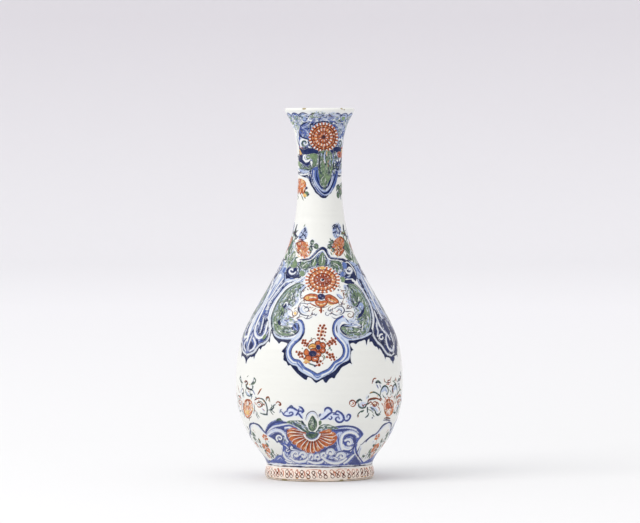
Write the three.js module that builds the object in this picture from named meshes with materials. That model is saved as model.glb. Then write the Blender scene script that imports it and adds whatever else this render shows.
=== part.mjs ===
// Faience vase: a pear-shaped, tin-glazed earthenware bottle vase, thrown in
// sections on the wheel and luted together. Millimetres, +Z up, origin at the
// centre of the face it stands on, front of the decoration towards -Y.
//
// Every section is a body of revolution about Z. Each one is a closed profile
// (outer wall, top face, inner wall, bottom face) turned with a LatheGeometry,
// and neighbours meet face to face on a level plane, as luted sections do.

import * as THREE from 'three';

// ---------------------------------------------------------------- dimensions

const HEIGHT = 260; // overall height, foot to lip
const SIDES = 64; // facets round each section

const Z_FOOT_TOP = 10.2; // waist above the foot moulding, foot luted here
const Z_BELLY = 69; // widest level, the two halves of the belly meet
const Z_NECK = 162.6; // neck luted on to the shoulder
const Z_MOUTH = 247; // mouth luted on to the neck

const REST_INNER_R = 30.8; // flat ring that the vase stands on
const REST_OUTER_R = 36.2;
const FOOT_R = 38.6; // widest point of the foot moulding
const FOOT_WELL_R = 29.2; // inside of the foot ring, under the floor
const WAIST_R = 37.2; // waist between the foot moulding and the belly
const BELLY_R = 58.8; // widest radius
const NECK_R = 15.35; // slimmest radius of the neck
const LIP_R = 24.6; // outer radius of the lip

const FLOOR = 6.4; // thickness of the vessel's floor
const BODY_WALL = 5.0; // wall of the belly
const NECK_WALL = 3.8; // wall of the neck
const LIP_T = 3.6; // thickness of the rounded lip

// Outer outline of the vase as [radius, height], foot waist to lip.
const OUTLINE = [
	[ WAIST_R, Z_FOOT_TOP ],
	[ 38.0, 12.6 ],
	[ 39.9, 16.0 ],
	[ 42.8, 19.7 ],
	[ 45.8, 23.6 ],
	[ 48.6, 27.8 ],
	[ 51.3, 32.8 ],
	[ 53.6, 38.0 ],
	[ 55.7, 43.8 ],
	[ 57.4, 50.4 ],
	[ 58.4, 58.0 ],
	[ BELLY_R, Z_BELLY ],
	[ 58.5, 78.0 ],
	[ 57.5, 87.0 ],
	[ 55.6, 95.8 ],
	[ 52.8, 103.8 ],
	[ 49.1, 111.6 ],
	[ 44.8, 119.5 ],
	[ 40.3, 127.3 ],
	[ 35.9, 135.0 ],
	[ 31.7, 142.8 ],
	[ 27.9, 150.0 ],
	[ 24.8, 156.4 ],
	[ 22.4, Z_NECK ],
	[ 20.2, 169.6 ],
	[ 18.5, 177.2 ],
	[ 17.1, 185.2 ],
	[ 16.2, 193.6 ],
	[ 15.6, 202.6 ],
	[ NECK_R, 213.0 ],
	[ 15.5, 223.4 ],
	[ 16.1, 232.2 ],
	[ 17.3, 240.2 ],
	[ 19.2, Z_MOUTH ],
	[ 21.3, 251.8 ],
	[ 23.2, 255.6 ],
	[ LIP_R, 258.2 ],
];

// ------------------------------------------------------------------- helpers

// Smooth curve through the outline's points, sampled finely enough to read a
// radius at any height.
const outer = new THREE.SplineCurve( OUTLINE.map( ( [ r, z ] ) => new THREE.Vector2( r, z ) ) ).getPoints( 1200 );

function outerRadius( z ) {

	for ( let i = 1; i < outer.length; i ++ ) {

		const a = outer[ i - 1 ], b = outer[ i ];
		if ( z <= b.y ) {

			const t = ( z - a.y ) / Math.max( b.y - a.y, 1e-9 );
			return a.x + ( b.x - a.x ) * Math.min( Math.max( t, 0 ), 1 );

		}

	}

	return outer[ outer.length - 1 ].x;

}

// Wall thickness measured along the radius: the body's wall draws down to the
// neck's over the shoulder, and grows where the wall leans, so that the wall
// stays even across its own direction.
function wall( z ) {

	const t = THREE.MathUtils.smoothstep( z, 108, 184 );
	const even = BODY_WALL + ( NECK_WALL - BODY_WALL ) * t;
	const slope = ( outerRadius( z + 1 ) - outerRadius( z - 1 ) ) / 2;
	return even * Math.sqrt( 1 + Math.min( slope * slope, 0.9 ) );

}

const innerRadius = ( z ) => outerRadius( z ) - wall( z );

// Outer wall going up and inner wall going down between two levels.
function walls( z0, z1, steps, innerSteps = steps, innerZ0 = z0 ) {

	const up = [], down = [];
	for ( let i = 0; i <= steps; i ++ ) {

		const z = z0 + ( z1 - z0 ) * i / steps;
		up.push( [ outerRadius( z ), z ] );

	}

	for ( let i = 0; i <= innerSteps; i ++ ) {

		const z = z1 + ( innerZ0 - z1 ) * i / innerSteps;
		down.push( [ innerRadius( z ), z ] );

	}

	return { up, down };

}

// A body of revolution about Z from a closed profile, counter-clockwise in
// (radius, height), so that its faces point outwards.
function turned( name, profile, material, closed = true ) {

	const points = profile.map( ( [ r, z ] ) => new THREE.Vector2( r, z ) );
	if ( closed ) points.push( points[ 0 ].clone() );
	const geometry = new THREE.LatheGeometry( points, SIDES );
	geometry.rotateX( Math.PI / 2 ); // the lathe's axis Y becomes Z
	const mesh = new THREE.Mesh( geometry, material );
	mesh.name = name;
	return mesh;

}

const glaze = ( color ) => new THREE.MeshStandardMaterial( { color, roughness: 0.18, metalness: 0 } );

// ------------------------------------------------------------------ sections

const vase = new THREE.Group();

// Foot ring: flat resting face, rolled moulding outside, well inside.
vase.add( turned( 'foot_ring', [
	[ REST_INNER_R, 0 ],
	[ REST_OUTER_R, 0 ],
	[ 37.4, 0.6 ],
	[ 38.2, 1.9 ],
	[ FOOT_R, 3.7 ],
	[ 38.4, 5.7 ],
	[ 37.8, 7.7 ],
	[ 37.4, 9.3 ],
	[ WAIST_R, Z_FOOT_TOP ],
	[ FOOT_WELL_R, Z_FOOT_TOP ],
	[ FOOT_WELL_R, 3.8 ],
	[ 29.7, 1.2 ],
], glaze( 0xe4e0dc ) ) );

// Lower body: the underside is level over the foot's well, and the floor
// inside turns up into the wall in a hollow curve.
const floorZ = Z_FOOT_TOP + FLOOR;
const lower = walls( Z_FOOT_TOP, Z_BELLY, 15, 9, floorZ + 9 );
vase.add( turned( 'lower_body', [
	[ 0, Z_FOOT_TOP ],
	...lower.up,
	...lower.down,
	[ 36.9, floorZ + 4.6 ],
	[ 30.8, floorZ + 1.4 ],
	[ 22.0, floorZ ],
	[ 0, floorZ ],
], glaze( 0xd9dbe6 ), false ) );

// Upper body: belly to shoulder, open at both ends.
const upper = walls( Z_BELLY, Z_NECK, 17, 12 );
vase.add( turned( 'upper_body', [ ...upper.up, ...upper.down ], glaze( 0xaab2d0 ) ) );

// Neck: slender tube, slimmest a little above its middle.
const tube = walls( Z_NECK, Z_MOUTH, 14, 10 );
vase.add( turned( 'neck', [ ...tube.up, ...tube.down ], glaze( 0xe9e9e7 ) ) );

// Mouth: flares out to a rounded lip.
const inMouth = innerRadius( Z_MOUTH );
vase.add( turned( 'mouth_rim', [
	[ outerRadius( Z_MOUTH ), Z_MOUTH ],
	[ outerRadius( 249.4 ), 249.4 ],
	[ outerRadius( 251.8 ), 251.8 ],
	[ outerRadius( 254.2 ), 254.2 ],
	[ outerRadius( 256.4 ), 256.4 ],
	[ LIP_R, 258.2 ],
	[ LIP_R - 0.35, 259.3 ],
	[ LIP_R - 1.3, HEIGHT ],
	[ LIP_R - 2.2, HEIGHT ],
	[ LIP_R - LIP_T + 0.2, 259.3 ],
	[ LIP_R - LIP_T - 1.2, 256.6 ],
	[ ( LIP_R - LIP_T - 1.2 + inMouth ) / 2 + 0.35, 252.2 ],
	[ inMouth, Z_MOUTH ],
], glaze( 0xf0efec ) ) );

export default vase;
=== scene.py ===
"""Faience vase: the looks.

Builds the five sections of the vase as fine meshes over the fixed frame, paints
the traditional polychrome decoration on them as distance fields worked out from
brush strokes, and lights them on a pale sweep whose paper is graded with painted
light and shade.
"""

import bpy, math
import numpy as np
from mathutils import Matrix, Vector


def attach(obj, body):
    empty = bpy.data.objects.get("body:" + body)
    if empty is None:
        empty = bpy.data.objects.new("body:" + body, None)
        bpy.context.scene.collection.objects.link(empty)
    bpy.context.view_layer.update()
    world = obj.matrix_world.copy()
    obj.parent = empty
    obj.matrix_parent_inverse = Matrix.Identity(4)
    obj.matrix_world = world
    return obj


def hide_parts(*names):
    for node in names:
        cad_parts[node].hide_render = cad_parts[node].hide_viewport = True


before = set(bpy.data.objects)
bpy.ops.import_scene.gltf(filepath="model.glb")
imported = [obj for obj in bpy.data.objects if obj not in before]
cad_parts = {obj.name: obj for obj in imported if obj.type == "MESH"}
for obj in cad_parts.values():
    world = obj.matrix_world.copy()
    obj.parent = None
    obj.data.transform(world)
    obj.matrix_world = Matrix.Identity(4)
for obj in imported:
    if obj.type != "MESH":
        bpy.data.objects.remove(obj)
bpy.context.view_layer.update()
CAM_X = 0.3                                # the camera stands this far to the right of the axis, mm

# ---------------------------------------------------------------- the outline
# Outer outline of the vase as (radius, height) in millimetres, from the waist
# above the foot to the lip.
OUTLINE = [
    (37.2, 10.2), (38.0, 12.6), (39.9, 16.0), (42.8, 19.7), (45.8, 23.6), (48.6, 27.8),
    (51.3, 32.8), (53.6, 38.0), (55.7, 43.8), (57.4, 50.4), (58.4, 58.0), (58.8, 69.0),
    (58.5, 78.0), (57.5, 87.0), (55.6, 95.8), (52.8, 103.8), (49.1, 111.6), (44.8, 119.5),
    (40.3, 127.3), (35.9, 135.0), (31.7, 142.8), (27.9, 150.0), (24.8, 156.4), (22.4, 162.6),
    (20.2, 169.6), (18.5, 177.2), (17.1, 185.2), (16.2, 193.6), (15.6, 202.6), (15.35, 213.0),
    (15.5, 223.4), (16.1, 232.2), (17.3, 240.2), (19.2, 247.0), (21.3, 251.8), (23.2, 255.6),
    (24.6, 258.2),
]
FOOT_OUT = [
    (36.2, 0.0), (36.9, 0.22), (37.5, 0.7), (38.1, 1.7), (38.5, 2.9), (38.6, 4.0), (38.45, 5.4),
    (38.1, 6.8), (37.7, 8.1), (37.35, 9.3),
]


def spline(points, n=12, closed=False):
    """Points on a smooth curve through control points, n to a span."""
    p = np.asarray(points, float)
    if closed:
        q = np.vstack([p[-1], p, p[0], p[1]])
    else:
        q = np.vstack([2 * p[0] - p[1], p, 2 * p[-1] - p[-2]])
    t = np.arange(n) / n
    out = []
    for i in range(1, len(q) - 2):
        a, b, c, d = q[i - 1], q[i], q[i + 1], q[i + 2]
        for u in t:
            out.append(0.5 * ((2 * b) + (c - a) * u + (2 * a - 5 * b + 4 * c - d) * u * u
                              + (3 * b - a - 3 * c + d) * u ** 3))
    if not closed:
        out.append(p[-1])
    return np.array(out)


_o = spline(FOOT_OUT + OUTLINE, 24)
_ds = np.r_[0, np.cumsum(np.hypot(*np.diff(_o, axis=0).T))]
_su = np.arange(0, _ds[-1], 0.1)
_ou = np.stack([np.interp(_su, _ds, _o[:, 0]), np.interp(_su, _ds, _o[:, 1])], 1)
_k = np.exp(-0.5 * (np.arange(-30, 31) * 0.1 / 0.9) ** 2)
_k /= _k.sum()
_sm = np.stack([np.convolve(np.pad(_ou[:, i], 30, mode="edge"), _k, "valid") for i in (0, 1)], 1)
_w = np.clip((_su - 3.0) / 4.0, 0, 1)[:, None] * np.clip((_su[-1] - _su) / 3.0, 0, 1)[:, None]
PROF = _ou * (1 - _w) + _sm * _w          # smooth outer wall, radius and height by arc length
PS = np.r_[0, np.cumsum(np.hypot(*np.diff(PROF, axis=0).T))]


def r_of_z(z):
    return np.interp(z, PROF[:, 1], PROF[:, 0])


def s_of_z(z):
    return np.interp(z, PROF[:, 1], PS)


def z_of_s(s):
    return np.interp(s, PS, PROF[:, 1])


def r_of_s(s):
    return np.interp(s, PS, PROF[:, 0])


# ------------------------------------------------------- the painter's guide
# The drawing is laid out on the view of the vase from the front: a point of
# that view, in picture units, is laid on the wall that carries it.
CAM_D, CAM_Z, CAM_TILT, CAM_F = 3050.0, 262.0, math.radians(2.064), 4343.0
CX, CY = 320.0, 261.5


def lay(x, y, axis=319.6):
    """Angle and height on the wall of a point of the front view."""
    ct, st = math.cos(CAM_TILT), math.sin(CAM_TILT)
    # the real vase leans a touch: its axis runs from 319 at the foot to 318.6 at the mouth
    u, v = (x - axis), (CY - y)
    d = np.array([u, CAM_F * ct + v * st, -CAM_F * st + v * ct])
    z = CAM_Z + d[2] / d[1] * CAM_D
    th = 0.0
    for _ in range(30):
        r = float(r_of_z(min(max(z, 0.4), 258.0)))
        # ray: x = d0 t, y = -D + d1 t;  x^2 + y^2 = r^2
        a = d[0] ** 2 + d[1] ** 2
        b = -2 * CAM_D * d[1]
        c = CAM_D ** 2 - r * r
        disc = b * b - 4 * a * c
        if disc < 0:
            t = -b / (2 * a)
        else:
            t = (-b - math.sqrt(disc)) / (2 * a)
        px, py = d[0] * t, -CAM_D + d[1] * t
        th = math.atan2(px, -py)
        zn = CAM_Z + d[2] * t
        if abs(zn - z) < 1e-4:
            z = zn
            break
        z = 0.5 * z + 0.5 * zn
    return th, z


# ------------------------------------------------------------- colour fields
PALE, BLUE, DARK, GREEN, YELLOW, RED, BROWN, LINE, TONE = range(9)
MAXD = 2.0
MM = 0.7027                                # millimetres to a picture unit


class Canvas:
    """Signed distances to each colour's edge, on a grid over the wall."""

    def __init__(self, theta, s, r):
        self.th, self.s, self.r = theta, s, r
        self.nc, self.nr = len(theta), len(s)
        self.dth = 2 * math.pi / self.nc
        self.f = np.full((9, self.nr, self.nc), MAXD, np.float32)
        self.f[TONE] = 0.5

    def window(self, t0, t1, s0, s1):
        if s1 < self.s[0] - MAXD or s0 > self.s[-1] + MAXD:
            return None
        r0 = int(np.searchsorted(self.s, s0 - MAXD))
        r1 = int(np.searchsorted(self.s, s1 + MAXD))
        if r1 <= r0:
            return None
        rm = float(self.r[r0:r1].min())
        m = min(MAXD / rm, 1.2)
        c0 = int(math.floor((t0 - m - self.th[0]) / self.dth))
        c1 = int(math.ceil((t1 + m - self.th[0]) / self.dth)) + 1
        if c1 - c0 > self.nc:
            c1 = c0 + self.nc
        cols = np.arange(c0, c1)
        return r0, r1, cols, self.th[0] + cols * self.dth

    def dist(self, pts, wid=None, closed=False):
        """(window, signed distance) of a filled shape or of a stroke."""
        p = np.asarray(pts, float)
        win = self.window(p[:, 0].min(), p[:, 0].max(), p[:, 1].min(), p[:, 1].max())
        if win is None:
            return None
        r0, r1, cols, th = win
        rr = self.r[r0:r1][:, None]
        ss = self.s[r0:r1][:, None]
        n, m = r1 - r0, len(cols)
        d = np.full((n, m), 1e3)
        q = np.vstack([p, p[:1]]) if closed else p
        w = None if wid is None else np.asarray(wid, float)
        if len(q) == 1:
            q = np.vstack([q, q + [[0, 1e-5]]])
            w = np.r_[w, w]
        pad = MAXD + (0 if w is None else float(w.max()))
        rmin = float(self.r[r0:r1].min())
        sv = self.s[r0:r1]
        for i in range(len(q) - 1):
            (ta, sa), (tb, sb) = q[i], q[i + 1]
            lo, hi = (sa, sb) if sa < sb else (sb, sa)
            i0 = int(np.searchsorted(sv, lo - pad))
            i1 = int(np.searchsorted(sv, hi + pad))
            if i1 <= i0:
                continue
            tl, tr = (ta, tb) if ta < tb else (tb, ta)
            j0 = max(0, int((tl - pad / rmin - th[0]) / self.dth))
            j1 = min(m, int((tr + pad / rmin - th[0]) / self.dth) + 2)
            if j1 <= j0:
                continue
            R = rr[i0:i1]
            px = R * (th[None, j0:j1] - ta)
            py = ss[i0:i1] - sa
            bx = R * (tb - ta)
            by = sb - sa
            t = (px * bx + py * by) / (bx * bx + by * by + 1e-12)
            np.clip(t, 0, 1, out=t)
            e = np.hypot(px - t * bx, py - t * by)
            if w is not None:
                e -= w[i] + (w[i + 1] - w[i]) * t
            blk = d[i0:i1, j0:j1]
            np.minimum(blk, e, out=blk)
        if closed:
            inside = np.zeros((n, m), bool)
            for i in range(len(q) - 1):
                (ta, sa), (tb, sb) = q[i], q[i + 1]
                if sa == sb:
                    continue
                lo, hi = (sa, sb) if sa < sb else (sb, sa)
                i0 = int(np.searchsorted(sv, lo))
                i1 = int(np.searchsorted(sv, hi))
                if i1 <= i0:
                    continue
                x = ta + (sv[i0:i1] - sa) / (sb - sa) * (tb - ta)
                inside[i0:i1] ^= th[None, :] > x[:, None]
            d = np.where(inside, -d, d)
        return win, np.clip(d, -MAXD, MAXD).astype(np.float32)

    def put(self, op):
        got = self.dist(op["p"], op.get("w"), op.get("fill", False))
        if got is None:
            return
        (r0, r1, cols, th), d = got
        c = np.mod(cols, self.nc)
        ix = np.ix_(range(r0, r1), c)
        f = self.f
        cut = op.get("cut", ())
        for k in cut:
            f[k][ix] = np.maximum(f[k][ix], -d + op.get("gap", 0.0))
        ch = op.get("ch")
        if ch is not None:
            f[ch][ix] = np.minimum(f[ch][ix], d)
        tn = op.get("tone")
        if tn is not None:
            cov = np.clip(0.5 - d / 0.5, 0, 1)
            if np.ndim(tn):
                # gradient between the first and the last point
                (ta, sa), (tb, sb) = op["axis"]
                R = self.r[r0:r1][:, None]
                px, py = R * (th[None, :] - ta), self.s[r0:r1][:, None] - sa
                bx, by = R * (tb - ta), (sb - sa)
                t = np.clip((px * bx + py * by) / (bx * bx + by * by + 1e-9), 0, 1)
                val = tn[0] + (tn[1] - tn[0]) * t
            else:
                val = tn
            f[TONE][ix] = f[TONE][ix] * (1 - cov) + val * cov


ALL = (PALE, BLUE, DARK, GREEN, YELLOW, RED, BROWN, LINE)


class Art:
    """A list of brush strokes and filled shapes, kept as control points."""

    def __init__(self):
        self.ops = []
        self.tr = lay

    def _pts(self, pts):
        return [self.tr(*p) for p in pts]

    def fill(self, ch, pts, tone=None, cut=ALL, smooth=True, gap=0.0, axis=None):
        self.ops.append(dict(kind="fill", ch=ch, c=self._pts(pts), tone=tone, cut=cut, smooth=smooth,
                             gap=gap, ax=None if axis is None else self._pts(axis)))

    def line(self, ch, pts, w=1.0, tap=(0.5, 0.5), tone=None, cut=(), smooth=True, gap=0.0):
        self.ops.append(dict(kind="line", ch=ch, c=self._pts(pts), width=w, tap=tap, tone=tone, cut=cut,
                             smooth=smooth, gap=gap))

    def white(self, pts, w=1.0, tap=(0.5, 0.5), fill=False, smooth=True):
        if fill:
            self.fill(None, pts, cut=ALL, smooth=smooth)
        else:
            self.line(None, pts, w, tap, cut=ALL, smooth=smooth)

    def dot(self, ch, x, y, d=1.4, cut=ALL, tone=None):
        self.line(ch, [(x, y)], w=d, tap=(1, 1), cut=cut, tone=tone)

    def add(self, other):
        self.ops += other.ops


def place(ops, dth=0.0, dz=0.0, jitter=0.0, seed=0, mirror=None, scale=1.0):
    """Turn control points into curves on the wall, shifted round it."""
    rng = np.random.default_rng(seed)
    out = []
    for o in ops:
        c = np.array(o["c"], float)
        ax = None if o.get("ax") is None else np.array(o["ax"], float)
        if mirror is not None:
            c[:, 0] = 2 * mirror - c[:, 0]
            if ax is not None:
                ax[:, 0] = 2 * mirror - ax[:, 0]
        z = c[:, 1] + dz
        if jitter:
            r = r_of_z(z)
            k = rng.normal(0, jitter, (len(c), 2)) * 0.5 + rng.normal(0, jitter, 2) * 0.7
            c = np.stack([c[:, 0] + k[:, 0] / r, z + k[:, 1]], 1)
        else:
            c = np.stack([c[:, 0], z], 1)
        c[:, 0] += dth
        s = np.stack([c[:, 0], s_of_z(c[:, 1])], 1)
        op = dict(ch=o["ch"], cut=o["cut"], gap=o.get("gap", 0.0), tone=o.get("tone"))
        n = 6
        if o["kind"] == "fill":
            op["fill"] = True
            op["p"] = spline(s, n, True) if o["smooth"] and len(s) > 2 else s
        else:
            w = o["width"]
            w = np.full(len(s), float(w)) if np.ndim(w) == 0 else np.asarray(w, float)
            w = w * MM / 2
            if len(s) == 1:
                op["p"], op["w"] = s, w
            else:
                if o["smooth"] and len(s) > 2:
                    p = spline(s, n)
                    u = np.linspace(0, 1, len(p))
                    ww = np.interp(np.linspace(0, len(s) - 1, len(p)), np.arange(len(s)), w)
                else:
                    p, ww = s, w
                    if len(s) == 2:
                        p = np.stack([np.interp(np.linspace(0, 1, 6), [0, 1], s[:, k]) for k in (0, 1)], 1)
                        ww = np.interp(np.linspace(0, 1, 6), [0, 1], w)
                L = np.r_[0, np.cumsum(np.hypot(np.diff(p[:, 0]) * r_of_s(p[:-1, 1]), np.diff(p[:, 1])))]
                u = L / max(L[-1], 1e-6)
                a, b = o["tap"]
                e = 0.28
                ww = ww * np.interp(u, [0, e, 1 - e, 1], [a, 1, 1, b])
                op["p"], op["w"] = p, ww
        if op["tone"] is not None and np.ndim(op["tone"]):
            if ax is not None:
                ax[:, 0] += dth
                op["axis"] = [(ax[0, 0], float(s_of_z(ax[0, 1]))), (ax[1, 0], float(s_of_z(ax[1, 1])))]
            else:
                op["axis"] = [tuple(s[0]), tuple(s[-1])]
        out.append(op)
    return out


# ------------------------------------------------------------------ motifs

def inside(poly, x, y):
    c = False
    n = len(poly)
    for i in range(n):
        (x0, y0), (x1, y1) = poly[i], poly[(i + 1) % n]
        if (y0 > y) != (y1 > y) and x < x0 + (y - y0) / (y1 - y0) * (x1 - x0):
            c = not c
    return c


def strokes(a, poly, axis, n, kinds, seed, ln=(2.5, 5.5), w=(0.7, 1.4), spread=0.45, asp=1.0):
    """Short brush strokes laid along a leaf's axis, kept inside its outline."""
    rng = np.random.default_rng(seed)
    xs = [p[0] for p in poly]
    ys = [p[1] for p in poly]
    wt = np.array([k[0] for k in kinds], float)
    wt /= wt.sum()
    got = 0
    for _ in range(n * 12):
        if got >= n:
            break
        x, y = rng.uniform(min(xs), max(xs)), rng.uniform(min(ys), max(ys))
        if not inside(poly, x, y):
            continue
        best, ang = 1e9, 0.0
        for i in range(len(axis) - 1):
            (ax, ay), (bx, by) = axis[i], axis[i + 1]
            mx, my = (ax + bx) / 2, (ay + by) / 2
            q = (mx - x) ** 2 + (my - y) ** 2
            if q < best:
                best, ang = q, math.atan2(by - ay, (bx - ax) * asp)
        ang += rng.normal(0, spread)
        L = rng.uniform(*ln)
        dx, dy = math.cos(ang) / asp, math.sin(ang)
        bend = rng.normal(0, 0.18) * L
        pts = []
        for u in (-0.5, -0.17, 0.17, 0.5):
            k = bend * (1 - 4 * u * u)
            px, py = x + dx * L * u - dy * k / asp, y + dy * L * u + dx * k * asp
            if inside(poly, px, py):
                pts.append((px, py))
        if len(pts) < 3:
            continue
        k = kinds[int(rng.choice(len(kinds), p=wt))]
        tone = None if k[2] is None else k[2] + rng.uniform(-0.15, 0.15)
        a.line(k[1], pts, rng.uniform(*w), (0.3, 0.6), tone=tone, cut=ALL if k[3] else ())
        got += 1


def shift(pts, d):
    """The same line moved sideways by d picture units, to its left."""
    p = np.asarray(pts, float)
    t = np.gradient(p, axis=0)
    t /= np.hypot(t[:, 0], t[:, 1])[:, None] + 1e-9
    return [(float(x + d * ty), float(y - d * tx)) for (x, y), (tx, ty) in zip(p, t)]


def curl(a, x, y, r, start, turn, w=1.3, ch=None, tone=None, shrink=0.25, sx=1.0, n=9, tap=(0.8, 0.8), cut=ALL):
    """A curl of the brush, winding in from radius r over the angle turn."""
    pts = []
    for i in range(n):
        u = i / (n - 1)
        q = r * (1 - (1 - shrink) * u)
        an = start + turn * u
        pts.append((x + q * math.cos(an) * sx, y + q * math.sin(an)))
    a.line(ch, pts, w, tap, tone=tone, cut=cut)


def ribbon(a, pts, w, tone=0.35, core=0.45, tap=(0.6, 0.6)):
    """A pale blue stroke with a white core."""
    a.line(PALE, pts, w, tap, tone=tone, cut=ALL)
    a.line(None, pts, w * core, tap, cut=ALL)


def petal(a, ch, pts, tone, edge=BROWN, w=0.8, axis=None):
    """A painted petal with a thin dark outline."""
    a.fill(ch, pts, tone=tone, axis=axis)
    n = len(pts)
    a.line(edge, pts + [pts[0]], w, (0.9, 0.5), cut=())


def bud(a, x, y, d, ch=RED, tone=0.7, k=0.55, off=(0.25, 0.3)):
    """A dab of colour with a smaller dark dab on it."""
    a.dot(ch, x, y, d, tone=tone)
    a.dot(BROWN, x + off[0] * d, y + off[1] * d, d * k, cut=())


def comma(a, x, y, ang, ln, w, bend=0.3, core=PALE, tone=0.35, asp=1.0):
    """A reserved white comma of the brush with a pale core."""
    ang = math.radians(ang)
    pts = []
    for u in (0.0, 0.25, 0.5, 0.75, 1.0):
        k = bend * ln * 2 * u * (1 - u)
        pts.append((x + (math.cos(ang) * ln * u - math.sin(ang) * k) / asp, y + math.sin(ang) * ln * u + math.cos(ang) * k))
    a.line(None, pts, w, (1.0, 0.15), cut=ALL)
    if core is not None:
        a.line(core, pts[:4], w * 0.4, (0.6, 0.3), tone=tone)




def rosette(a, x, y, r, rings, sx=1.0, sy=1.0, rot=0.0, ground=None):
    """Round flower: rings of paint and of reserved petals, outermost first.
    Each ring: ('disc', radius, colour, tone), ('dots', radius, count, size),
    ('rays', inner, outer, count, width), ('rim', radius, width, colour)."""
    def pt(q, ang):
        return (x + q * r * sx * math.cos(ang), y + q * r * sy * math.sin(ang))

    for g in rings:
        if g[0] == "disc":
            n = g[4] if len(g) > 4 else 0
            k = 30
            if n:
                pts = []
                for i in range(n * 4):
                    an = rot + 2 * math.pi * i / (n * 4)
                    q = g[1] * (1 + 0.055 * math.cos(n * (an - rot)))
                    pts.append(pt(q, an))
                a.fill(g[2], pts, tone=g[3])
            else:
                a.fill(g[2], [pt(g[1], 2 * math.pi * i / k) for i in range(k)], tone=g[3])
        elif g[0] == "dots":
            off = g[4] if len(g) > 4 else 0.0
            for i in range(g[2]):
                p = pt(g[1], rot + 2 * math.pi * (i + off) / g[2])
                a.dot(None, p[0], p[1], g[3])
        elif g[0] == "rays":
            off = g[5] if len(g) > 5 else 0.0
            for i in range(g[3]):
                an = rot + 2 * math.pi * (i + off) / g[3]
                a.white([pt(g[1], an), pt(g[2], an)], g[4], (0.7, 0.9))
        elif g[0] == "ring":
            k = 26
            a.line(g[3], [pt(g[1], 2 * math.pi * i / k) for i in range(k + 1)], g[2], (1, 1))
        elif g[0] == "rim":
            k = 30
            pts = [pt(g[1], 2 * math.pi * i / k) for i in range(k + 1)]
            a.line(g[3], pts, g[2], (1, 1))


def scallops(a, th0, th1, n, z0, z1, ch=DARK, w=1.0):
    for i in range(n):
        t0 = th0 + (th1 - th0) * i / n
        t1 = th0 + (th1 - th0) * (i + 1) / n
        pts = [(t0 + (t1 - t0) * u, z0 + (z1 - z0) * math.sin(math.pi * u)) for u in (0, .15, .35, .5, .65, .85, 1)]
        a.line(ch, pts, w, (1, 1))


# --------------------------------------------------- the great lambrequin

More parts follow.
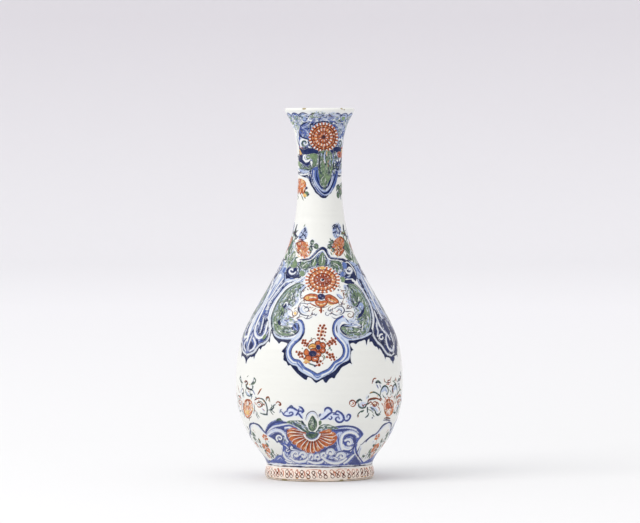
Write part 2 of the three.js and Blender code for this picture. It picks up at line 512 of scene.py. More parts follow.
def great_lambrequin():
    a = Art()
    F, L, W, D = a.fill, a.line, a.white, a.dot

    # ground of the shoulder, from the peak of the lambrequin down to the scrolls
    F(DARK, [(323, 248.4), (319, 250), (315.5, 253.2), (311.5, 257.8), (307, 259.4), (302.5, 259.6), (299.5, 262), (296, 262.5),
             (291, 264.5), (287, 268.5), (285.5, 274), (286.5, 280), (291, 283), (297, 283), (303, 280), (308, 277.5), (312, 272),
             (317, 268), (323, 267), (330, 269), (335, 273), (339, 279), (345, 283), (351, 284.5), (356, 281), (356.5, 274),
             (354, 267), (349.5, 262.5), (345, 260.5), (341, 258.7), (334, 258), (330, 257.6), (328, 254.5), (326.3, 250)], tone=0.35)
    # light band inside the peak
    F(PALE, [(323, 250.8), (319.5, 252.4), (316.2, 256), (313.6, 260.2), (311, 262), (310.2, 266.6), (314, 267.6), (317, 263.8),
             (319.4, 259.2), (322, 255.2), (325.2, 254.2), (326.6, 256.6), (325.4, 252.2)], tone=0.55)
    F(GREEN, [(320.6, 255.8), (317.6, 259.4), (317.9, 262.4), (320.4, 262), (322.6, 259.6), (325.2, 259.6), (327.8, 258.4),
              (327.4, 255.4), (324, 254)], tone=(0.3, 0.75), axis=[(321, 254), (319, 263)])
    L(DARK, [(321.2, 256.4), (322.6, 259.6), (321.8, 262.6)], 0.9)
    F(PALE, [(320.4, 262.6), (322.6, 260.8), (325.2, 261.6), (326.4, 264.2), (324.4, 266), (321.2, 265.6)], tone=0.85)
    F(GREEN, [(327, 260.6), (330.2, 260.8), (331, 264.2), (329.4, 267), (327.6, 265.4)], tone=0.45)
    W([(329.6, 262.2), (330, 265.4)], 0.9)
    # left green acanthus of the ground
    F(GREEN, [(300.4, 263.6), (304.2, 261.4), (308.4, 261.6), (311.6, 263.4), (309.8, 265.8), (306.6, 266), (304.2, 268.4),
              (301, 268.6), (299.6, 266.4)], tone=(0.25, 0.8), axis=[(311, 262), (300, 268)])
    L(DARK, [(307.6, 262.6), (305.4, 265.2), (303.8, 268.2)], 0.8)
    F(PALE, [(302.4, 269.2), (305, 268.4), (307.2, 266.8), (308.2, 269.4), (306.6, 272.2), (303.6, 272)], tone=0.5)
    F(YELLOW, [(308.6, 270.6), (311, 268.8), (313.6, 269.6), (312, 272.4), (309.6, 273.2)], tone=0.55)
    W([(300, 260.8), (303.6, 259.9), (306, 260.8)], 1.3)
    F(BLUE, [(299.6, 272.6), (302.4, 271.6), (306.4, 272.8), (308.6, 275.4), (306.2, 277.4), (301.6, 276.4)], tone=0.45)
    F(PALE, [(300.2, 273), (303.2, 272.6), (304.4, 274.4), (301.6, 275.4)], tone=0.25)
    # left white curl
    W([(298.3, 263.8), (296, 263), (293.6, 263.8)], 1.0)
    L(None, [(289.6, 271), (291, 268.8), (293.8, 269), (295.6, 271.2), (294.6, 273.8), (292.4, 273.8)], 2.5, (0.7, 0.8), cut=ALL)
    L(PALE, [(297.4, 264.6), (298.6, 268), (298.2, 272), (296.8, 275)], 1.2, tone=0.7, cut=ALL)
    L(BLUE, [(288.6, 270.4), (288.8, 266.8), (291.4, 265.8), (294.6, 266.6)], 1.3, tone=0.6, cut=())
    F(PALE, [(285.8, 279.4), (290, 278.4), (296, 279.9), (301, 278.4), (306, 277.6), (304, 280.6), (299, 282.6), (292, 282), (287, 282.4)], tone=0.3)
    L(LINE, [(286.6, 281.4), (290.8, 280.8), (294.4, 281.9), (296.4, 281.2)], 0.8)
    # right part of the ground
    F(GREEN, [(332.6, 262.4), (336.4, 261), (340.2, 263), (342, 267.2), (341, 271.2), (338, 272.4), (335.2, 270.4), (332.4, 268.6), (331.4, 265)],
      tone=(0.7, 0.35), axis=[(334, 262), (341, 270)])
    L(DARK, [(334, 263.6), (335.8, 266.6), (338.6, 269.8)], 0.8)
    W([(333, 260.6), (336.4, 259.9), (340, 261), (342.4, 264)], 1.1)
    F(PALE, [(333, 270), (335.6, 271.4), (338.4, 273.6), (336.8, 275), (334, 272.6)], tone=0.6)
    F(BLUE, [(341, 272.4), (343.6, 269), (343.4, 264.4), (346.2, 263.2), (346.6, 268), (346, 274), (342.8, 276.6), (339.8, 276)], tone=0.4)
    W([(345.4, 262.6), (347.8, 262.3), (351.2, 265.4), (354.4, 270), (355.8, 275)], 1.5)
    W([(347.4, 269.4), (349.2, 267.6), (351.6, 268.6), (352.4, 271), (350.6, 272.6)], 1.9, (0.6, 0.8))
    L(PALE, [(344, 277), (347.4, 277.2), (350.4, 275.4)], 1.3, tone=0.5, cut=ALL)
    F(GREEN, [(340.2, 278), (343.4, 276.9), (345.2, 279.4), (344, 282.2), (341.4, 281.6)], tone=0.45)
    W([(346, 279.4), (350.6, 278.6), (354, 280.4), (357, 283.6)], 1.7)
    L(LINE, [(348, 281.6), (351.4, 280.4), (353.8, 282)], 0.8)

    gk = [(2.2, PALE, 0.25, 1), (2.0, None, None, 1), (1.6, GREEN, 0.9, 1), (1.3, GREEN, 0.15, 1), (1.4, BLUE, 0.35, 1), (1.0, DARK, 0.5, 0)]
    strokes(a, [(299, 263.5), (304, 261.6), (309, 261.6), (312, 264), (309.6, 268.4), (311, 272), (305, 274.6), (301.4, 273.6), (299.6, 268)], [(311, 262), (304, 267), (301, 274)],
            26, gk, 301, ln=(2.0, 4.6), w=(0.6, 1.2))
    strokes(a, [(331, 261), (337, 260.2), (341.6, 263), (343, 268), (341.4, 272.6), (337, 274.6), (333.4, 271.4), (331, 267)], [(334, 261), (338, 267), (340, 274)],
            24, gk, 302, ln=(2.0, 4.6), w=(0.6, 1.2))
    strokes(a, [(286.5, 277.4), (292, 276.4), (299, 278.2), (306, 276.6), (302, 281), (296, 283), (288, 282.4)], [(286, 279), (296, 280.4), (306, 277)],
            14, [(2, None, None, 1), (2, PALE, 0.5, 1), (1.4, BLUE, 0.4, 1)], 303, ln=(2.5, 5), w=(0.7, 1.2), spread=0.25)
    L(DARK, [(288, 276.4), (291, 275.4), (295.4, 276.2), (298.6, 275.4)], 1.9, tone=0.1)
    L(DARK, [(289.4, 267), (292, 265.6), (295, 266.4), (296.6, 268.9)], 1.5, tone=0.2)
    L(DARK, [(304.6, 275.4), (307.4, 275.8), (309.8, 273.6)], 1.8, tone=0.1)
    L(DARK, [(313.6, 267.6), (316.4, 266.2), (319, 264.4), (321, 265)], 1.3, tone=0.3)
    L(DARK, [(325.4, 262.6), (327.4, 259.4), (328.6, 262.4)], 1.1, tone=0.2)
    W([(316.6, 261), (318.4, 257.4), (321, 254.6)], 0.8)
    W([(311.4, 262.4), (313.4, 258.8), (316.6, 255)], 0.8)
    W([(303.2, 264.6), (306, 263.6), (308.6, 263.8)], 0.7)
    L(BLUE, [(312, 264.6), (314.4, 265.4), (316.6, 264)], 1.1, tone=0.5)

    # white line that parts the great lambrequin from its neighbours
    W([(301, 279.6), (295.6, 281.8), (289, 285.3), (283, 290.4), (277.4, 297.6), (272.8, 306), (270.2, 314), (269.5, 321.6), (270.8, 328.6), (273.4, 333.6)], 2.3, (0.6, 1))
    L(PALE, [(297, 281.2), (289, 285.3), (283, 290.4), (277.4, 297.6), (272.8, 306), (270.2, 314), (269.5, 321.6), (270.8, 328.6)], 0.8, tone=0.25)
    W([(352.6, 280.6), (358.4, 284.6), (363.6, 291.6), (368.4, 300), (371.6, 308), (373.2, 314.6), (373.5, 322), (372.4, 329.4)], 2.5, (0.7, 0.8))
    L(PALE, [(358.4, 284.6), (363.6, 291.6), (368.4, 300), (371.6, 308), (373.2, 314.6), (373.5, 322)], 0.7, tone=0.3)

    # pale wash of grey green and blue between the scrolls and the tendrils
    F(PALE, [(305, 284), (299, 287.4), (293, 292), (288, 298), (284, 305), (281.4, 312), (280, 319), (282, 325), (288, 325.6), (293, 324), (294.4, 320.4), (292, 317.4), (288.4, 315), (287.6, 310.6),
             (290.6, 307), (295.6, 305), (298.4, 301.4), (299.4, 296), (301.4, 291), (305, 287)], tone=0.35, cut=())
    F(PALE, [(344.6, 284.6), (350, 287), (355, 293), (360, 300), (364, 308), (366, 316), (364, 324), (359, 326), (352, 325), (346.6, 322.4), (349, 319.6), (354.4, 319.4), (356.4, 315),
             (354.4, 310), (350.4, 306.4), (347, 301), (346.4, 294), (344, 288)], tone=0.4, cut=())
    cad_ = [(2.0, PALE, 0.65, 1), (1.6, None, None, 1), (1.5, GREEN, 0.35, 1), (1.0, GREEN, 0.9, 1), (1.1, BLUE, 0.2, 1)]
    strokes(a, [(303, 286), (297, 290), (294.5, 297), (292.6, 305), (287, 307.6), (284, 312.5), (282, 317.5), (280, 321), (284, 325), (292, 324.6), (293.4, 320), (288, 316.4), (288, 311),
                (294, 305.6), (298.4, 301), (300, 294), (303, 289)], [(303, 286), (295, 300), (285, 312), (283, 323)], 40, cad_, 321, ln=(2.2, 5.0), w=(0.6, 1.2), spread=0.35)
    strokes(a, [(346, 285.6), (350.8, 290), (351.6, 299), (352.4, 304.4), (357, 308), (364.4, 308), (363.8, 313), (361, 317.2), (357.6, 320), (361, 325), (354, 325), (347.4, 322.6), (354.4, 319),
                (355.6, 313), (350, 306.6), (346.8, 300), (346, 292)], [(346, 286), (349, 298), (355, 309), (355, 318), (358, 325)], 46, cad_, 322, ln=(2.2, 5.0), w=(0.6, 1.2), spread=0.4)

    # ---- left scroll: green acanthus inside a blue line
    F(DARK, [(299, 283.8), (293, 286.6), (287, 292), (281.6, 299), (276.6, 307.4), (272.8, 315.6), (271.9, 322.4), (273, 329),
             (276.6, 334), (282.6, 336.8), (290, 336.6), (296.4, 334.2), (299.6, 329.6), (299, 324.6), (296.4, 322.6), (292.4, 327),
             (286, 325.6), (280.6, 324.8), (281, 319), (285.6, 313.4), (286.4, 306), (292, 305.6), (296, 301), (297.8, 294), (301, 288),
             (304.6, 285)], tone=0.2)
    F(GREEN, [(300.6, 284.6), (294.4, 287), (288.6, 291.6), (284.2, 297), (280.6, 302.4), (281, 306.2), (284, 303.6), (286.6, 300.6),
              (289.4, 303.6), (292.6, 305), (293.6, 300.6), (294.8, 296), (296.6, 291), (300, 287.4), (303.4, 284.6)],
      tone=(0.35, 0.75), axis=[(303, 283), (284, 304)], cut=ALL)
    F(GREEN, [(284.9, 296.4), (288.4, 294), (291.6, 296.4), (292.4, 301.6), (289.8, 302.2), (287.4, 299.6), (285.4, 300)], tone=0.72)
    L(LINE, [(297, 286.6), (292, 291), (288.6, 295.8)], 0.8)
    L(None, [(298.4, 288.4), (296.4, 293.6), (296, 299), (296.9, 304.6)], 1.3, cut=ALL)
    L(PALE, [(297.2, 292.4), (296.4, 297.4), (297.2, 303.6)], 0.9, tone=0.9)
    # pale gap and middle leaf
    L(None, [(283.4, 305.8), (285.6, 302.6), (287.3, 303), (287.6, 306.6)], 1.4, cut=ALL)
    F(GREEN, [(281.6, 306.6), (278, 309.6), (275.4, 315.2), (274.4, 322), (275.2, 328), (277.8, 329.6), (278.6, 325), (279, 320.6),
              (282, 317.4), (283.6, 312.6), (283.6, 308.4)], tone=(0.4, 0.65), axis=[(282, 307), (276, 329)])
    L(DARK, [(282.2, 311), (281.8, 314), (280.4, 316.4)], 1.5)
    L(PALE, [(285.2, 310), (285.6, 314), (284, 318), (281.4, 320.6)], 1.8, tone=0.5, cut=ALL)
    L(GREEN, [(287.4, 313), (287.2, 316.4), (285.2, 319.6)], 1.0, tone=0.3)
    F(GREEN, [(276.2, 328.2), (278.4, 332), (283.4, 335.2), (289.6, 335.6), (295.2, 333), (298.2, 329.4), (296.2, 328.6), (292.8, 330.6),
              (291.2, 328.4), (286.8, 326.6), (281.4, 326), (278, 325)], tone=(0.35, 0.75), axis=[(277, 330), (296, 331)])
    F(GREEN, [(281.2, 329.4), (284, 327.4), (289.8, 328.6), (288.6, 330.6), (284.6, 331)], tone=0.95)
    L(LINE, [(283, 328), (286.2, 327.8), (289.6, 329)], 0.8)
    W([(289.2, 331.2), (291.8, 332.6), (294.6, 334.4)], 1.1)
    W([(290.2, 327.4), (291.6, 329.6)], 1.0)
    L(DARK, [(278.2, 321.4), (278.9, 323.7), (280.6, 323.2)], 1.6, (0.8, 0.4))
    # inner blue of the volute
    F(BLUE, [(292.2, 323.6), (294.6, 321.2), (297, 322.6), (298.2, 326.4), (298.2, 330.2), (295.4, 331.2), (293, 328.8)], tone=0.5)
    L(DARK, [(292.6, 322.2), (291.7, 323.6)], 1.0)
    L(PALE, [(293.6, 322.6), (294.2, 326.4), (296.4, 329.4)], 0.9, tone=0.3, cut=ALL)
    L(BROWN, [(286.4, 323.6), (290, 321.4), (293.6, 319.9)], 0.7)

    # ---- right scroll
    F(DARK, [(346.6, 285), (353, 286.4), (358.6, 291.4), (363.4, 299), (367, 305.6), (370, 311.6), (370.9, 318), (370.5, 326), (368, 331.8),
             (364, 335.4), (356, 337.6), (349, 336.8), (343, 333.6), (340, 329.2), (341.4, 325.4), (345, 323.8), (350, 326.4), (357, 327.4),
             (361, 326.4), (357.4, 322.8), (355.4, 319), (358.6, 314.4), (361, 309.6), (357.6, 307.4), (352.8, 307.6), (350.4, 302.4),
             (350.2, 295), (348.4, 289)], tone=0.25)
    F(GREEN, [(349.4, 286.4), (354, 288.2), (358.4, 292.8), (361.8, 298.6), (363.4, 301.8), (360.8, 302.2), (358.6, 299.8), (357.6, 304.2), (354.8, 306.6),
              (352.4, 304.4), (351.6, 299), (351.2, 292.6)], tone=(0.45, 0.85), axis=[(350, 286), (358, 305)])
    L(GREEN, [(352.6, 296), (354.6, 298.6), (355.2, 302.4)], 1.6, tone=1.0)
    L(LINE, [(356.9, 294.4), (357.3, 298.4), (356.4, 302.4)], 0.8)
    W([(358.6, 297.4), (358.8, 301.2)], 1.2)
    L(PALE, [(349.6, 295.4), (349.2, 300), (349.8, 305.4)], 2.0, tone=0.65, cut=ALL)
    W([(350.2, 296.6), (349.9, 300.4), (350.4, 304.4)], 0.9)
    F(PALE, [(360.2, 302.6), (363, 303.4), (363.6, 307.4), (361.4, 311), (359.2, 313), (358.6, 309), (357.6, 307.6)], tone=0.8)
    F(GREEN, [(364.4, 303.8), (367.2, 308.2), (369.4, 313.4), (369.7, 319.4), (368.6, 325.4), (366.2, 330), (364.6, 332.4), (361.8, 334.4),
              (360.4, 331.6), (362.6, 328), (361.4, 325.2), (357.8, 322.6), (357.4, 319.4), (361, 317.2), (363.8, 313), (364.4, 308)],
      tone=(0.4, 0.75), axis=[(366, 305), (362, 333)])
    L(LINE, [(366.4, 309.6), (367.4, 314.4), (366.4, 319.4)], 0.8)
    L(GREEN, [(363.8, 315), (361.6, 319.4), (364, 322)], 1.6, tone=1.0)
    W([(357.6, 316.8), (356.4, 319.6), (357.6, 322.6)], 1.0)
    W([(365.6, 319.6), (366.4, 322.6)], 0.8)
    F(GREEN, [(341.6, 327.4), (344.4, 326.4), (348.4, 327.4), (352.6, 326.6), (357.4, 328.4), (361.6, 328.2), (363, 331.2), (361.8, 334.2),
              (356, 336.4), (350, 335.9), (345, 333), (342, 330)], tone=(0.45, 0.8), axis=[(342, 328), (363, 332)])
    F(GREEN, [(349.8, 328.4), (352, 327.2), (354.4, 328.9), (352.4, 330.6)], tone=1.0)
    W([(347.2, 328), (348.4, 330), (350.4, 332.4)], 1.3)
    L(PALE, [(344.4, 325), (350, 325.9), (356, 325), (361.6, 325.6)], 1.3, tone=0.75, cut=ALL)
    L(LINE, [(345.6, 324.2), (350.6, 324.9), (356.6, 324)], 0.7)
    L(LINE, [(357.4, 326.6), (360.2, 326.4)], 0.7)
    W([(352, 322.4), (355, 322.8)], 0.8)

    # outer band of both scrolls
    F(GREEN, [(299.6, 282.6), (293, 285.4), (286, 290.6), (280, 298.4), (275.2, 306.8), (272.6, 314.6), (271.8, 321.4), (272.8, 328.4), (276.2, 333.6), (282.6, 336.6), (283.6, 334.6), (279, 331),
              (276.4, 326), (276.6, 318), (279, 310), (283, 302), (288.6, 295), (295, 289), (300.6, 285.4)], tone=0.65)
    F(GREEN, [(348.6, 284), (355, 285), (361, 291.2), (366, 299.6), (369.2, 307.6), (371, 314.6), (371.3, 321), (370.3, 328), (367, 333.4), (362.4, 336.6), (361.4, 334.4), (365.6, 329.6),
              (368, 322), (367.4, 314), (364, 306), (359, 297), (354, 290.4), (349.6, 287.4)], tone=0.6)
    bk = [(2.4, GREEN, 1.0, 1), (2.0, GREEN, 0.2, 1), (1.4, PALE, 0.4, 1), (1.0, None, None, 1), (0.8, BLUE, 0.4, 1)]
    strokes(a, [(299.6, 283), (286, 291), (276, 306.6), (272.8, 318), (273.6, 328), (280, 334.6), (277, 326), (279.6, 311), (288.6, 296), (299, 286.4)], [(298, 284), (285, 293), (276, 309), (274.6, 322), (279, 333)],
            36, bk, 341, ln=(2.4, 5.2), w=(0.6, 1.2), spread=0.25)
    strokes(a, [(349, 285), (355.4, 286), (361, 292), (366, 300), (370, 309), (371, 318), (370, 328), (364, 335), (367, 326), (367, 313), (361, 300), (353, 289)], [(350, 286), (361, 296), (369, 311), (370, 323), (364, 334)],
            34, bk, 342, ln=(2.4, 5.2), w=(0.6, 1.2), spread=0.25)
    L(DARK, [(303, 281.6), (297, 283.4), (291.4, 286.2), (285, 291.2), (279.2, 298.9), (274.6, 307.2), (272, 314.8), (271.2, 321.4), (272.2, 328.6), (275.6, 334), (281, 336.6)], 1.1, (0.6, 0.8), tone=0.4)
    L(DARK, [(349.4, 283.4), (355.4, 284.4), (361.4, 290.8), (366.5, 299.4), (369.8, 307.4), (371.6, 314.6), (371.9, 321), (370.9, 328.2), (367.8, 333.6)], 1.1, (0.6, 0.8), tone=0.4)
    # mottled brushwork of both scrolls
    sk = [(2.6, GREEN, 0.95, 1), (2.6, GREEN, 0.12, 1), (1.5, PALE, 0.3, 1), (1.3, None, None, 1), (0.9, BLUE, 0.35, 1), (0.6, DARK, 0.7, 0)]
    strokes(a, [(303, 284.6), (294, 287.4), (288.6, 292), (284, 298), (281.4, 303), (286.6, 300.6), (289.4, 303.6), (292.6, 305), (294.5, 297), (297, 291), (301, 287.4)],
            [(303, 284), (293, 290), (286, 300)], 40, sk, 311, ln=(2.2, 5.0), w=(0.6, 1.15), spread=0.3)
    strokes(a, [(281.6, 306.6), (278, 309.6), (275.4, 315.2), (274.4, 322), (275.4, 328), (278, 329.6), (279, 320.6), (282, 317.4), (283.6, 312.6), (283.6, 308.4)],
            [(283, 306), (278, 315), (276.6, 328)], 26, sk, 312, ln=(2.2, 4.6), w=(0.6, 1.1), spread=0.3)
    strokes(a, [(277, 328.6), (279, 332.4), (283.4, 335), (289.6, 335.4), (295.2, 333), (298, 329.4), (292.8, 330), (291.2, 328.4), (286.8, 326.8), (281.4, 326.2)],
            [(277, 328), (284, 332), (291, 332.6), (297, 330)], 26, sk, 313, ln=(2.0, 4.4), w=(0.6, 1.1), spread=0.35)
    strokes(a, [(349.4, 286.6), (354, 288.4), (358.4, 293), (361.8, 298.8), (363, 302), (358.6, 300), (357.6, 304.2), (354.8, 306.6), (352.4, 304.4), (351.6, 299), (351.2, 292.6)],
            [(350, 286), (357, 294), (360, 304)], 32, sk, 314, ln=(2.2, 5.0), w=(0.6, 1.15), spread=0.35)
    strokes(a, [(364.4, 304), (367.2, 308.4), (369.2, 313.4), (369.5, 319.4), (368.4, 325.4), (366, 330), (361.8, 334), (360.4, 331.6), (362.6, 328), (361.4, 325.2), (357.8, 322.6), (357.6, 319.4),
                (361, 317.2), (363.8, 313), (364.4, 308)], [(365, 304), (367, 314), (364, 326), (361, 334)], 44, sk, 315, ln=(2.2, 4.8), w=(0.6, 1.1), spread=0.4)
    strokes(a, [(341.8, 327.6), (344.4, 326.6), (348.4, 327.6), (352.6, 326.8), (357.4, 328.6), (361.4, 328.4), (362.8, 331.2), (361.6, 334), (356, 336.2), (350, 335.6), (345, 332.8), (342, 330)],
            [(342, 328), (350, 332), (362, 332)], 36, sk, 316, ln=(2.0, 4.4), w=(0.6, 1.1), spread=0.4)
    # white edge inside the blue line of the scrolls, tips of pale blue
    L(PALE, [(304.6, 282.4), (297.4, 285), (290.4, 288.8), (284.4, 294.8), (279.4, 301.6), (275.4, 309.6), (273.3, 317.4), (273.1, 324.6), (275.2, 331), (280.6, 335.4), (287, 336.9), (293.4, 336.2)], 0.7, (0.5, 0.5), tone=0.6, cut=ALL)
    L(PALE, [(349, 284.8), (355.4, 287.8), (360.4, 293), (364.6, 300), (368, 306.4), (370.2, 313.4), (370.6, 320.4), (369.4, 327.6), (366.4, 332.6), (361, 335.9), (353.4, 337), (347, 335.4)], 0.7, (0.5, 0.5), tone=0.6, cut=ALL)
    for p, tn in [([(297.6, 289), (296.2, 294.4), (296.4, 300)], 0.6), ([(299.4, 289.6), (298.2, 294), (298.2, 298.6)], 0.2), ([(286.6, 303.6), (288, 307), (287.2, 311.4)], 0.6),
                  ([(289.4, 305.4), (290.6, 309), (289, 312.6)], 0.3), ([(284.6, 314.4), (286.9, 317), (285.8, 321)], 0.5), ([(347.6, 290), (348.6, 295), (347.9, 300.4)], 0.5),
                  ([(345.9, 293.4), (347, 298.4), (346.8, 303)], 0.25), ([(354.4, 308.6), (356.4, 311.4), (354.4, 314.4)], 0.4), ([(358.4, 310.6), (356.4, 314), (354.9, 317)], 0.6),
                  ([(351, 319), (354, 320.6), (356.4, 323.4)], 0.4), ([(347, 320.4), (350.4, 321.6), (353, 324.2)], 0.6)]:
        ribbon(a, p, 1.9, tone=tn, core=0.4)
    for p in [[(294.6, 291.4), (292.6, 297), (292.9, 302.4)], [(290.6, 294.6), (288, 299.4)], [(353.6, 291.4), (355.4, 296.4), (355.6, 302)], [(281.4, 309), (279.4, 313.4), (278.8, 318)],
              [(366.6, 312), (365.4, 318), (365.9, 323.4)], [(346, 330.2), (351, 332.6), (357, 332.4)], [(282, 331), (287, 332.6), (292.4, 331.4)]]:
        L(LINE, p, 0.7, (0.4, 0.4))
    for p in [[(280.4, 323.6), (279, 321.4), (277.6, 322.2)], [(292, 324.2), (294.6, 325.4), (295.6, 328)]]:
        L(DARK, p, 2.0, (0.8, 0.5), tone=0.4)
    L(BROWN, [(283.6, 321.6), (287.4, 319.2), (292, 317.2), (296.4, 315.6)], 0.8)

    # ---- border: dark serrated edge, pale band, grey-blue inner line
    F(DARK, [(270.9, 329.4), (272.6, 334.6), (274.4, 338.4), (277.2, 341.4), (279, 343.8), (280.9, 341.9), (284, 342.2), (287.4, 343.6),
             (285.8, 346.4), (283.8, 348.6), (281.6, 351.5), (283.6, 353.2), (283.4, 357), (283.7, 360.2), (286.2, 361.8),
             (288.2, 365.6), (290.4, 365.2), (293.2, 368.8), (297, 373.2), (300.6, 376.4), (303.9, 379), (306.6, 379.8),
             (307.9, 377.2), (311, 378.2), (313.6, 381), (316, 383), (319.2, 381.2), (322.8, 379.6), (324.4, 381.9), (326.6, 382.7),
             (328.6, 379.9), (331.6, 377.8), (334.4, 378.3), (336.2, 375.2), (339, 371.6), (341.6, 367.6), (345.6, 365.4), (349.6, 363.2),
             (352, 364.2), (350.8, 360), (350.8, 354.6), (351.6, 351), (353.3, 350), (351, 346.6), (350.4, 343.9), (353.2, 342.9), (356, 344.2), (358.2, 342.2),
             (361.8, 341), (365.2, 340.2), (366.6, 345.2), (368, 339.8), (371, 337), (372.8, 333.6), (371.8, 329), (369, 332.4), (364, 335.6),
             (357, 337.6), (350.6, 337.8), (345, 335.8), (340, 331.6), (338, 333), (341.4, 338), (345, 342.4), (347, 348), (346.6, 355),
             (343, 359.6), (338, 362.6), (335.4, 366.2), (330.4, 370.4), (323.6, 374.6), (317.4, 377.2), (311.6, 373.6), (305.4, 370.4),
             (300.6, 366.6), (298.2, 362.6), (293, 361.6), (289.6, 357.6), (288.6, 351.6), (290, 346.4), (293.8, 341.8), (293.4, 338.2),
             (287, 338), (281, 337.4), (276, 334.6), (273, 330.6)], tone=0.55, smooth=True)
    # pale band
    F(PALE, [(272.6, 330.4), (275.4, 334.2), (280.4, 337), (287, 337.8), (293.6, 337.6), (296.6, 334.6), (299.2, 330.6), (299.6, 325.4), (297.6, 321.6),
             (299, 319.4), (301.4, 321), (302.2, 326), (301.8, 331.8), (299.2, 337), (295.4, 340.6), (292, 344.4), (289.8, 349), (289.4, 354.4), (291, 359.2),
             (295, 361.9), (299.6, 362.6), (302.4, 366.6), (307.4, 370.4), (312.8, 372.9), (317.4, 375.4), (322.8, 372.9), (328.6, 370.4),
             (333, 366.8), (336, 362.6), (341, 360.2), (345.2, 356.4), (346.6, 350.6), (345.4, 344.8), (341.6, 339.8), (337.4, 335.4), (335.6, 329.4),
             (336.4, 323.6), (339.6, 319.4), (343.6, 316.8), (346.4, 318.6), (348.8, 322.2), (347.6, 324), (344.2, 321.4), (341, 322.6), (339.4, 327), (340, 331.2),
             (344, 335.6), (350.4, 338.4), (357.4, 338), (364, 336), (369, 332.6), (371.8, 333), (368, 336), (361, 338.6), (354, 340.2),
             (348.6, 340.6), (350, 346.4), (350.2, 354), (348.6, 360), (342.8, 362.8), (338.6, 366.2), (334.6, 370.6), (327.6, 374.8), (321.6, 377.8),
             (317, 380.2), (311.6, 377.2), (305, 374.2), (299.6, 370.6), (296.6, 366.2), (291.6, 364.6), (287.6, 360.8), (285.9, 354), (286.6, 347.6),
             (289.4, 342.6), (291.6, 339.6), (286, 339.4), (280, 338.8), (275, 336)], tone=0.12)
    # steel-blue inner line of the cartouche, dark on its inner side
    inner = [(298.4, 319.7), (301.6, 321.6), (303.4, 326.6), (303.2, 332.4), (300.4, 338), (296.2, 341.8), (292.2, 346), (290.2, 351), (290.9, 356.4),
             (294, 360), (298.8, 361), (301.6, 364), (304.4, 367.6), (309.6, 370.6), (314, 373.2), (317.6, 374.8), (322.4, 372.6), (328, 370), (331.6, 366.4),
             (334.6, 362.6), (339.6, 359.6), (343.2, 355.6), (344.2, 350), (342.6, 344.6), (338.6, 339.9), (334.6, 334.4), (333.6, 328.4), (335, 322.6),
             (338.6, 318.6), (343, 316.2)]
    L(BLUE, inner, 2.5, (0.8, 0.8), tone=0.30)
    L(BLUE, shift(inner, 0.5), 1.5, (0.8, 0.8), tone=0.75)
    L(LINE, shift(inner, 1.15)[:12], 0.8, (0.5, 0.5))
    L(DARK, shift(inner, 1.15)[11:20], 0.6, (0.5, 0.5), tone=0.6)
    L(LINE, shift(inner, 1.15)[19:], 0.8, (0.5, 0.5))
    W(shift(inner, -2.3)[3:27], 1.1, (0.5, 0.5))
    L(BLUE, shift(inner, -3.6)[5:12], 0.7, (0.4, 0.4), tone=0.3)
    L(BLUE, shift(inner, -3.6)[16:25], 0.8, (0.4, 0.4), tone=0.4)
    L(DARK, [(303.2, 333), (301.4, 337), (298.6, 340.2)], 1.1)
    L(DARK, [(337.2, 325), (336.6, 329), (337.4, 332.8)], 1.2)
    L(BLUE, [(294, 341.2), (296.6, 341.4)], 1.0)
    L(BLUE, [(347.4, 344), (348.4, 350), (347.8, 356), (344.6, 360)], 1.5, tone=0.4)
    L(BLUE, [(312, 373.4), (315.4, 376.6), (318, 377.4), (321.4, 375.6)], 1.1, tone=0.45)
    L(BLUE, [(296.6, 362), (299.4, 365.4), (303, 369.6)], 1.3, tone=0.4)
    L(BLUE, [(333.2, 369.4), (336.6, 364.9), (341.4, 362)], 1.2, tone=0.45)
    L(BLUE, [(340.2, 333), (345.4, 337.4), (351.6, 339.2)], 0.9, tone=0.75)

    # ---- interior: rosette and its lower flower
    rosette(a, 322.6, 280.0, 13.6, [
        ("disc", 1.06, None, None, 24), ("disc", 1.0, RED, 0.28, 24), ("rays", 0.86, 0.965, 24, 1.75, 0.5), ("disc", 0.82, RED, 0.55),
        ("ring", 0.80, 1.0, BROWN), ("disc", 0.77, RED, 0.42), ("dots", 0.60, 15, 1.7), ("ring", 0.505, 0.9, BROWN), ("disc", 0.48, RED, 0.85),
        ("dots", 0.385, 10, 1.2), ("disc", 0.28, RED, 0.95), ("disc", 0.235, None, None)], sx=1.25, sy=0.96)
    for i in range(24):                       # short orange marks between the outer petals
        an = 2 * math.pi * i / 24
        L(RED, [(322.6 + 15.4 * math.cos(an), 280 + 11.8 * math.sin(an)), (322.6 + 17.3 * math.cos(an), 280 + 13.2 * math.sin(an))], 0.7, (1, 0.6), tone=0.8)
    for i in range(30):                       # fine darker strokes in the two rings
        an = 2 * math.pi * (i + 0.5) / 30
        q0, q1 = (0.68, 0.76)
        L(BROWN, [(322.6 + 17 * q0 * math.cos(an), 280 + 13 * q0 * math.sin(an)), (322.6 + 17 * q1 * math.cos(an), 280 + 13 * q1 * math.sin(an))], 0.5, (0.5, 1))
    F(YELLOW, [(319.6, 267), (322.6, 266.4), (325.4, 267.2), (324, 269.2), (321, 269.2)], tone=0.4)
    L(YELLOW, [(311.6, 271.4), (314.6, 269.6), (318, 268.4)], 1.2, tone=0.5)
    L(YELLOW, [(329.4, 273.4), (331.6, 276), (331.2, 278.6)], 1.5, tone=0.8)
    L(BROWN, [(308, 283.4), (308.6, 286), (310.4, 288.8), (313.4, 291)], 0.8)
    L(BROWN, [(337, 284), (335.8, 288), (332.8, 291.4)], 0.8)
    L(BROWN, [(329.2, 281.4), (327.4, 283.4), (324.6, 284.4)], 0.9)
    L(LINE, [(322.8, 278.6), (324, 279.4)], 1.7, (1, 1))
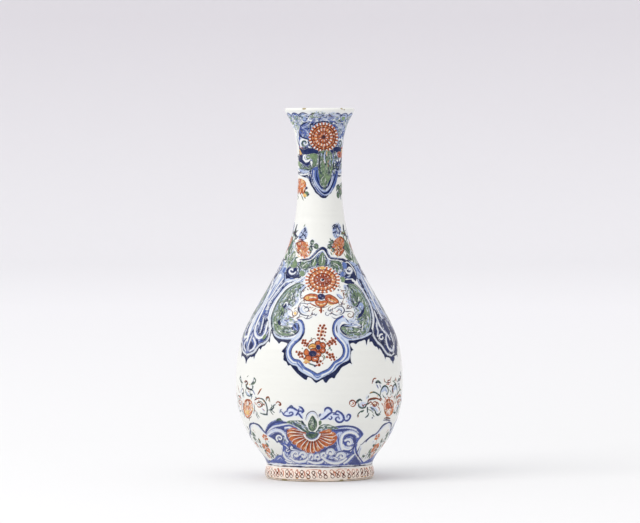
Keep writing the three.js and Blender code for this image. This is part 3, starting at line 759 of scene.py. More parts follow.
    # lower flower
    W([(305, 296.6), (311, 293.4), (318, 294.6)], 1.2)
    petal(a, RED, [(318.6, 295.4), (315, 294), (310.4, 293.8), (306, 295.4), (303.9, 298), (306.2, 300.4), (310.6, 301.2), (315.4, 300.8), (318.4, 299)],
          (0.75, 0.25), axis=[(319, 297), (305, 298)])
    F(YELLOW, [(306.8, 296.2), (305, 298), (306.8, 299.6), (309.4, 299.2), (309.2, 297)], tone=0.35)
    L(RED, [(308.4, 295.4), (312.4, 295.2), (316.6, 296.4)], 0.9, tone=1.0)
    W([(309.8, 298), (313, 297.4), (316.4, 298)], 1.0)
    L(YELLOW, [(309.4, 300.2), (313, 300.2), (316.4, 299.6)], 0.9, tone=0.5)
    petal(a, RED, [(325, 295.6), (329.4, 294.4), (333.6, 296.4), (337.4, 299.4), (338.6, 302), (335.6, 303.8), (330.4, 303.6), (326.6, 300.8), (324.8, 298.6)],
          (0.9, 0.4), axis=[(325, 297), (338, 302)])
    L(YELLOW, [(327, 302.2), (330, 304.4), (334, 304.8)], 1.2, tone=0.4)
    L(RED, [(327, 296.6), (331.4, 298.4), (335.4, 301.2)], 1.0, tone=1.0)
    W([(328.4, 299.8), (331.4, 301.4), (334.4, 302.4)], 0.7)
    petal(a, RED, [(315.6, 300.8), (318.6, 300.4), (321.6, 301), (324.4, 300.4), (327.4, 301.4), (326.4, 304.6), (323.6, 306.6), (320.2, 306.8), (316.8, 305.2), (315, 302.8)], 0.5)
    W([(317.2, 303), (319.6, 304.2), (322.6, 304.2), (325.2, 303)], 1.1)
    L(RED, [(318, 305.2), (321, 306), (324, 305.2)], 0.9, tone=0.2)
    L(RED, [(310, 303), (312.6, 304.6), (316.4, 306)], 1.2, tone=0.6)
    L(BROWN, [(310, 303.6), (313.4, 305.4), (317.2, 307), (321.4, 307.8), (325.8, 307), (329.4, 305.4)], 0.8)
    L(RED, [(320.9, 307.6), (321.2, 310.2), (320.9, 313)], 2.0, (1, 0.5), tone=0.8)
    L(BROWN, [(321.6, 307.8), (321.8, 310.4), (321.6, 313.2)], 0.8, (1, 0.5))
    bud(a, 319.6, 310.4, 1.5)
    bud(a, 323.4, 310.8, 1.4)
    F(LINE, [(317.6, 296.8), (318.4, 294.4), (321.2, 293.6), (324.4, 294.8), (325.2, 297.4), (323.2, 299.6), (319.8, 299.6)], tone=0.3)
    D(BLUE, 320.4, 296, 1.4, tone=0.5)
    D(DARK, 322.8, 297.8, 1.3, tone=0.5)
    L(BROWN, [(316.6, 292.4), (319.4, 292.8), (323, 292.6), (326.8, 293)], 0.8)

    # tendrils, left
    L(DARK, [(306.4, 286.4), (303.6, 289.4), (301.4, 292.4), (300.6, 295.6), (302, 296.2)], 1.1)
    D(BROWN, 305.4, 287.7, 1.6, cut=())
    L(BROWN, [(307, 288.6), (308.6, 290.2)], 0.9)
    L(BROWN, [(300.6, 299.6), (301.8, 298), (303.6, 298.6), (303.6, 300.4), (301.8, 301.4)], 0.8)
    L(LINE, [(299.4, 303.6), (303, 303.2), (307.4, 303.9), (311, 302.6)], 0.8)
    L(LINE, [(300.8, 304.4), (299, 308), (299.4, 311.8), (302, 314.4), (305.6, 315.4), (309, 315.6)], 1.1)
    L(LINE, [(309, 315.8), (307.6, 316.8), (307, 318.4), (308.4, 318.8)], 0.9)
    L(PALE, [(302.6, 306), (301.4, 309.4), (303.4, 312.4), (306.4, 313)], 1.4, tone=0.2)
    L(BROWN, [(308, 308.4), (310.4, 307), (311.4, 308.4)], 0.7)
    L(BROWN, [(312, 311.2), (314.4, 309.4), (316.2, 308.2)], 0.7)
    L(LINE, [(314.4, 313.4), (315.6, 315.4), (317.2, 313.8)], 0.8)
    D(BROWN, 312.8, 307.4, 1.0, cut=())
    L(BROWN, [(290.8, 309.6), (292.4, 312), (292.6, 315), (294.8, 315.9), (297, 314.4), (297.2, 311.8), (295, 310.8), (293.6, 312.2)], 0.9)
    F(YELLOW, [(293.8, 313.8), (295.4, 315), (296.6, 313.4), (295.8, 311.9), (294.2, 312.2)], tone=0.1, cut=())
    L(BROWN, [(294, 309.4), (296.4, 307.4)], 0.7)
    L(BROWN, [(287.4, 307.4), (289.2, 309.4), (290.8, 309.6)], 0.7)
    L(LINE, [(301.6, 301.6), (299.2, 304.8), (297.9, 308.9), (298.6, 312.8)], 0.8)
    L(PALE, [(299.9, 306.4), (299.6, 310.6), (301.4, 313.8)], 1.1, tone=0.5)
    L(LINE, [(303.8, 309.4), (305.8, 307.6), (308.4, 308.2), (308.6, 310.6), (306.4, 311.6), (304.9, 310.6)], 0.9)
    L(BROWN, [(309.6, 316.4), (312, 314.4), (312.4, 311.8)], 0.8)
    L(LINE, [(303.4, 317.2), (306.8, 318.8), (310.4, 317.8), (312.2, 316.4)], 0.8)
    L(BROWN, [(297.6, 318.6), (300.4, 316.8), (303, 317)], 0.7)
    L(BROWN, [(288, 316.4), (290.8, 317.6), (294, 317.4)], 0.8)
    # tendrils, right
    L(LINE, [(331.4, 316.4), (334.6, 318.4), (338.6, 318.2), (341.6, 316.6)], 0.8)
    L(LINE, [(336.8, 311.8), (338.8, 309.8), (341.2, 310.6), (341, 312.8), (338.8, 313.2)], 0.9)
    L(BROWN, [(333.6, 311.6), (331.4, 312.6), (330.6, 314.8)], 0.7)
    L(BROWN, [(346, 307.4), (348.6, 308.6), (351, 308.2), (351.6, 306.2)], 0.8)
    L(LINE, [(340.2, 301.6), (342.2, 303.8), (341.4, 306)], 0.9)
    L(BROWN, [(346.2, 292.4), (347.4, 295.4), (346.4, 298), (344.6, 297.6)], 0.8)
    D(LINE, 338.4, 290, 1.8, cut=())
    L(BROWN, [(339.6, 289), (342.4, 290.6), (345.4, 290.4), (346.4, 288.6), (344.6, 287.6)], 0.9)
    L(BROWN, [(342.8, 291), (343.4, 294.4), (344.4, 297.4), (343.2, 299.4)], 0.9)
    F(PALE, [(336.6, 294.6), (339.4, 294.4), (342.4, 297.4), (341.4, 299), (338.4, 297.2)], tone=0.55)
    L(LINE, [(336.8, 293.8), (338, 296.4), (340.6, 298.6), (343, 298.4)], 0.8)
    L(BROWN, [(343.4, 300), (342.6, 302.4), (344, 304.4), (345.2, 303)], 0.8)
    L(LINE, [(335, 308.4), (338, 306.2), (341.6, 306.4), (344, 308.6), (344.2, 311.6), (342, 314), (338.6, 315)], 1.1)
    L(LINE, [(338.6, 315), (335.4, 315), (332, 313.4), (329.4, 313.6)], 1.0)
    L(LINE, [(329.6, 313.8), (328, 315.4), (326, 315), (325.6, 313), (327.2, 312)], 0.8)
    L(PALE, [(338, 308.4), (341.4, 309), (341.6, 312)], 1.3, tone=0.2)
    L(LINE, [(344.4, 311.4), (347.6, 311.6), (350.6, 311.2)], 0.9)
    L(BROWN, [(350, 311.4), (353, 312.4), (353.4, 315), (351.6, 317.2), (348.8, 316.8), (347.9, 314.6), (349.6, 313.6), (351, 314.6)], 0.9)
    L(BROWN, [(333, 307.8), (332.4, 310)], 0.9)
    L(BROWN, [(331, 306.2), (328.4, 308.4), (329.4, 310.6)], 0.7)
    L(LINE, [(345.8, 318.8), (347.6, 320.8), (348.4, 322.4)], 1.1)

    # brushwork over the peak and the claws of the scrolls
    pk = [(2.4, GREEN, 0.95, 1), (1.8, PALE, 0.85, 1), (1.6, BLUE, 0.8, 1), (1.3, None, None, 1), (1.0, GREEN, 0.35, 1), (1.2, DARK, 0.2, 0)]
    strokes(a, [(310.6, 261.6), (316, 255), (323, 250.4), (327.4, 256), (331.4, 259.6), (332, 267), (323, 266.8), (316, 268), (311, 266.6)], [(311, 264), (317, 257), (323, 252), (330, 264)],
            64, pk, 501, ln=(1.8, 4.2), w=(0.55, 1.1), spread=0.5)
    strokes(a, [(296, 263.4), (304, 260.4), (312, 262), (312, 270), (307, 276), (301, 277), (296, 275), (299, 269)], [(311, 262), (303, 266), (298, 275)], 46, pk, 502, ln=(1.8, 4.2), w=(0.55, 1.05), spread=0.5)
    strokes(a, [(330, 259.6), (338, 259.4), (345, 262), (347, 268), (346, 275), (340, 277), (334, 272), (331, 266)], [(332, 261), (341, 266), (343, 276)], 50, pk, 503, ln=(1.8, 4.2), w=(0.55, 1.05), spread=0.5)
    strokes(a, [(304, 261), (312, 259.4), (323, 251), (330, 259), (340, 261), (345, 268), (338, 271), (334, 268), (323, 266), (312, 269), (304, 272), (299, 268)], [(302, 266), (323, 256), (343, 266)], 60,
            [(2.2, BLUE, 0.95, 1), (2.2, GREEN, 1.0, 1), (0.8, DARK, 0.5, 0)], 506, ln=(1.8, 4.4), w=(0.55, 1.1), spread=0.7)
    # leaves of the peak, each with its rib
    for pts, tn, rib in [([(300.2, 266.4), (301, 262), (304.6, 259.8), (308.6, 260.8), (310, 264.2), (307.8, 268), (303.6, 269.8)], 0.75, [(301.8, 267.6), (305, 264.2), (308.2, 262)]),
                         ([(319.2, 265.2), (318.4, 260), (320.4, 254.6), (322.7, 252), (324.6, 254.8), (325.6, 260), (324.8, 265.2)], 0.6, [(322, 264.4), (322.4, 259), (322.7, 255)]),
                         ([(330.4, 262), (333.4, 259.9), (337.8, 260.6), (341.2, 263.6), (341.8, 267.8), (338, 269), (334, 267), (331.4, 264.8)], 0.8, [(332.2, 262.6), (336.4, 264.2), (340.4, 267.2)]),
                         ([(311, 264), (312.4, 260), (315.4, 258.6), (316.6, 261.8), (315.4, 265.4), (312.6, 266.8)], 0.4, [(312.6, 265.4), (314, 262.4), (315.2, 260.2)])]:
        F(GREEN, pts, tone=tn, cut=ALL)
        L(DARK, pts[:4], 0.7, (0.4, 0.4), tone=0.4)
        L(LINE, pts[4:] + pts[:1], 0.5, (0.4, 0.4))
        W(rib, 0.7, (0.5, 0.4))
        L(GREEN, shift(rib, 1.2), 0.7, (0.4, 0.4), tone=1.0)
    strokes(a, [(304, 261), (312, 259.4), (323, 251), (330, 259), (340, 261), (345, 268), (338, 271), (334, 268), (323, 266), (312, 269), (304, 272), (299, 268)], [(302, 266), (323, 256), (343, 266)], 34,
            [(2, GREEN, 0.1, 1), (1.5, None, None, 1), (1.4, PALE, 0.5, 1), (1, GREEN, 0.6, 1), (1, DARK, 0.2, 0)], 507, ln=(1.6, 3.4), w=(0.45, 0.9), spread=0.8)
    L(BLUE, [(317.6, 264.6), (317, 259.6), (318.8, 255)], 1.3, tone=0.75)
    L(PALE, [(327.6, 264.6), (328.2, 260.2), (326.6, 256.4)], 1.6, tone=0.35, cut=ALL)
    L(DARK, [(326.4, 265), (327, 260), (325.6, 255.6)], 0.9, tone=0.3)
    F(BLUE, [(342.2, 262.4), (345, 262.4), (347, 265.4), (346, 269.4), (343.2, 267.6)], tone=0.3, cut=ALL)
    W([(298, 265.6), (297, 268.6), (298.6, 271.4)], 1.2)
    F(GREEN, [(299.6, 271.6), (303.4, 271), (305, 273.6), (303.4, 276.6), (300.4, 275.4)], tone=0.55, cut=ALL)
    ck = [(1.8, PALE, 0.75, 1), (2.2, None, None, 1), (1.6, GREEN, 0.25, 1), (1.3, GREEN, 1.0, 1), (1.0, BLUE, 0.6, 1)]
    strokes(a, [(296, 288), (301, 288), (298.4, 300), (294, 306), (289, 308), (288, 313), (292, 318), (298, 321), (293, 326), (284, 325), (279.6, 323), (283, 315), (285.6, 306), (292, 303), (295, 297)],
            [(299, 289), (294, 303), (286, 309), (284, 320), (294, 323)], 90, ck, 504, ln=(1.8, 4.4), w=(0.55, 1.1), spread=0.4)
    strokes(a, [(345, 285.4), (350, 288), (351, 298), (352.6, 305), (358, 307), (363, 304), (362, 311), (358.6, 316), (361, 325), (352, 325.6), (345.4, 322), (353, 318), (354, 311), (348, 304), (345.2, 294)],
            [(347, 287), (350, 303), (358, 309), (356, 318), (350, 323)], 100, ck, 505, ln=(1.8, 4.4), w=(0.55, 1.1), spread=0.4)
    # navy curls with white edges at both ends of the ground
    F(DARK, [(287.4, 268.4), (291, 265.4), (295.6, 266), (297.4, 270), (295.6, 274.6), (290.6, 276.4), (286.6, 273.4)], tone=0.1)
    curl(a, 292, 270.6, 4.0, 0.4, 5.4, 2.7, ch=BLUE, tone=0.6, shrink=0.2)
    curl(a, 292, 270.6, 4.0, 0.4, 5.4, 1.6, shrink=0.2)
    D(BLUE, 289.4, 266.6, 1.8, tone=0.8)
    L(GREEN, [(297, 265.4), (299.6, 268.4), (298.9, 272)], 1.3, tone=0.9)
    L(BLUE, [(287, 276.6), (291.6, 278.6), (296.6, 277.2)], 1.6, tone=0.7)
    W([(286.6, 282), (292, 280.4), (298, 279.6), (303.4, 276.9), (307.4, 273.6)], 2.0, (0.7, 0.5))
    L(PALE, [(292, 280.4), (298, 279.6), (303.4, 276.9)], 0.7, tone=0.7)
    curl(a, 349.6, 270.6, 3.8, 3.4, -5.6, 2.9, ch=BLUE, tone=0.7, shrink=0.2)
    curl(a, 349.6, 270.6, 3.8, 3.4, -5.6, 1.7, shrink=0.2)
    L(BLUE, [(344.6, 276.4), (349, 278.2), (353.6, 277.2)], 1.6, tone=0.7)
    # outline of the peak: white, pale and dark
    L(DARK, [(300, 259.8), (304.6, 259.2), (309.4, 258.4), (313.4, 255), (317, 250.9), (321, 248.2), (323.6, 247.8), (326.4, 250.2), (328.4, 254.6), (331, 257.6), (337, 258.4), (343.4, 259.2), (349.4, 262)], 1.9,
      (0.6, 0.6), tone=0.15)
    L(BLUE, [(304.6, 259), (309.4, 258.2), (313.4, 254.8), (317, 250.7), (320.4, 248.2)], 0.8, (0.5, 0.5), tone=0.55, cut=ALL)
    L(BLUE, [(326.6, 250), (328.7, 254.4), (331.2, 257.3), (336.4, 258.2), (341.4, 258.7)], 0.8, (0.5, 0.5), tone=0.55, cut=ALL)
    L(None, [(301.4, 261.4), (307, 260.8), (311.4, 259.2), (315.4, 255.6), (319, 252), (322.6, 250.3), (325, 252.6), (327, 256.8), (330.4, 259.5), (336.4, 260.2), (343, 261.4)], 1.1, (0.6, 0.6), cut=ALL)
    L(PALE, [(307, 261.6), (311.8, 260.2), (316, 256.6), (319.4, 253.2), (322.6, 251.8)], 1.0, (0.6, 0.6), tone=0.9)
    # layered petals of the rosette and the lower flower
    for i in range(20):
        an = 2 * math.pi * (i + 0.25) / 20
        L(YELLOW, [(322.6 + 9.3 * math.cos(an), 280 + 7.2 * math.sin(an)), (322.6 + 12.6 * math.cos(an), 280 + 9.6 * math.sin(an))], 0.8, (0.5, 1), tone=0.35 + 0.5 * (i % 2), cut=ALL)
    for i in range(14):
        an = 2 * math.pi * i / 14
        L(BROWN, [(322.6 + 4.6 * math.cos(an), 280 + 3.6 * math.sin(an)), (322.6 + 7.2 * math.cos(an), 280 + 5.5 * math.sin(an))], 0.7, (1, 0.5))
    L(RED, [(322.6 + 2.9 * math.cos(2 * math.pi * i / 12), 280 + 2.3 * math.sin(2 * math.pi * i / 12)) for i in range(13)], 1.5, (1, 1), tone=0.8, cut=ALL)
    L(BROWN, [(322.6 + 3.7 * math.cos(2 * math.pi * i / 12), 280 + 2.9 * math.sin(2 * math.pi * i / 12)) for i in range(13)], 0.6, (1, 1))
    D(LINE, 322.6, 279.8, 2.9, cut=())
    D(None, 321.9, 278.9, 0.9)
    L(YELLOW, [(306.4, 297.8), (311, 296.4), (316.4, 297.2)], 1.3, tone=0.1, cut=ALL)
    L(YELLOW, [(328, 298.4), (332, 300), (336, 302)], 1.3, tone=0.15, cut=ALL)
    L(YELLOW, [(317.4, 303.6), (321, 304.8), (325, 303.6)], 1.2, tone=0.1, cut=ALL)
    for q in ([(309.6, 294.8), (308.6, 297.6), (309.4, 300.4)], [(313.4, 294.6), (313, 297.8), (313.6, 300.6)], [(330, 295.6), (330.4, 299.4), (329.6, 302.8)], [(334, 297.6), (333.8, 300.6), (333, 303.4)],
              [(319, 301.4), (319.2, 304), (318.6, 306)], [(323.2, 301.4), (323, 304), (323.6, 306)]):
        L(BROWN, q, 0.5, (0.5, 0.5))
    for x, y, r, s0, tr, c in [(301.6, 296.4, 2.0, 0.6, 4.8, LINE), (305.6, 301, 1.6, 2.2, 4.4, BROWN), (340.6, 303.4, 2.0, 3.8, -4.8, BROWN), (344.8, 293.4, 1.7, 0.4, 4.6, BROWN), (298.4, 318, 1.6, 1.2, 4.4, BROWN),
                              (331.6, 310.6, 1.7, 2.6, 4.6, LINE), (312.6, 313.4, 1.6, 0.2, 4.4, LINE), (348.6, 306.2, 1.6, 2.0, 4.4, BROWN), (304.4, 290.6, 1.4, 2.0, 4.2, BROWN), (340, 286.4, 1.5, 4.4, -4.2, BROWN)]:
        curl(a, x, y, r, s0, tr, 0.8, ch=c, shrink=0.3, cut=())
    for x, y in [(303.4, 298.6), (307.4, 304.6), (341.4, 291.4), (346.4, 301.4), (299.6, 306.6), (336.9, 311.4), (309.4, 311), (343.6, 317)]:
        D(RED, x, y, 1.2, tone=0.4)
    for q in ([(296, 318.8), (299, 316.6), (300.4, 313.4)], [(303, 305), (305.4, 306.8), (308.4, 306.2)], [(333.6, 308.8), (336.4, 307.4)], [(346, 309), (348.4, 308.2), (350, 305.8)], [(327, 309.4), (329.4, 311), (332.4, 310.6)]):
        L(LINE, q, 0.8)

    # ---- cartouche spray
    L(RED, [(323, 326), (321.4, 331), (320.4, 336), (318.6, 342)], 1.6, tone=0.5)
    for x, y, d in [(320.2, 325.6, 2.2), (324.2, 325.4, 2.3), (318.6, 328.2, 1.7), (322.6, 327.8, 2.5), (325.6, 328.6, 2.1), (318.8, 331, 2.4), (322.9, 331.6, 2.5), (325.4, 332.2, 1.6),
                    (317.8, 334.8, 2.2), (321.4, 335, 2.6), (324.6, 335.6, 1.7), (318.2, 338.2, 1.8), (322.4, 338.8, 2.1), (325, 339.8, 1.2)]:
        D(RED, x, y, d + 0.5, tone=0.75, cut=())
        D(BROWN, x + 0.15, y + 0.2, d * 0.78, cut=())
    for x, y in [(321, 330), (320.6, 333.2), (323.9, 330), (320.2, 336.8), (323.6, 334)]:
        D(YELLOW, x, y, 1.4, tone=0.4)
    curl(a, 314.2, 340.6, 2.4, 2.6, 3.6, 0.8, ch=BROWN, cut=(), shrink=0.8)
    curl(a, 322.9, 340.4, 2.2, 3.4, 3.2, 0.8, ch=BROWN, cut=(), shrink=0.8)
    # upper blossom
    W([(318.6, 346.8), (318.7, 346.9)], 11.5)
    petal(a, RED, [(315, 344.6), (315.6, 341.9), (318.6, 341), (320.6, 342.4), (320.4, 345), (317.8, 346)], (0.4, 0.8), w=0.9, axis=[(317, 341), (318, 346)])
    petal(a, RED, [(320.2, 342.8), (323.4, 342.4), (325.6, 344.8), (325, 347.6), (322, 348), (319.9, 346)], (0.9, 0.5), w=0.9, axis=[(320, 346), (325, 344)])
    petal(a, RED, [(321.4, 348), (324.9, 348.6), (325.4, 351.4), (323, 353.2), (320.2, 352.2), (319.4, 349.6)], (0.95, 0.5), w=0.9, axis=[(320, 348), (325, 352)])
    petal(a, RED, [(318.6, 349.4), (319.6, 351.6), (317.4, 352.4), (315, 350.6), (314.6, 347.8), (316.4, 346.6)], (0.9, 0.35), w=0.9, axis=[(318, 348), (315, 351)])
    petal(a, YELLOW, [(315.4, 344.2), (312.4, 343.6), (308.9, 345.6), (308.4, 348), (311.4, 349.6), (314.8, 348.6), (316.2, 346.4)], (0.9, 0.3), w=0.8, axis=[(315, 346), (309, 347)])
    L(RED, [(309.8, 346.8), (312, 346.2), (314.4, 346.4)], 1.0, tone=0.6)
    W([(310.4, 348), (312.4, 348)], 0.8)
    F(LINE, [(316.2, 347.4), (316.8, 345.2), (319.2, 344.8), (320.6, 346.8), (320.1, 349), (317.6, 349.7)], tone=0.2)
    L(BLUE, [(317.4, 346.6), (318.6, 346), (319.6, 346.8)], 0.9, tone=0.5)
    W([(322.6, 344.4), (323.9, 345.4)], 0.7)
    W([(322.4, 350.2), (323.6, 350.9)], 0.7)
    # lower blossom
    W([(312, 354.6), (312.1, 354.6)], 15)
    petal(a, RED, [(309.6, 352), (306.6, 348.9), (304.6, 350.4), (303.9, 353.4), (305.9, 355.6), (309.2, 354.6)], (0.9, 0.2), w=0.9, axis=[(310, 353), (304, 352)])
    petal(a, RED, [(310.4, 350.6), (311.4, 348.8), (315, 348.8), (317, 350.4), (315.6, 352.4), (312.4, 352.6)], (0.5, 0.9), w=0.9, axis=[(312, 349), (314, 352)])
    petal(a, RED, [(316.4, 351.8), (319.6, 351.4), (321.2, 354), (319.6, 356.9), (316.4, 356.4), (314.9, 354)], (0.95, 0.55), w=0.9, axis=[(315, 353), (321, 354)])
    petal(a, RED, [(315, 356.2), (318.6, 357.2), (318.6, 360.4), (314.9, 361.6), (311.8, 360.6), (312, 357)], (1.0, 0.6), w=0.9, axis=[(314, 356), (315, 361)])
    petal(a, RED, [(311.4, 356.6), (311.2, 360.4), (307.8, 360.6), (305.2, 358.2), (306.2, 355.9), (309, 355.4)], (0.95, 0.45), w=0.9, axis=[(311, 356), (306, 360)])
    L(YELLOW, [(305.6, 351.4), (306.4, 353.4)], 1.5, tone=0.3)
    L(YELLOW, [(307.4, 357.4), (309, 358.9)], 1.2, tone=0.5)
    W([(313.9, 358.6), (316.6, 358.9)], 0.8)
    W([(317.6, 353.6), (319.2, 354.4)], 0.7)
    F(LINE, [(308.8, 353.6), (309.9, 351.2), (313.2, 350.6), (316.2, 352), (316.6, 354.4), (314, 356.4), (310.6, 356)], tone=0.4)
    L(BLUE, [(310.8, 352.6), (312.6, 351.8), (314.6, 352.4)], 0.9, tone=0.6)
    D(DARK, 313.4, 354.4, 1.6, tone=0.5)
    # sprigs of small dark red buds
    for x, y, d in [(303.2, 340.4, 2.1), (305.6, 340.2, 1.7), (302.4, 343, 2.0), (305.2, 343, 2.5), (308, 343.6, 1.9), (306.6, 345.8, 1.8), (304.2, 345.6, 1.3), (309.8, 341.4, 1.5), (311.2, 339.9, 1.1),
                    (296.6, 351.8, 1.9), (299.6, 352, 1.8), (298.8, 354.6, 2.3), (301.8, 353.6, 2.4), (302.4, 356.6, 2.3), (299.9, 357, 1.4), (304.2, 358.6, 1.5),
                    (327.6, 343.6, 2.0), (329.9, 341.6, 2.5), (332.9, 340.2, 2.6), (335.6, 338.4, 1.8), (334.8, 341.8, 2.4), (332, 343.6, 2.6), (329.4, 345.6, 2.0), (335.9, 344.2, 1.5), (331.6, 338, 1.4),
                    (327.2, 352.6, 2.2), (329.6, 354.6, 2.5), (332.6, 354.2, 2.0), (333.4, 357, 2.6), (330.2, 357.6, 2.2), (327, 357, 1.9), (334.4, 359.6, 1.8), (331.4, 360, 1.1),
                    (317.4, 362.2, 2.4), (320.6, 361.4, 2.3), (319.2, 364.9, 2.5), (316.4, 365.4, 1.3), (322.6, 363.4, 1.2)]:
        D(RED, x, y, d + 0.6, tone=0.7, cut=())
        D(BROWN, x + 0.1, y + 0.25, d * 0.72, cut=())
    L(BROWN, [(302.4, 341.6), (305.6, 343.4), (308.4, 346), (310.4, 348)], 0.8)
    L(BROWN, [(296.4, 352.4), (300, 353.6), (304, 354)], 0.8)
    L(BROWN, [(324.6, 345.2), (328.2, 343.9), (332, 342), (335.6, 339.6)], 0.8)
    L(BROWN, [(324.4, 352.4), (328, 354.4), (331.4, 356), (334.4, 359)], 0.8)
    L(BROWN, [(320.4, 355.6), (323, 357), (323.6, 359.6), (321.4, 361.6)], 0.8)
    L(GREEN, [(322.4, 354.4), (324.4, 356.4), (324.9, 359.4)], 1.1, tone=0.6)
    L(YELLOW, [(303.6, 362.4), (306.6, 361.6), (309.6, 362.4)], 2.2, tone=0.6, cut=ALL)
    L(RED, [(305, 363.4), (307.4, 363.2)], 1.2, tone=0.5)
    L(GREEN, [(308.6, 363.6), (311.6, 364.6), (314.4, 365.6)], 1.2, tone=0.9)
    L(LINE, [(308.4, 363), (311.8, 364), (315.6, 365.4)], 0.6)
    D(LINE, 314.9, 366, 2.2, cut=())
    for x, y, d, tn in [(329.8, 348, 2.2, 0.8), (331.2, 350, 1.6, 0.6), (328, 349.9, 1.2, 0.9), (311.4, 338.2, 1.4, 0.6), (325.9, 341.4, 1.3, 0.7), (302.4, 348.4, 1.3, 0.6), (336.6, 357.4, 1.2, 0.8)]:
        D(GREEN, x, y, d, tone=tn)
    F(YELLOW, [(304.4, 359.4), (306.4, 358.9), (307, 360.6), (305.2, 361.2)], tone=0.4)
    return a


def polar(t, z):
    return math.radians(t), z


# ------------------------------------------------------------------ the neck

def neck_half():
    """Left half of a neck panel, mirrored for the right half."""
    a = Art()
    F, L, W, D = a.fill, a.line, a.white, a.dot
    # ground of the panel
    F(BLUE, [(299, 139), (299.6, 130), (302.4, 124.8), (308, 122), (316, 120.6), (326, 120.4), (326, 186), (320.4, 184), (315.6, 178), (312, 172.6), (305, 171.4), (299.8, 170.6), (299.4, 150)], tone=0.75)
    F(DARK, [(307.6, 128.4), (310.4, 124.6), (314, 122.4), (312, 127), (310, 133), (309.6, 139.6), (311.6, 145), (309.4, 147.6), (307.8, 140)], tone=0.2)
    F(DARK, [(299.6, 147.4), (303, 148.6), (305.4, 147), (309, 147.6), (311.6, 146), (315.4, 148), (319.6, 150.2), (319.4, 154.2), (314.6, 155), (311.6, 158), (309.6, 163), (306.2, 165), (302, 162.4),
             (299.6, 159.4)], tone=0.0)
    F(GREEN, [(299.6, 162.4), (303, 165), (308, 166.4), (312.4, 161), (314.6, 156.4), (319.4, 154.6), (321, 150.4), (326, 150), (326, 171), (318, 171.4), (311, 170.6), (304, 170.4), (299.8, 169)], tone=0.85)
    ek = [(2, PALE, 0.8, 1), (0.8, None, None, 1), (2.4, GREEN, 0.1, 1), (1.0, BLUE, 0.3, 1), (1.4, GREEN, 0.6, 1), (0.5, LINE, None, 0)]
    strokes(a, [(292, 115.6), (301, 116), (304, 122), (300.4, 129), (299.6, 139), (297.4, 140), (295.4, 130)], [(293, 117), (297, 126), (298.6, 138)], 74, ek, 13, ln=(2.0, 4.6), w=(0.5, 1.0), spread=0.35)
    # blue lobe beside the rosette
    F(BLUE, [(299.5, 128), (302.5, 124.6), (306.6, 123), (309.4, 124.6), (309.8, 129), (308.4, 133.4), (309.2, 138), (307, 140),
             (302.8, 138.6), (299.6, 136.4), (299, 133)], tone=0.45)
    F(BLUE, [(300.8, 128.4), (303.6, 125.6), (306.2, 126.4), (306.4, 130), (303.6, 131), (301.6, 130.4)], tone=0.15)
    L(DARK, [(305.4, 123.6), (308.8, 124.6), (309.6, 128.4), (308.4, 132.4)], 1.4)
    L(DARK, [(298.6, 131), (299.4, 134), (300.6, 136.4), (303, 137)], 1.5)
    L(LINE, [(307.6, 134.4), (307.9, 137), (308.8, 139)], 1.6)
    L(DARK, [(303.8, 129.6), (305.4, 129.9)], 0.8)
    # white curl with its teal heart
    F(GREEN, [(301.4, 142.4), (303.4, 140.6), (306.2, 141), (307.4, 143.6), (306.4, 146.4), (303.6, 146.6), (301.8, 145)], tone=0.75)
    F(PALE, [(300.4, 137.4), (303.6, 136.6), (306.4, 137.2), (305.2, 138.8), (302, 138.9)], tone=0.45)
    L(BLUE, [(301.2, 146), (301, 143.4), (302.6, 141.4), (305, 141.4), (306.8, 143.2), (307, 145.2)], 2.0, (0.9, 1.0), tone=0.75, cut=ALL)
    L(DARK, [(301.4, 145.6), (301.6, 147.4)], 1.2)
    L(DARK, [(306.2, 144.4), (307.2, 145)], 1.3)
    L(GREEN, [(303.6, 140.4), (305.9, 141)], 1.2, tone=0.4)
    L(LINE, [(297.6, 139), (298.4, 143), (299.4, 146)], 1.3)
    # cobalt blobs
    F(DARK, [(303.4, 148.8), (305.6, 150.4), (308.4, 148.2), (311, 149.6), (313, 151), (315, 148.4), (317.6, 149.4), (317.2, 152), (313.4, 153.6), (308.4, 153.4),
             (304.6, 152.8)], tone=0.0)
    F(BLUE, [(308, 149.6), (310.2, 149.8), (311.4, 151.6), (309.2, 152.6), (307.2, 151.4)], tone=0.95)
    W([(312.6, 148.8), (313.9, 150.8)], 1.0)
    # yellow flower at the edge of the panel
    F(YELLOW, [(299.6, 149.6), (300.8, 148.6), (302.8, 149.6), (303.6, 152), (302.2, 154.4), (300.2, 154.4), (299.6, 152.4)], tone=0.35)
    F(RED, [(299.8, 146.4), (301.2, 145.8), (302.8, 147.4), (301.6, 148.9), (299.8, 148.8)], tone=0.3)
    L(BROWN, [(301.6, 147.4), (303, 148.6)], 1.5)
    L(BROWN, [(298.4, 154.4), (301, 154.9), (303, 153.6)], 0.9)
    D(BROWN, 299.8, 151.6, 1.2, cut=())
    # dark chevron with white curl and leaf
    L(DARK, [(298.6, 156.6), (301, 158.4), (303.6, 160.6), (306, 163.4), (307.6, 164.2), (309.2, 162.6), (310.2, 161)], 2.6, (0.9, 0.5), tone=0.3)
    F(GREEN, [(307, 155.6), (310, 153.8), (314, 154.2), (317, 155.6), (315.4, 158.8), (311.4, 159.4), (308, 158.4)], tone=(0.3, 0.8), axis=[(309, 155), (316, 158)])
    L(GREEN, [(313.6, 153.6), (317.4, 152.8), (320.2, 153.4)], 1.8, tone=0.9)
    L(LINE, [(320.4, 151.4), (320.8, 154.4), (320.4, 158)], 1.4)
    L(PALE, [(305, 155.6), (305.4, 158)], 1.2, tone=0.4)
    W([(310, 155.2), (312.6, 155)], 0.9)
    W([(310.4, 160.6), (311.9, 162.4), (311.4, 164.4)], 1.3)
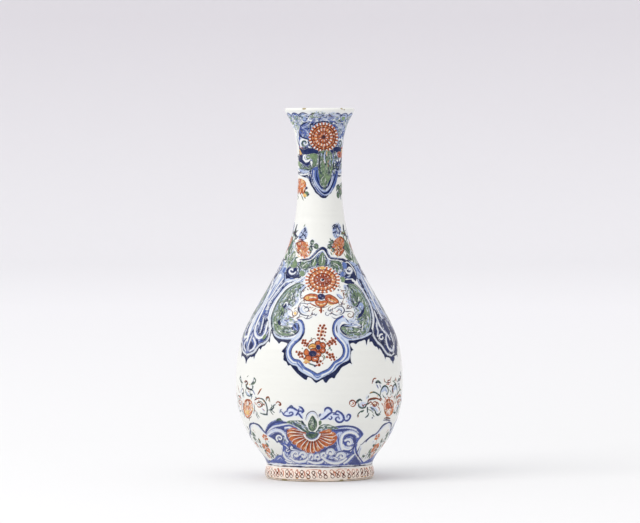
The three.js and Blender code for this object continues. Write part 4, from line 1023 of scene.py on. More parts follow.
    # green acanthus under the chevron
    F(GREEN, [(298.2, 161.4), (300.6, 162), (303.4, 165), (307, 166.8), (311, 165.2), (314.4, 164.4), (314.8, 167.4), (311.6, 169.6), (305, 170),
              (300, 167.4), (298, 164.4)], tone=(0.45, 0.8), axis=[(299, 163), (313, 168)])
    W([(300.4, 162.6), (302.4, 163.4)], 1.2)
    L(LINE, [(306.4, 166.4), (309.4, 167), (312.8, 166.6)], 0.9)
    L(DARK, [(313.4, 164.4), (314, 167), (313.4, 169.4)], 1.1)
    F(GREEN, [(314.6, 160.4), (317.4, 159.4), (320, 160.4), (319.4, 163.4), (316.4, 164.9), (314.2, 163.4)], tone=0.55)
    W([(316, 162.4), (318.9, 161.8)], 0.9)
    L(PALE, [(313, 158.6), (313.4, 161.4), (314.6, 165)], 1.3, tone=0.85)
    L(PALE, [(298.4, 168.6), (302.4, 170.6), (307.4, 171.6), (311.6, 170)], 1.9, tone=0.5, cut=ALL)
    L(BLUE, [(303, 169.2), (307.4, 170), (312, 168.9)], 1.0, tone=0.6)
    # blue bands round the pendant
    F(DARK, [(296.8, 172), (301, 172.2), (304.4, 171.6), (308, 172), (311.4, 170.4), (312.8, 174), (312.2, 178), (313, 182.4), (315, 186),
             (317.2, 189.4), (318.9, 192.4), (321.4, 195.4), (326, 196.4), (326, 198), (321.6, 197.8), (318.6, 195.2), (315.6, 192.8), (313.6, 189.2), (311.2, 185.4),
             (309.4, 181), (307.8, 178.4), (304, 177), (300.4, 175.6)], tone=0.35)
    F(BLUE, [(308.6, 172.8), (311, 172.6), (311.6, 177), (312, 181), (310.8, 181.4), (309, 177.4)], tone=0.8)
    L(PALE, [(302, 171.9), (305.6, 172.4), (309, 171.6)], 1.5, tone=0.2, cut=ALL)
    W([(304.6, 173.8), (307, 174.1)], 0.8)
    F(PALE, [(312.2, 171.6), (314.2, 171), (314.2, 177), (314.8, 182), (317, 184.6), (318.6, 188), (320.6, 191.2), (323, 192.8), (326, 192.8),
             (326, 195.4), (322.6, 195.2), (319.4, 192.6), (317.2, 189), (314.4, 185.6), (312.8, 181.4), (312.2, 177)], tone=0.35)
    L(BLUE, [(312.6, 172), (312.8, 177), (313.4, 181.6), (315.6, 185.6), (317.8, 189.6), (320.6, 193.4)], 0.8, tone=0.35)
    F(DARK, [(314.6, 171), (317, 171.4), (317.2, 176), (317.4, 180), (318.9, 183.6), (320.6, 187.2), (323, 189.2), (326, 189.6), (326, 192),
             (322, 191.8), (319.4, 189.2), (317.4, 185), (315.4, 182.4), (314.6, 178)], tone=0.15)
    L(BLUE, [(315.8, 177), (316.2, 180.4), (317.6, 184)], 1.0, tone=0.9)
    # inside the pendant
    F(GREEN, [(319.6, 150.6), (323, 150), (326, 150.4), (326, 187.4), (322.8, 187), (320.2, 183.6), (318.8, 178), (318.6, 172.4), (319.9, 166), (319, 158)],
      tone=(0.55, 0.75), axis=[(322, 150), (322, 187)])
    F(PALE, [(317.4, 172.6), (319.2, 171.4), (319.4, 175), (319.2, 180), (320.6, 185.4), (322.4, 187.6), (320.6, 188.6), (318.6, 184.4), (317.4, 179)], tone=0.55)
    F(BLUE, [(316, 167.4), (318, 165.4), (319.8, 166.8), (319, 170), (316.8, 171.4), (315.4, 170)], tone=0.5)
    W([(317.4, 171.6), (318.4, 173.8)], 1.1)
    D(LINE, 316.4, 172.4, 1.6)
    D(LINE, 316.4, 175.9, 1.3)
    W([(321.9, 151), (321.6, 155), (322.2, 159)], 1.1)
    F(PALE, [(322.4, 154), (326, 153.6), (326, 161), (323.6, 162.4), (322, 158.4)], tone=1.0)
    F(BLUE, [(323.6, 155.2), (326, 154.8), (326, 159.6), (324.4, 160)], tone=0.35)
    L(GREEN, [(321.4, 163.4), (323.6, 165.4), (326, 165.4)], 1.9, tone=0.9)
    L(GREEN, [(321.2, 170), (322.4, 171.9), (323, 175.4)], 1.5, tone=1.0)
    L(GREEN, [(320.4, 174), (321.4, 178), (321.4, 181.4)], 1.7, tone=1.0)
    L(LINE, [(321.4, 182), (322.4, 184.8), (324.4, 185.2)], 1.2)
    L(PALE, [(323.4, 168), (324, 173), (323.8, 179)], 0.9, tone=0.9)
    W([(320.4, 186), (322.2, 187.4)], 1.3)
    W([(315.4, 165.4), (316.9, 163.9), (319.4, 163.6)], 0.9)
    W([(299, 159.4), (299.8, 161)], 1.0)
    nk = [(2.0, DARK, 0.3, 0), (2.2, GREEN, 1.0, 1), (1.5, GREEN, 0.3, 1), (1.2, PALE, 0.8, 1), (0.5, None, None, 1), (1.4, BLUE, 0.8, 1)]
    strokes(a, [(319, 150), (326, 150), (326, 186), (321, 184), (319, 174)], [(322, 150), (322, 188)], 34, nk, 5, ln=(2.5, 5), w=(0.6, 1.1), spread=0.3)
    strokes(a, [(309, 154), (318, 153.4), (319.4, 160), (319, 170), (311.4, 170.4), (308.6, 165)], [(318, 154), (311, 161), (316, 170)], 24, nk, 6, ln=(2.0, 4.4), w=(0.55, 1.0), spread=0.5)
    strokes(a, [(297, 161), (304, 165.4), (311, 166.4), (311, 170.4), (304, 171), (297.4, 169)], [(297, 163), (304, 168), (312, 168)], 16, nk, 7, ln=(2.0, 4.4), w=(0.55, 1.0), spread=0.3)
    strokes(a, [(298, 172.6), (305, 172.6), (311.6, 171), (312.4, 178), (309.6, 180), (306, 176.6), (300, 175.4)], [(298, 174), (307, 175), (312, 180)], 14,
            [(2, PALE, 0.4, 1), (1.5, None, None, 1), (1.5, BLUE, 0.4, 1)], 8, ln=(2.0, 4.4), w=(0.5, 0.9), spread=0.25)
    strokes(a, [(299.6, 126), (304, 123.6), (309.4, 125), (309, 132), (309, 138), (303, 137.6), (299.4, 134)], [(300, 126), (306, 131), (304, 138)], 12,
            [(2, PALE, 0.7, 1), (2, BLUE, 0.95, 1), (1.5, DARK, 0.2, 0), (0.6, None, None, 1)], 9, ln=(2.0, 4.0), w=(0.5, 1.0), spread=0.5)
    mk = [(1.2, PALE, 0.6, 1), (0.7, None, None, 1), (1.8, GREEN, 0.85, 1), (2.4, DARK, 0.05, 0), (1.3, BLUE, 0.7, 1)]
    strokes(a, [(300, 139), (309.6, 139), (312.4, 146), (319, 149.6), (319.4, 155), (312, 158), (309, 164), (303, 163), (300, 158)], [(301, 140), (310, 150), (306, 162)], 34, mk, 10, ln=(1.8, 4.0), w=(0.5, 1.0), spread=0.7)
    strokes(a, [(299.6, 126), (304, 123), (309.4, 124), (310, 132), (309, 140), (303, 138.4), (299.6, 136)], [(300, 125), (306, 131), (303, 139)], 26,
            [(2, BLUE, 1.0, 1), (2, PALE, 0.9, 1), (1.5, DARK, 0.25, 0), (1.0, PALE, 0.2, 1), (0.7, GREEN, 0.6, 1)], 12, ln=(1.8, 4.0), w=(0.6, 1.2), spread=0.5)
    strokes(a, [(309, 122.6), (316, 121), (325, 121), (325, 123), (316, 124.4), (311, 129), (309.6, 139), (308.4, 130)], [(325, 122), (313, 124), (309, 138)], 16, mk, 11, ln=(1.8, 4.0), w=(0.5, 1.0), spread=0.4)
    for p in [[(322.6, 152.4), (322.2, 157), (322.8, 161.4)], [(319.6, 158), (318.6, 162.4), (319.4, 167)], [(324.9, 163.4), (324.6, 168), (325.4, 172.4)]]:
        W(p, 0.9)
    L(DARK, [(320.6, 150.4), (320.2, 154.4), (320.8, 158.6)], 1.8, tone=0.4)
    L(DARK, [(309.4, 150.6), (313.4, 151.4), (317.6, 150.6)], 2.4, (0.8, 0.6), tone=0.3)
    L(DARK, [(298, 156), (301.4, 159.4), (305.6, 162.8), (308.4, 161.4), (310.4, 158.6)], 1.9, (0.8, 0.4), tone=0.2)
    curl(a, 308.4, 157, 3.6, 5.2, -5.0, 1.7, shrink=0.25)
    W([(309.4, 160.2), (311.4, 162.4), (311.6, 165.6)], 1.4)
    L(GREEN, [(308, 157.6), (310.6, 156.4), (313, 156.8)], 1.9, tone=0.2, cut=ALL)
    curl(a, 304.9, 142.8, 5.0, 2.4, 5.9, 3.6, ch=PALE, tone=0.55, shrink=0.15)
    curl(a, 304.9, 142.8, 5.0, 2.4, 5.9, 2.3, shrink=0.15)
    curl(a, 304.9, 142.9, 2.9, 2.2, 5.4, 1.5, ch=GREEN, tone=1.0, shrink=0.3, cut=())
    D(PALE, 305, 143, 1.5, tone=0.6)
    F(DARK, [(303.4, 148.6), (306.6, 149.4), (309.4, 148.2), (311.4, 149.8), (310.4, 153), (306.6, 153.6), (303.6, 152)], tone=0.0)
    F(DARK, [(312.6, 150.6), (315.4, 148.8), (318.4, 150), (318, 153), (314.4, 153.6)], tone=0.05)
    W([(311.6, 147.6), (312.2, 150), (311.8, 152.4)], 1.0)
    L(BLUE, [(304.6, 150.6), (307.4, 151.6), (309.6, 150.8)], 1.1, tone=0.5, cut=ALL)
    # white ribbon of the chevron with a green heart
    curl(a, 307.6, 158.4, 4.6, 4.4, -5.6, 3.4, ch=BLUE, tone=0.9, shrink=0.2)
    curl(a, 307.6, 158.4, 4.6, 4.4, -5.6, 2.2, shrink=0.2)
    L(GREEN, [(306.4, 157.4), (308.4, 158.6), (310.4, 157.6)], 1.9, tone=0.4, cut=ALL)
    tk = [(2.0, BLUE, 0.65, 1), (1.8, GREEN, 0.8, 1), (1.4, DARK, 0.3, 0), (1.4, PALE, 0.9, 1), (1.0, BLUE, 0.25, 1)]
    strokes(a, [(310.6, 172), (319, 170), (319.4, 182), (322.6, 188), (326, 189), (326, 197), (319, 192.6), (313, 184)], [(315, 172), (316, 182), (321, 191), (326, 194)], 60, tk, 14, ln=(2.2, 5.0), w=(0.6, 1.2), spread=0.3)
    strokes(a, [(318.4, 152), (326, 150), (326, 188), (321.6, 186), (318.4, 176)], [(322, 151), (322, 187)], 50, [(2.2, GREEN, 0.55, 1), (2.0, GREEN, 1.0, 1), (1.2, PALE, 0.9, 1), (1.2, DARK, 0.5, 0), (0.5, None, None, 1)], 15,
            ln=(2.4, 6.0), w=(0.6, 1.2), spread=0.18)
    # ribbons of the pendant
    for q, w in (([(311.4, 172.4), (312.2, 178), (313.4, 182.4), (316.2, 187), (319, 191.2), (322.4, 194.2), (326, 194.9)], 1.9), ([(315, 172.6), (315.2, 178), (316.6, 183), (319.4, 187.6), (322.4, 190.6), (326, 191)], 1.2)):
        L(BLUE, q, w + 1.4, tone=0.8, cut=ALL)
        L(PALE, q, w, (1, 1), tone=0.25, cut=ALL)
        W(shift(q, -0.3), w * 0.35, (1, 1))
    for q in ([(309.4, 174), (310.2, 178), (311.4, 182.4)], [(313.6, 174), (313.9, 179), (315.2, 184)], [(318, 188.6), (320.4, 191.6), (323.6, 193.2)], [(316.9, 176), (317.4, 180.6), (319.6, 185.2)]):
        L(DARK, q, 1.3, (0.5, 0.5), tone=0.1)
    W([(299, 173.6), (303, 174.6), (306.6, 174.2), (309.4, 172.6)], 1.3)
    W([(308.4, 146.4), (310.4, 148), (311.6, 149.9)], 1.6)
    return a


def neck_extra():
    a = Art()
    F, L, W, D = a.fill, a.line, a.white, a.dot
    # arc over the rosette
    L(BLUE, [(311, 125), (314.6, 121.6), (319.4, 120), (324.6, 119.9), (330, 120.6), (334.6, 122.4), (338, 126)], 1.8, (0.5, 0.6), tone=0.5)
    L(LINE, [(315, 121.6), (319.6, 122), (324, 121.4), (328.4, 122.4)], 1.7)
    for i in range(13):                       # blue and green dabs round the flower
        an = 2 * math.pi * i / 13 + 0.2
        L((BLUE, GREEN, DARK)[i % 3], [(323.6 + 15.4 * math.cos(an), 137.2 + 15.4 * math.sin(an)), (323.6 + 16.4 * math.cos(an + 0.25), 137.2 + 16.4 * math.sin(an + 0.25))], 1.4, tone=(0.6, 0.4, 0.2)[i % 3])
    F(BLUE, [(299.6, 128.6), (301.6, 125.4), (305.4, 123.2), (309, 124.2), (310.6, 128), (309.6, 134), (309.4, 138.6), (305.4, 138.9), (301, 136.4), (299.4, 132.6)], tone=(0.9, 0.5), axis=[(300, 126), (308, 138)])
    L(DARK, [(300.4, 126.6), (303.4, 123.9), (307, 122.6), (310.4, 124.4), (311, 128.6)], 1.4, (0.5, 0.5), tone=0.4)
    L(DARK, [(299.4, 133.6), (301.9, 137), (306, 138.6), (309.6, 139.6)], 1.5, (0.5, 0.5), tone=0.3)
    L(PALE, [(302.4, 128.4), (304.9, 126.6), (307.4, 127.6)], 1.1, (0.5, 0.5), tone=0.6, cut=ALL)
    L(BLUE, [(303.6, 131.4), (306.4, 132.6), (307.6, 135.6)], 1.0, (0.5, 0.5), tone=0.15, cut=ALL)
    strokes(a, [(300, 128), (303, 124.6), (308, 123.6), (310, 128), (309, 136), (305, 138), (301, 135)], [(301, 127), (306, 131), (305, 137)], 26,
            [(2, BLUE, 1.0, 1), (2, PALE, 1.0, 1), (1.4, DARK, 0.4, 0), (0.8, GREEN, 0.6, 1), (0.5, PALE, 0.2, 1)], 19, ln=(1.8, 4.0), w=(0.5, 1.0), spread=0.5)
    F(BLUE, [(334.6, 124.4), (338, 124), (341.4, 127.4), (342, 134), (340.6, 139), (338.6, 134)], tone=0.5)
    strokes(a, [(334, 121), (340, 118), (344, 124), (342.6, 134), (340.4, 140), (338.4, 132)], [(336, 121), (341, 128), (340.6, 139)], 36,
            [(2, GREEN, 0.6, 1), (1.6, PALE, 0.9, 1), (1.6, DARK, 0.4, 0), (1.2, BLUE, 0.3, 1)], 20, ln=(1.8, 4.4), w=(0.5, 1.0), spread=0.3)
    rosette(a, 323.6, 137.2, 14.4, [
        ("disc", 1.0, RED, 0.6, 26), ("rays", 0.875, 0.985, 26, 1.25, 0.5), ("disc", 0.84, RED, 1.0), ("ring", 0.83, 1.1, BROWN), ("ring", 0.68, 1.0, BROWN), ("disc", 0.62, RED, 0.8),
        ("rays", 0.47, 0.60, 17, 1.1), ("ring", 0.42, 1.1, BROWN), ("disc", 0.40, RED, 1.0), ("ring", 0.34, 0.6, BROWN), ("rays", 0.20, 0.30, 9, 0.6), ("disc", 0.16, BROWN, None)])
    strokes(a, [(323.6 + 13.6 * math.cos(0.42 * i), 137.2 + 13.6 * math.sin(0.42 * i)) for i in range(15)], [(316, 131), (331, 143)], 46,
            [(2, RED, 0.1, 0), (1, RED, 0.45, 0), (0.7, YELLOW, 0.1, 0)], 207, ln=(1.4, 3.4), w=(0.35, 0.7), spread=1.4)
    for i in range(26):
        an = 2 * math.pi * i / 26
        L(BROWN, [(323.6 + 12.2 * math.cos(an), 137.2 + 12.2 * math.sin(an)), (323.6 + 14.3 * math.cos(an), 137.2 + 14.3 * math.sin(an))], 0.6, (1, 0.5))
    for i in range(34):
        an = 2 * math.pi * (i + 0.5) / 34
        L(BROWN if i % 2 else YELLOW, [(323.6 + 9.4 * math.cos(an), 137.2 + 9.4 * math.sin(an)), (323.6 + 11.5 * math.cos(an), 137.2 + 11.5 * math.sin(an))], 0.6, (0.5, 1), tone=0.7, cut=() if i % 2 else ALL)
    D(LINE, 323.7, 137.2, 1.7, cut=())
    F(BLUE, [(312, 170), (319, 168), (320, 184), (324, 190.4), (328, 189), (331, 183), (334.6, 172), (338, 172), (336, 184), (331, 192.4), (325, 196), (319.4, 193.4), (314.4, 185.6)], tone=0.7, cut=ALL)
    L(DARK, [(310.6, 170.4), (311.6, 176), (313.4, 182), (316.9, 187.6), (320.4, 191.6), (324.4, 193.4), (328.4, 191.6), (331.6, 186.4), (334.9, 178.6), (336.9, 171)], 1.5, (0.7, 0.7), tone=0.35)
    L(PALE, [(314, 170.6), (313.9, 176.4), (315.4, 181.4), (318.4, 186.6), (321.9, 190.2), (325.6, 190.9), (329, 188.6), (331.6, 183.4), (333.6, 176.4)], 1.2, (0.7, 0.7), tone=0.3, cut=ALL)
    L(PALE, [(312.4, 177), (314.6, 183.4), (318, 189), (321.9, 193.4), (325.6, 194.9), (329.6, 193), (332.9, 187.6)], 0.9, (0.7, 0.7), tone=0.15, cut=ALL)
    L(DARK, [(316.9, 170.4), (316.6, 176), (318.2, 181.4), (321, 186.4), (324.4, 188.4), (327.9, 186.6), (330.4, 181), (331.9, 175)], 1.3, (0.7, 0.7), tone=0.2)
    F(GREEN, [(319.6, 153), (322.4, 150.4), (328.6, 150.6), (332, 154.4), (333, 163), (332.4, 171), (330.4, 178.4), (327.4, 184), (324, 186.6), (320.9, 182.4), (318.9, 175.6), (318.2, 165)], tone=(0.75, 0.45), axis=[(319, 166), (332, 166)])
    strokes(a, [(319.6, 153), (326, 150), (332, 154), (332, 170), (328, 182), (324, 186), (320, 180), (318.6, 166)], [(325, 151), (324.6, 186)], 46, [(2, GREEN, 0.1, 1), (2.4, GREEN, 1.0, 1), (0.9, PALE, 0.8, 1), (0.7, DARK, 0.6, 0),
            (0.35, None, None, 1), (0.6, YELLOW, 0.5, 1)], 18, ln=(2.4, 5.6), w=(0.5, 1.0), spread=0.15)
    L(LINE, [(320.2, 151.4), (319.4, 158), (319.6, 166), (320.4, 173)], 1.2, (0.5, 0.5))
    L(PALE, [(325.4, 151), (324.4, 157), (325.2, 163)], 1.3, (0.5, 0.5), tone=0.5, cut=ALL)
    L(LINE, [(328.6, 152), (329.4, 158), (328.6, 165), (329.6, 172)], 0.8, (0.5, 0.5))
    F(DARK, [(299.6, 147.4), (304, 149.6), (308.4, 148), (313, 148.4), (318.4, 150.6), (317.6, 153.4), (312, 153.6), (307.4, 154.6), (302.4, 153.6)], tone=0.1)
    F(DARK, [(299, 156.6), (303.4, 160), (306.4, 163), (309, 161.6), (311, 159), (309.6, 164.4), (306, 165.4), (301.6, 163), (298.4, 160)], tone=0.1)
    F(GREEN, [(309.4, 154.6), (313.6, 153.4), (317.6, 154.6), (317.4, 160), (316, 166), (312.4, 167), (313, 161), (310.6, 158)], tone=(0.5, 0.9), axis=[(311, 156), (315, 166)])
    F(DARK, [(333.4, 148), (337, 146.6), (341, 148), (341, 153), (337.4, 152.4), (334, 151.6)], tone=0.2)
    F(RED, [(337.6, 152.4), (340, 151.4), (341.8, 153.6), (341.4, 157.4), (338.6, 157.4), (337.2, 155)], tone=0.9)
    L(BROWN, [(338.6, 153), (340, 155), (339.6, 157)], 1.3)
    L(DARK, [(338.9, 158), (338.2, 164), (339, 170)], 2.0, (0.5, 0.5), tone=0.2)
    L(GREEN, [(336.4, 157), (335.9, 163), (336.6, 169)], 1.6, (0.5, 0.5), tone=0.9)
    strokes(a, [(329, 152), (340, 150), (340, 172), (335, 174), (329, 178)], [(333, 152), (334, 178)], 44, [(2, GREEN, 0.35, 1), (1.6, DARK, 0.6, 0), (1.6, PALE, 0.9, 1), (1.2, LINE, None, 0), (1.2, BLUE, 0.9, 1)], 16,
            ln=(2.6, 6.5), w=(0.6, 1.1), spread=0.12)
    strokes(a, [(309, 113.4), (318, 112.8), (330, 113), (340, 114), (338, 121.4), (333, 121), (326, 119.6), (318, 119.6), (311, 122)], [(308, 117), (324, 115.6), (342, 117)], 90,
            [(1.6, BLUE, 0.9, 1), (0.7, DARK, 0.6, 0), (2.4, PALE, 1.0, 1), (1.4, GREEN, 0.3, 1), (0.6, BROWN, None, 0), (1.2, None, None, 1)], 17, ln=(1.8, 4.4), w=(0.5, 1.0), spread=0.3)
    for u in range(8):
        an = u * math.pi / 4 + 0.3
        L(RED, [(323.6 + 4.2 * math.cos(an), 137.2 + 4.2 * math.sin(an)), (323.6 + 5.2 * math.cos(an), 137.2 + 5.2 * math.sin(an))], 1.2, tone=0.3)
    strokes(a, [(303, 112.6), (312, 111.6), (322, 111.4), (333, 112), (342, 113.4), (343, 119), (336, 119), (330, 117.6), (322, 117), (314, 118), (308, 120.6), (303, 120)], [(304, 116.4), (322, 114), (342, 116)], 60,
            [(2.2, None, None, 1), (2.0, PALE, 0.45, 1), (1.0, GREEN, 0.15, 1), (0.7, BLUE, 0.3, 1)], 208, ln=(1.8, 4.6), w=(0.5, 1.0), spread=0.4)
    strokes(a, [(332, 121), (338, 118), (343, 122), (342, 134), (339.4, 138), (336.4, 128)], [(334, 120.6), (340, 126), (340, 137)], 30,
            [(2.2, PALE, 0.5, 1), (1.6, None, None, 1), (1.0, GREEN, 0.4, 1)], 209, ln=(1.8, 4.2), w=(0.5, 0.9), spread=0.35)
    strokes(a, [(306, 119), (312, 118), (322, 117), (332, 118), (340, 121), (341, 126), (336, 125), (330, 122.4), (323, 121.4), (315, 122.4), (310, 126), (305, 126)], [(306, 123.6), (314, 120.4), (323, 119.2), (332, 120.4), (340, 124)], 46,
            [(2.2, PALE, 0.75, 1), (1.6, BLUE, 0.2, 1), (1.2, None, None, 1)], 210, ln=(2.0, 4.6), w=(0.5, 1.0), spread=0.3)
    strokes(a, [(323.6 + 13.2 * math.cos(0.42 * i), 137.2 + 13.2 * math.sin(0.42 * i)) for i in range(15)], [(314, 130), (324, 137), (333, 144)], 120,
            [(2, RED, 0.0, 0), (2, YELLOW, 0.0, 0)], 211, ln=(1.4, 3.6), w=(0.4, 0.75), spread=1.4)
    return a


def neck_between():
    """Sprigs that hang between two neck panels."""
    a = Art()
    F, L, W, D = a.fill, a.line, a.white, a.dot
    for dx in (-5.2, -2.6, 0.0, 2.6):
        petal(a, RED, [(299.4 + dx * 0.4, 179), (301.6 + dx, 181), (302.8 + dx * 1.15, 187), (301.8 + dx * 1.2, 192.6), (300.2 + dx * 1.0, 194), (299 + dx * 0.9, 188)], (0.2, 0.75),
              w=0.6, axis=[(303 + dx, 186), (298 + dx, 190)])
        W([(300.2 + dx * 0.9, 183), (301.4 + dx * 1.1, 188), (300.8 + dx * 1.1, 192)], 0.8)
    L(BROWN, [(304.4, 180.4), (305.8, 184), (305.6, 189), (303.9, 193.6)], 0.9)
    D(LINE, 306.6, 188, 2.8)
    F(GREEN, [(304.6, 192.4), (307.4, 191.4), (309.6, 194), (307.6, 196.4), (304.6, 196)], tone=0.6)
    D(LINE, 308.6, 194.4, 1.8)
    F(YELLOW, [(303.6, 193.6), (306, 194), (306.4, 196.6), (303.6, 196.8)], tone=0.2)
    L(GREEN, [(301.4, 194.6), (302.4, 197.4), (303.8, 200.6)], 1.2, tone=0.8)
    L(GREEN, [(304.4, 196.4), (305.4, 198.4)], 1.3, tone=0.5)
    L(GREEN, [(297, 194.4), (298.2, 197), (297.4, 199.4)], 1.2, tone=0.6)
    strokes(a, [(297.6, 178), (302.6, 177.4), (306.4, 182), (306.6, 189), (302.4, 193.6), (298, 192)], [(299, 178), (304, 185), (301, 193)], 40,
            [(2.2, YELLOW, 0.1, 1), (1.8, RED, 0.1, 1), (1.5, None, None, 1), (1.0, BROWN, None, 0), (0.8, RED, 0.8, 1)], 136, ln=(1.8, 4.0), w=(0.5, 1.0), spread=0.25)
    strokes(a, [(296.8, 177.6), (302.6, 177), (306.6, 182), (306.8, 189), (302.6, 194), (297.6, 192.4)], [(299, 178), (304, 185), (301, 193)], 34,
            [(2, YELLOW, 0.25, 0), (1, RED, 0.0, 0)], 212, ln=(1.8, 4.2), w=(0.5, 1.0), spread=0.5)
    return a


def neck_sprig():
    """Green sprig that hangs between two neck panels, on their other side."""
    a = Art()
    F, L, W, D = a.fill, a.line, a.white, a.dot
    for p, w, t in [([(341.6, 182), (340.2, 186), (338.4, 190), (337.2, 194)], 1.6, 1.0), ([(339.4, 184), (337.4, 187.6), (336.4, 191)], 1.5, 0.7), ([(342, 186), (341.4, 190.6), (340.6, 195), (340.8, 199)], 1.9, 1.0),
                    ([(338.4, 189), (339.6, 192.6), (340.2, 196)], 1.6, 0.8), ([(341, 187), (338.9, 188.4), (337, 188.4)], 1.1, 0.4), ([(342, 192), (340, 193.6), (338, 193.4)], 1.2, 0.9), ([(341.2, 182), (342.2, 184.8)], 1.4, 0.3)]:
        L(GREEN, p, w, (0.5, 0.6), tone=t, cut=ALL)
    L(YELLOW, [(339.6, 190.4), (340.4, 193)], 0.8, tone=0.7)
    L(LINE, [(340.4, 195.4), (341, 199.6)], 0.9)
    D(DARK, 338, 192.4, 1.3, tone=0.3)
    for p, tn in [([(336.4, 186), (338.4, 184.6), (339.8, 187), (338.6, 190), (336.8, 189)], 0.95), ([(338.8, 189.4), (341, 188.4), (342, 191.6), (340.8, 195), (338.8, 193.4)], 0.8),
                  ([(337, 192), (338.8, 193.4), (339.6, 197), (338, 198.4), (336.6, 195.4)], 0.9), ([(340.4, 183.6), (342.2, 183), (342.8, 186), (341.2, 188)], 0.7)]:
        F(GREEN, p, tone=tn, cut=ALL)
        L(LINE, p[:3], 0.7, (0.5, 0.5))
    D(RED, 340.2, 188.6, 1.3, tone=0.4)
    return a


def under_lip():
    """Scalloped band under the lip."""
    a = Art()
    a.tr = polar
    F, L = a.fill, a.line
    n = 18
    rng = np.random.default_rng(11)
    for i in range(n):
        c = 20.0 * i + 11 + rng.uniform(-1.2, 1.2)
        h = 9.6 + rng.uniform(-0.5, 0.4)
        z0 = 255.4 + rng.uniform(-0.25, 0.25)
        lobe = [(c - h, z0 + 0.2), (c - h * 0.75, z0 - 2.6), (c - h * 0.35, z0 - 4.6), (c, z0 - 5.4), (c + h * 0.4, z0 - 4.5), (c + h * 0.8, z0 - 2.6), (c + h, z0 + 0.2)]
        F(PALE, lobe, tone=0.7 + 0.3 * rng.random(), cut=())
        for k in range(9):
            u, v = rng.uniform(-0.75, 0.75), rng.uniform(0.5, 4.4)
            L((GREEN, PALE, GREEN, BLUE, LINE)[rng.integers(5)], [(c + h * u - 1.6, z0 - v), (c + h * u, z0 - v + 0.5), (c + h * u + 1.8, z0 - v - 0.1)], 0.7 + 0.5 * rng.random(), (0.5, 0.5), tone=rng.uniform(0.1, 0.9))
        if i % 3 == 0:
            F(BLUE, [(c - h * .8, z0 - 1.6), (c - h * .3, z0 - 3.9), (c + h * .3, z0 - 3.8), (c + h * .8, z0 - 1.4), (c + h * .3, z0 - 0.6), (c - h * .4, z0 - 0.5)], tone=0.15 + 0.45 * rng.random(), cut=())
        L(None, [(c - h * .5, z0 - 1.3), (c, z0 - 0.9), (c + h * .4, z0 - 1.4)], 0.8, cut=ALL)
        t = rng.random()
        if t < 0.5:
            F(GREEN, [(c - h * .5, z0 - 2), (c, z0 - 4.4), (c + h * .5, z0 - 2.2), (c, z0 - 1.4)], tone=0.1 + 0.25 * rng.random(), cut=())
        L(BLUE, [(c - h * 0.8, z0 - 2.4), (c - h * 0.3, z0 - 4.5), (c + h * 0.3, z0 - 4.6), (c + h * 0.8, z0 - 2.4)], 1.0 + 0.5 * rng.random(), (0.5, 0.5), tone=0.35 + 0.3 * rng.random())
        q = [(c - h * 1.05, z0 - 0.9), (c - h * 0.6, z0 + 0.35), (c, z0 + 0.9), (c + h * 0.6, z0 + 0.4), (c + h * 1.05, z0 - 0.9)]
        L(BLUE, q, 1.0 + 0.5 * rng.random(), (0.6, 0.6), tone=0.3 + 0.5 * rng.random(), cut=ALL)
        L(LINE, q, 0.6 + 0.4 * rng.random(), (0.4, 0.4), cut=())
        L(GREEN if t < 0.4 else BLUE, [(c - h, z0 - 5.6), (c - h * 0.3, z0 - 6.4), (c + h * 0.6, z0 - 6.0), (c + h, z0 - 5.2)], 1.6 + rng.random(), (0.5, 0.5), tone=0.2 + 0.5 * rng.random())
        L(DARK, [(c + h * 0.95, z0 - 0.6), (c + h * 1.05, z0 - 2.2)], 1.3, (1, 0.5), tone=0.5)
    # lobes hanging below
    for i in range(n // 2):
        c = 40.0 * i + 31 + rng.uniform(-3, 3)
        L(BLUE, [(c - 9, 249.4), (c - 4, 247.4), (c + 2, 247.2), (c + 8, 249.2)], 1.0, tone=0.25)
        L(PALE, [(c - 8, 248.4), (c, 246.2), (c + 8, 248.2)], 1.6, tone=0.35)
    for i in range(150):
        c = 360.0 * i / 150 + rng.uniform(-3, 3)
        z = rng.uniform(244.6, 251.6)
        L((PALE, GREEN, BLUE, PALE, None)[i % 5], [(c - 3, z), (c, z - 0.9 + rng.uniform(-1, 1)), (c + 3, z - 0.2)], 0.7 + 0.8 * rng.random(), tone=(0.8, 0.3, 0.35, 0.3, None)[i % 5], cut=ALL)
    return a


# ------------------------------------------------------- flowers of the shoulder

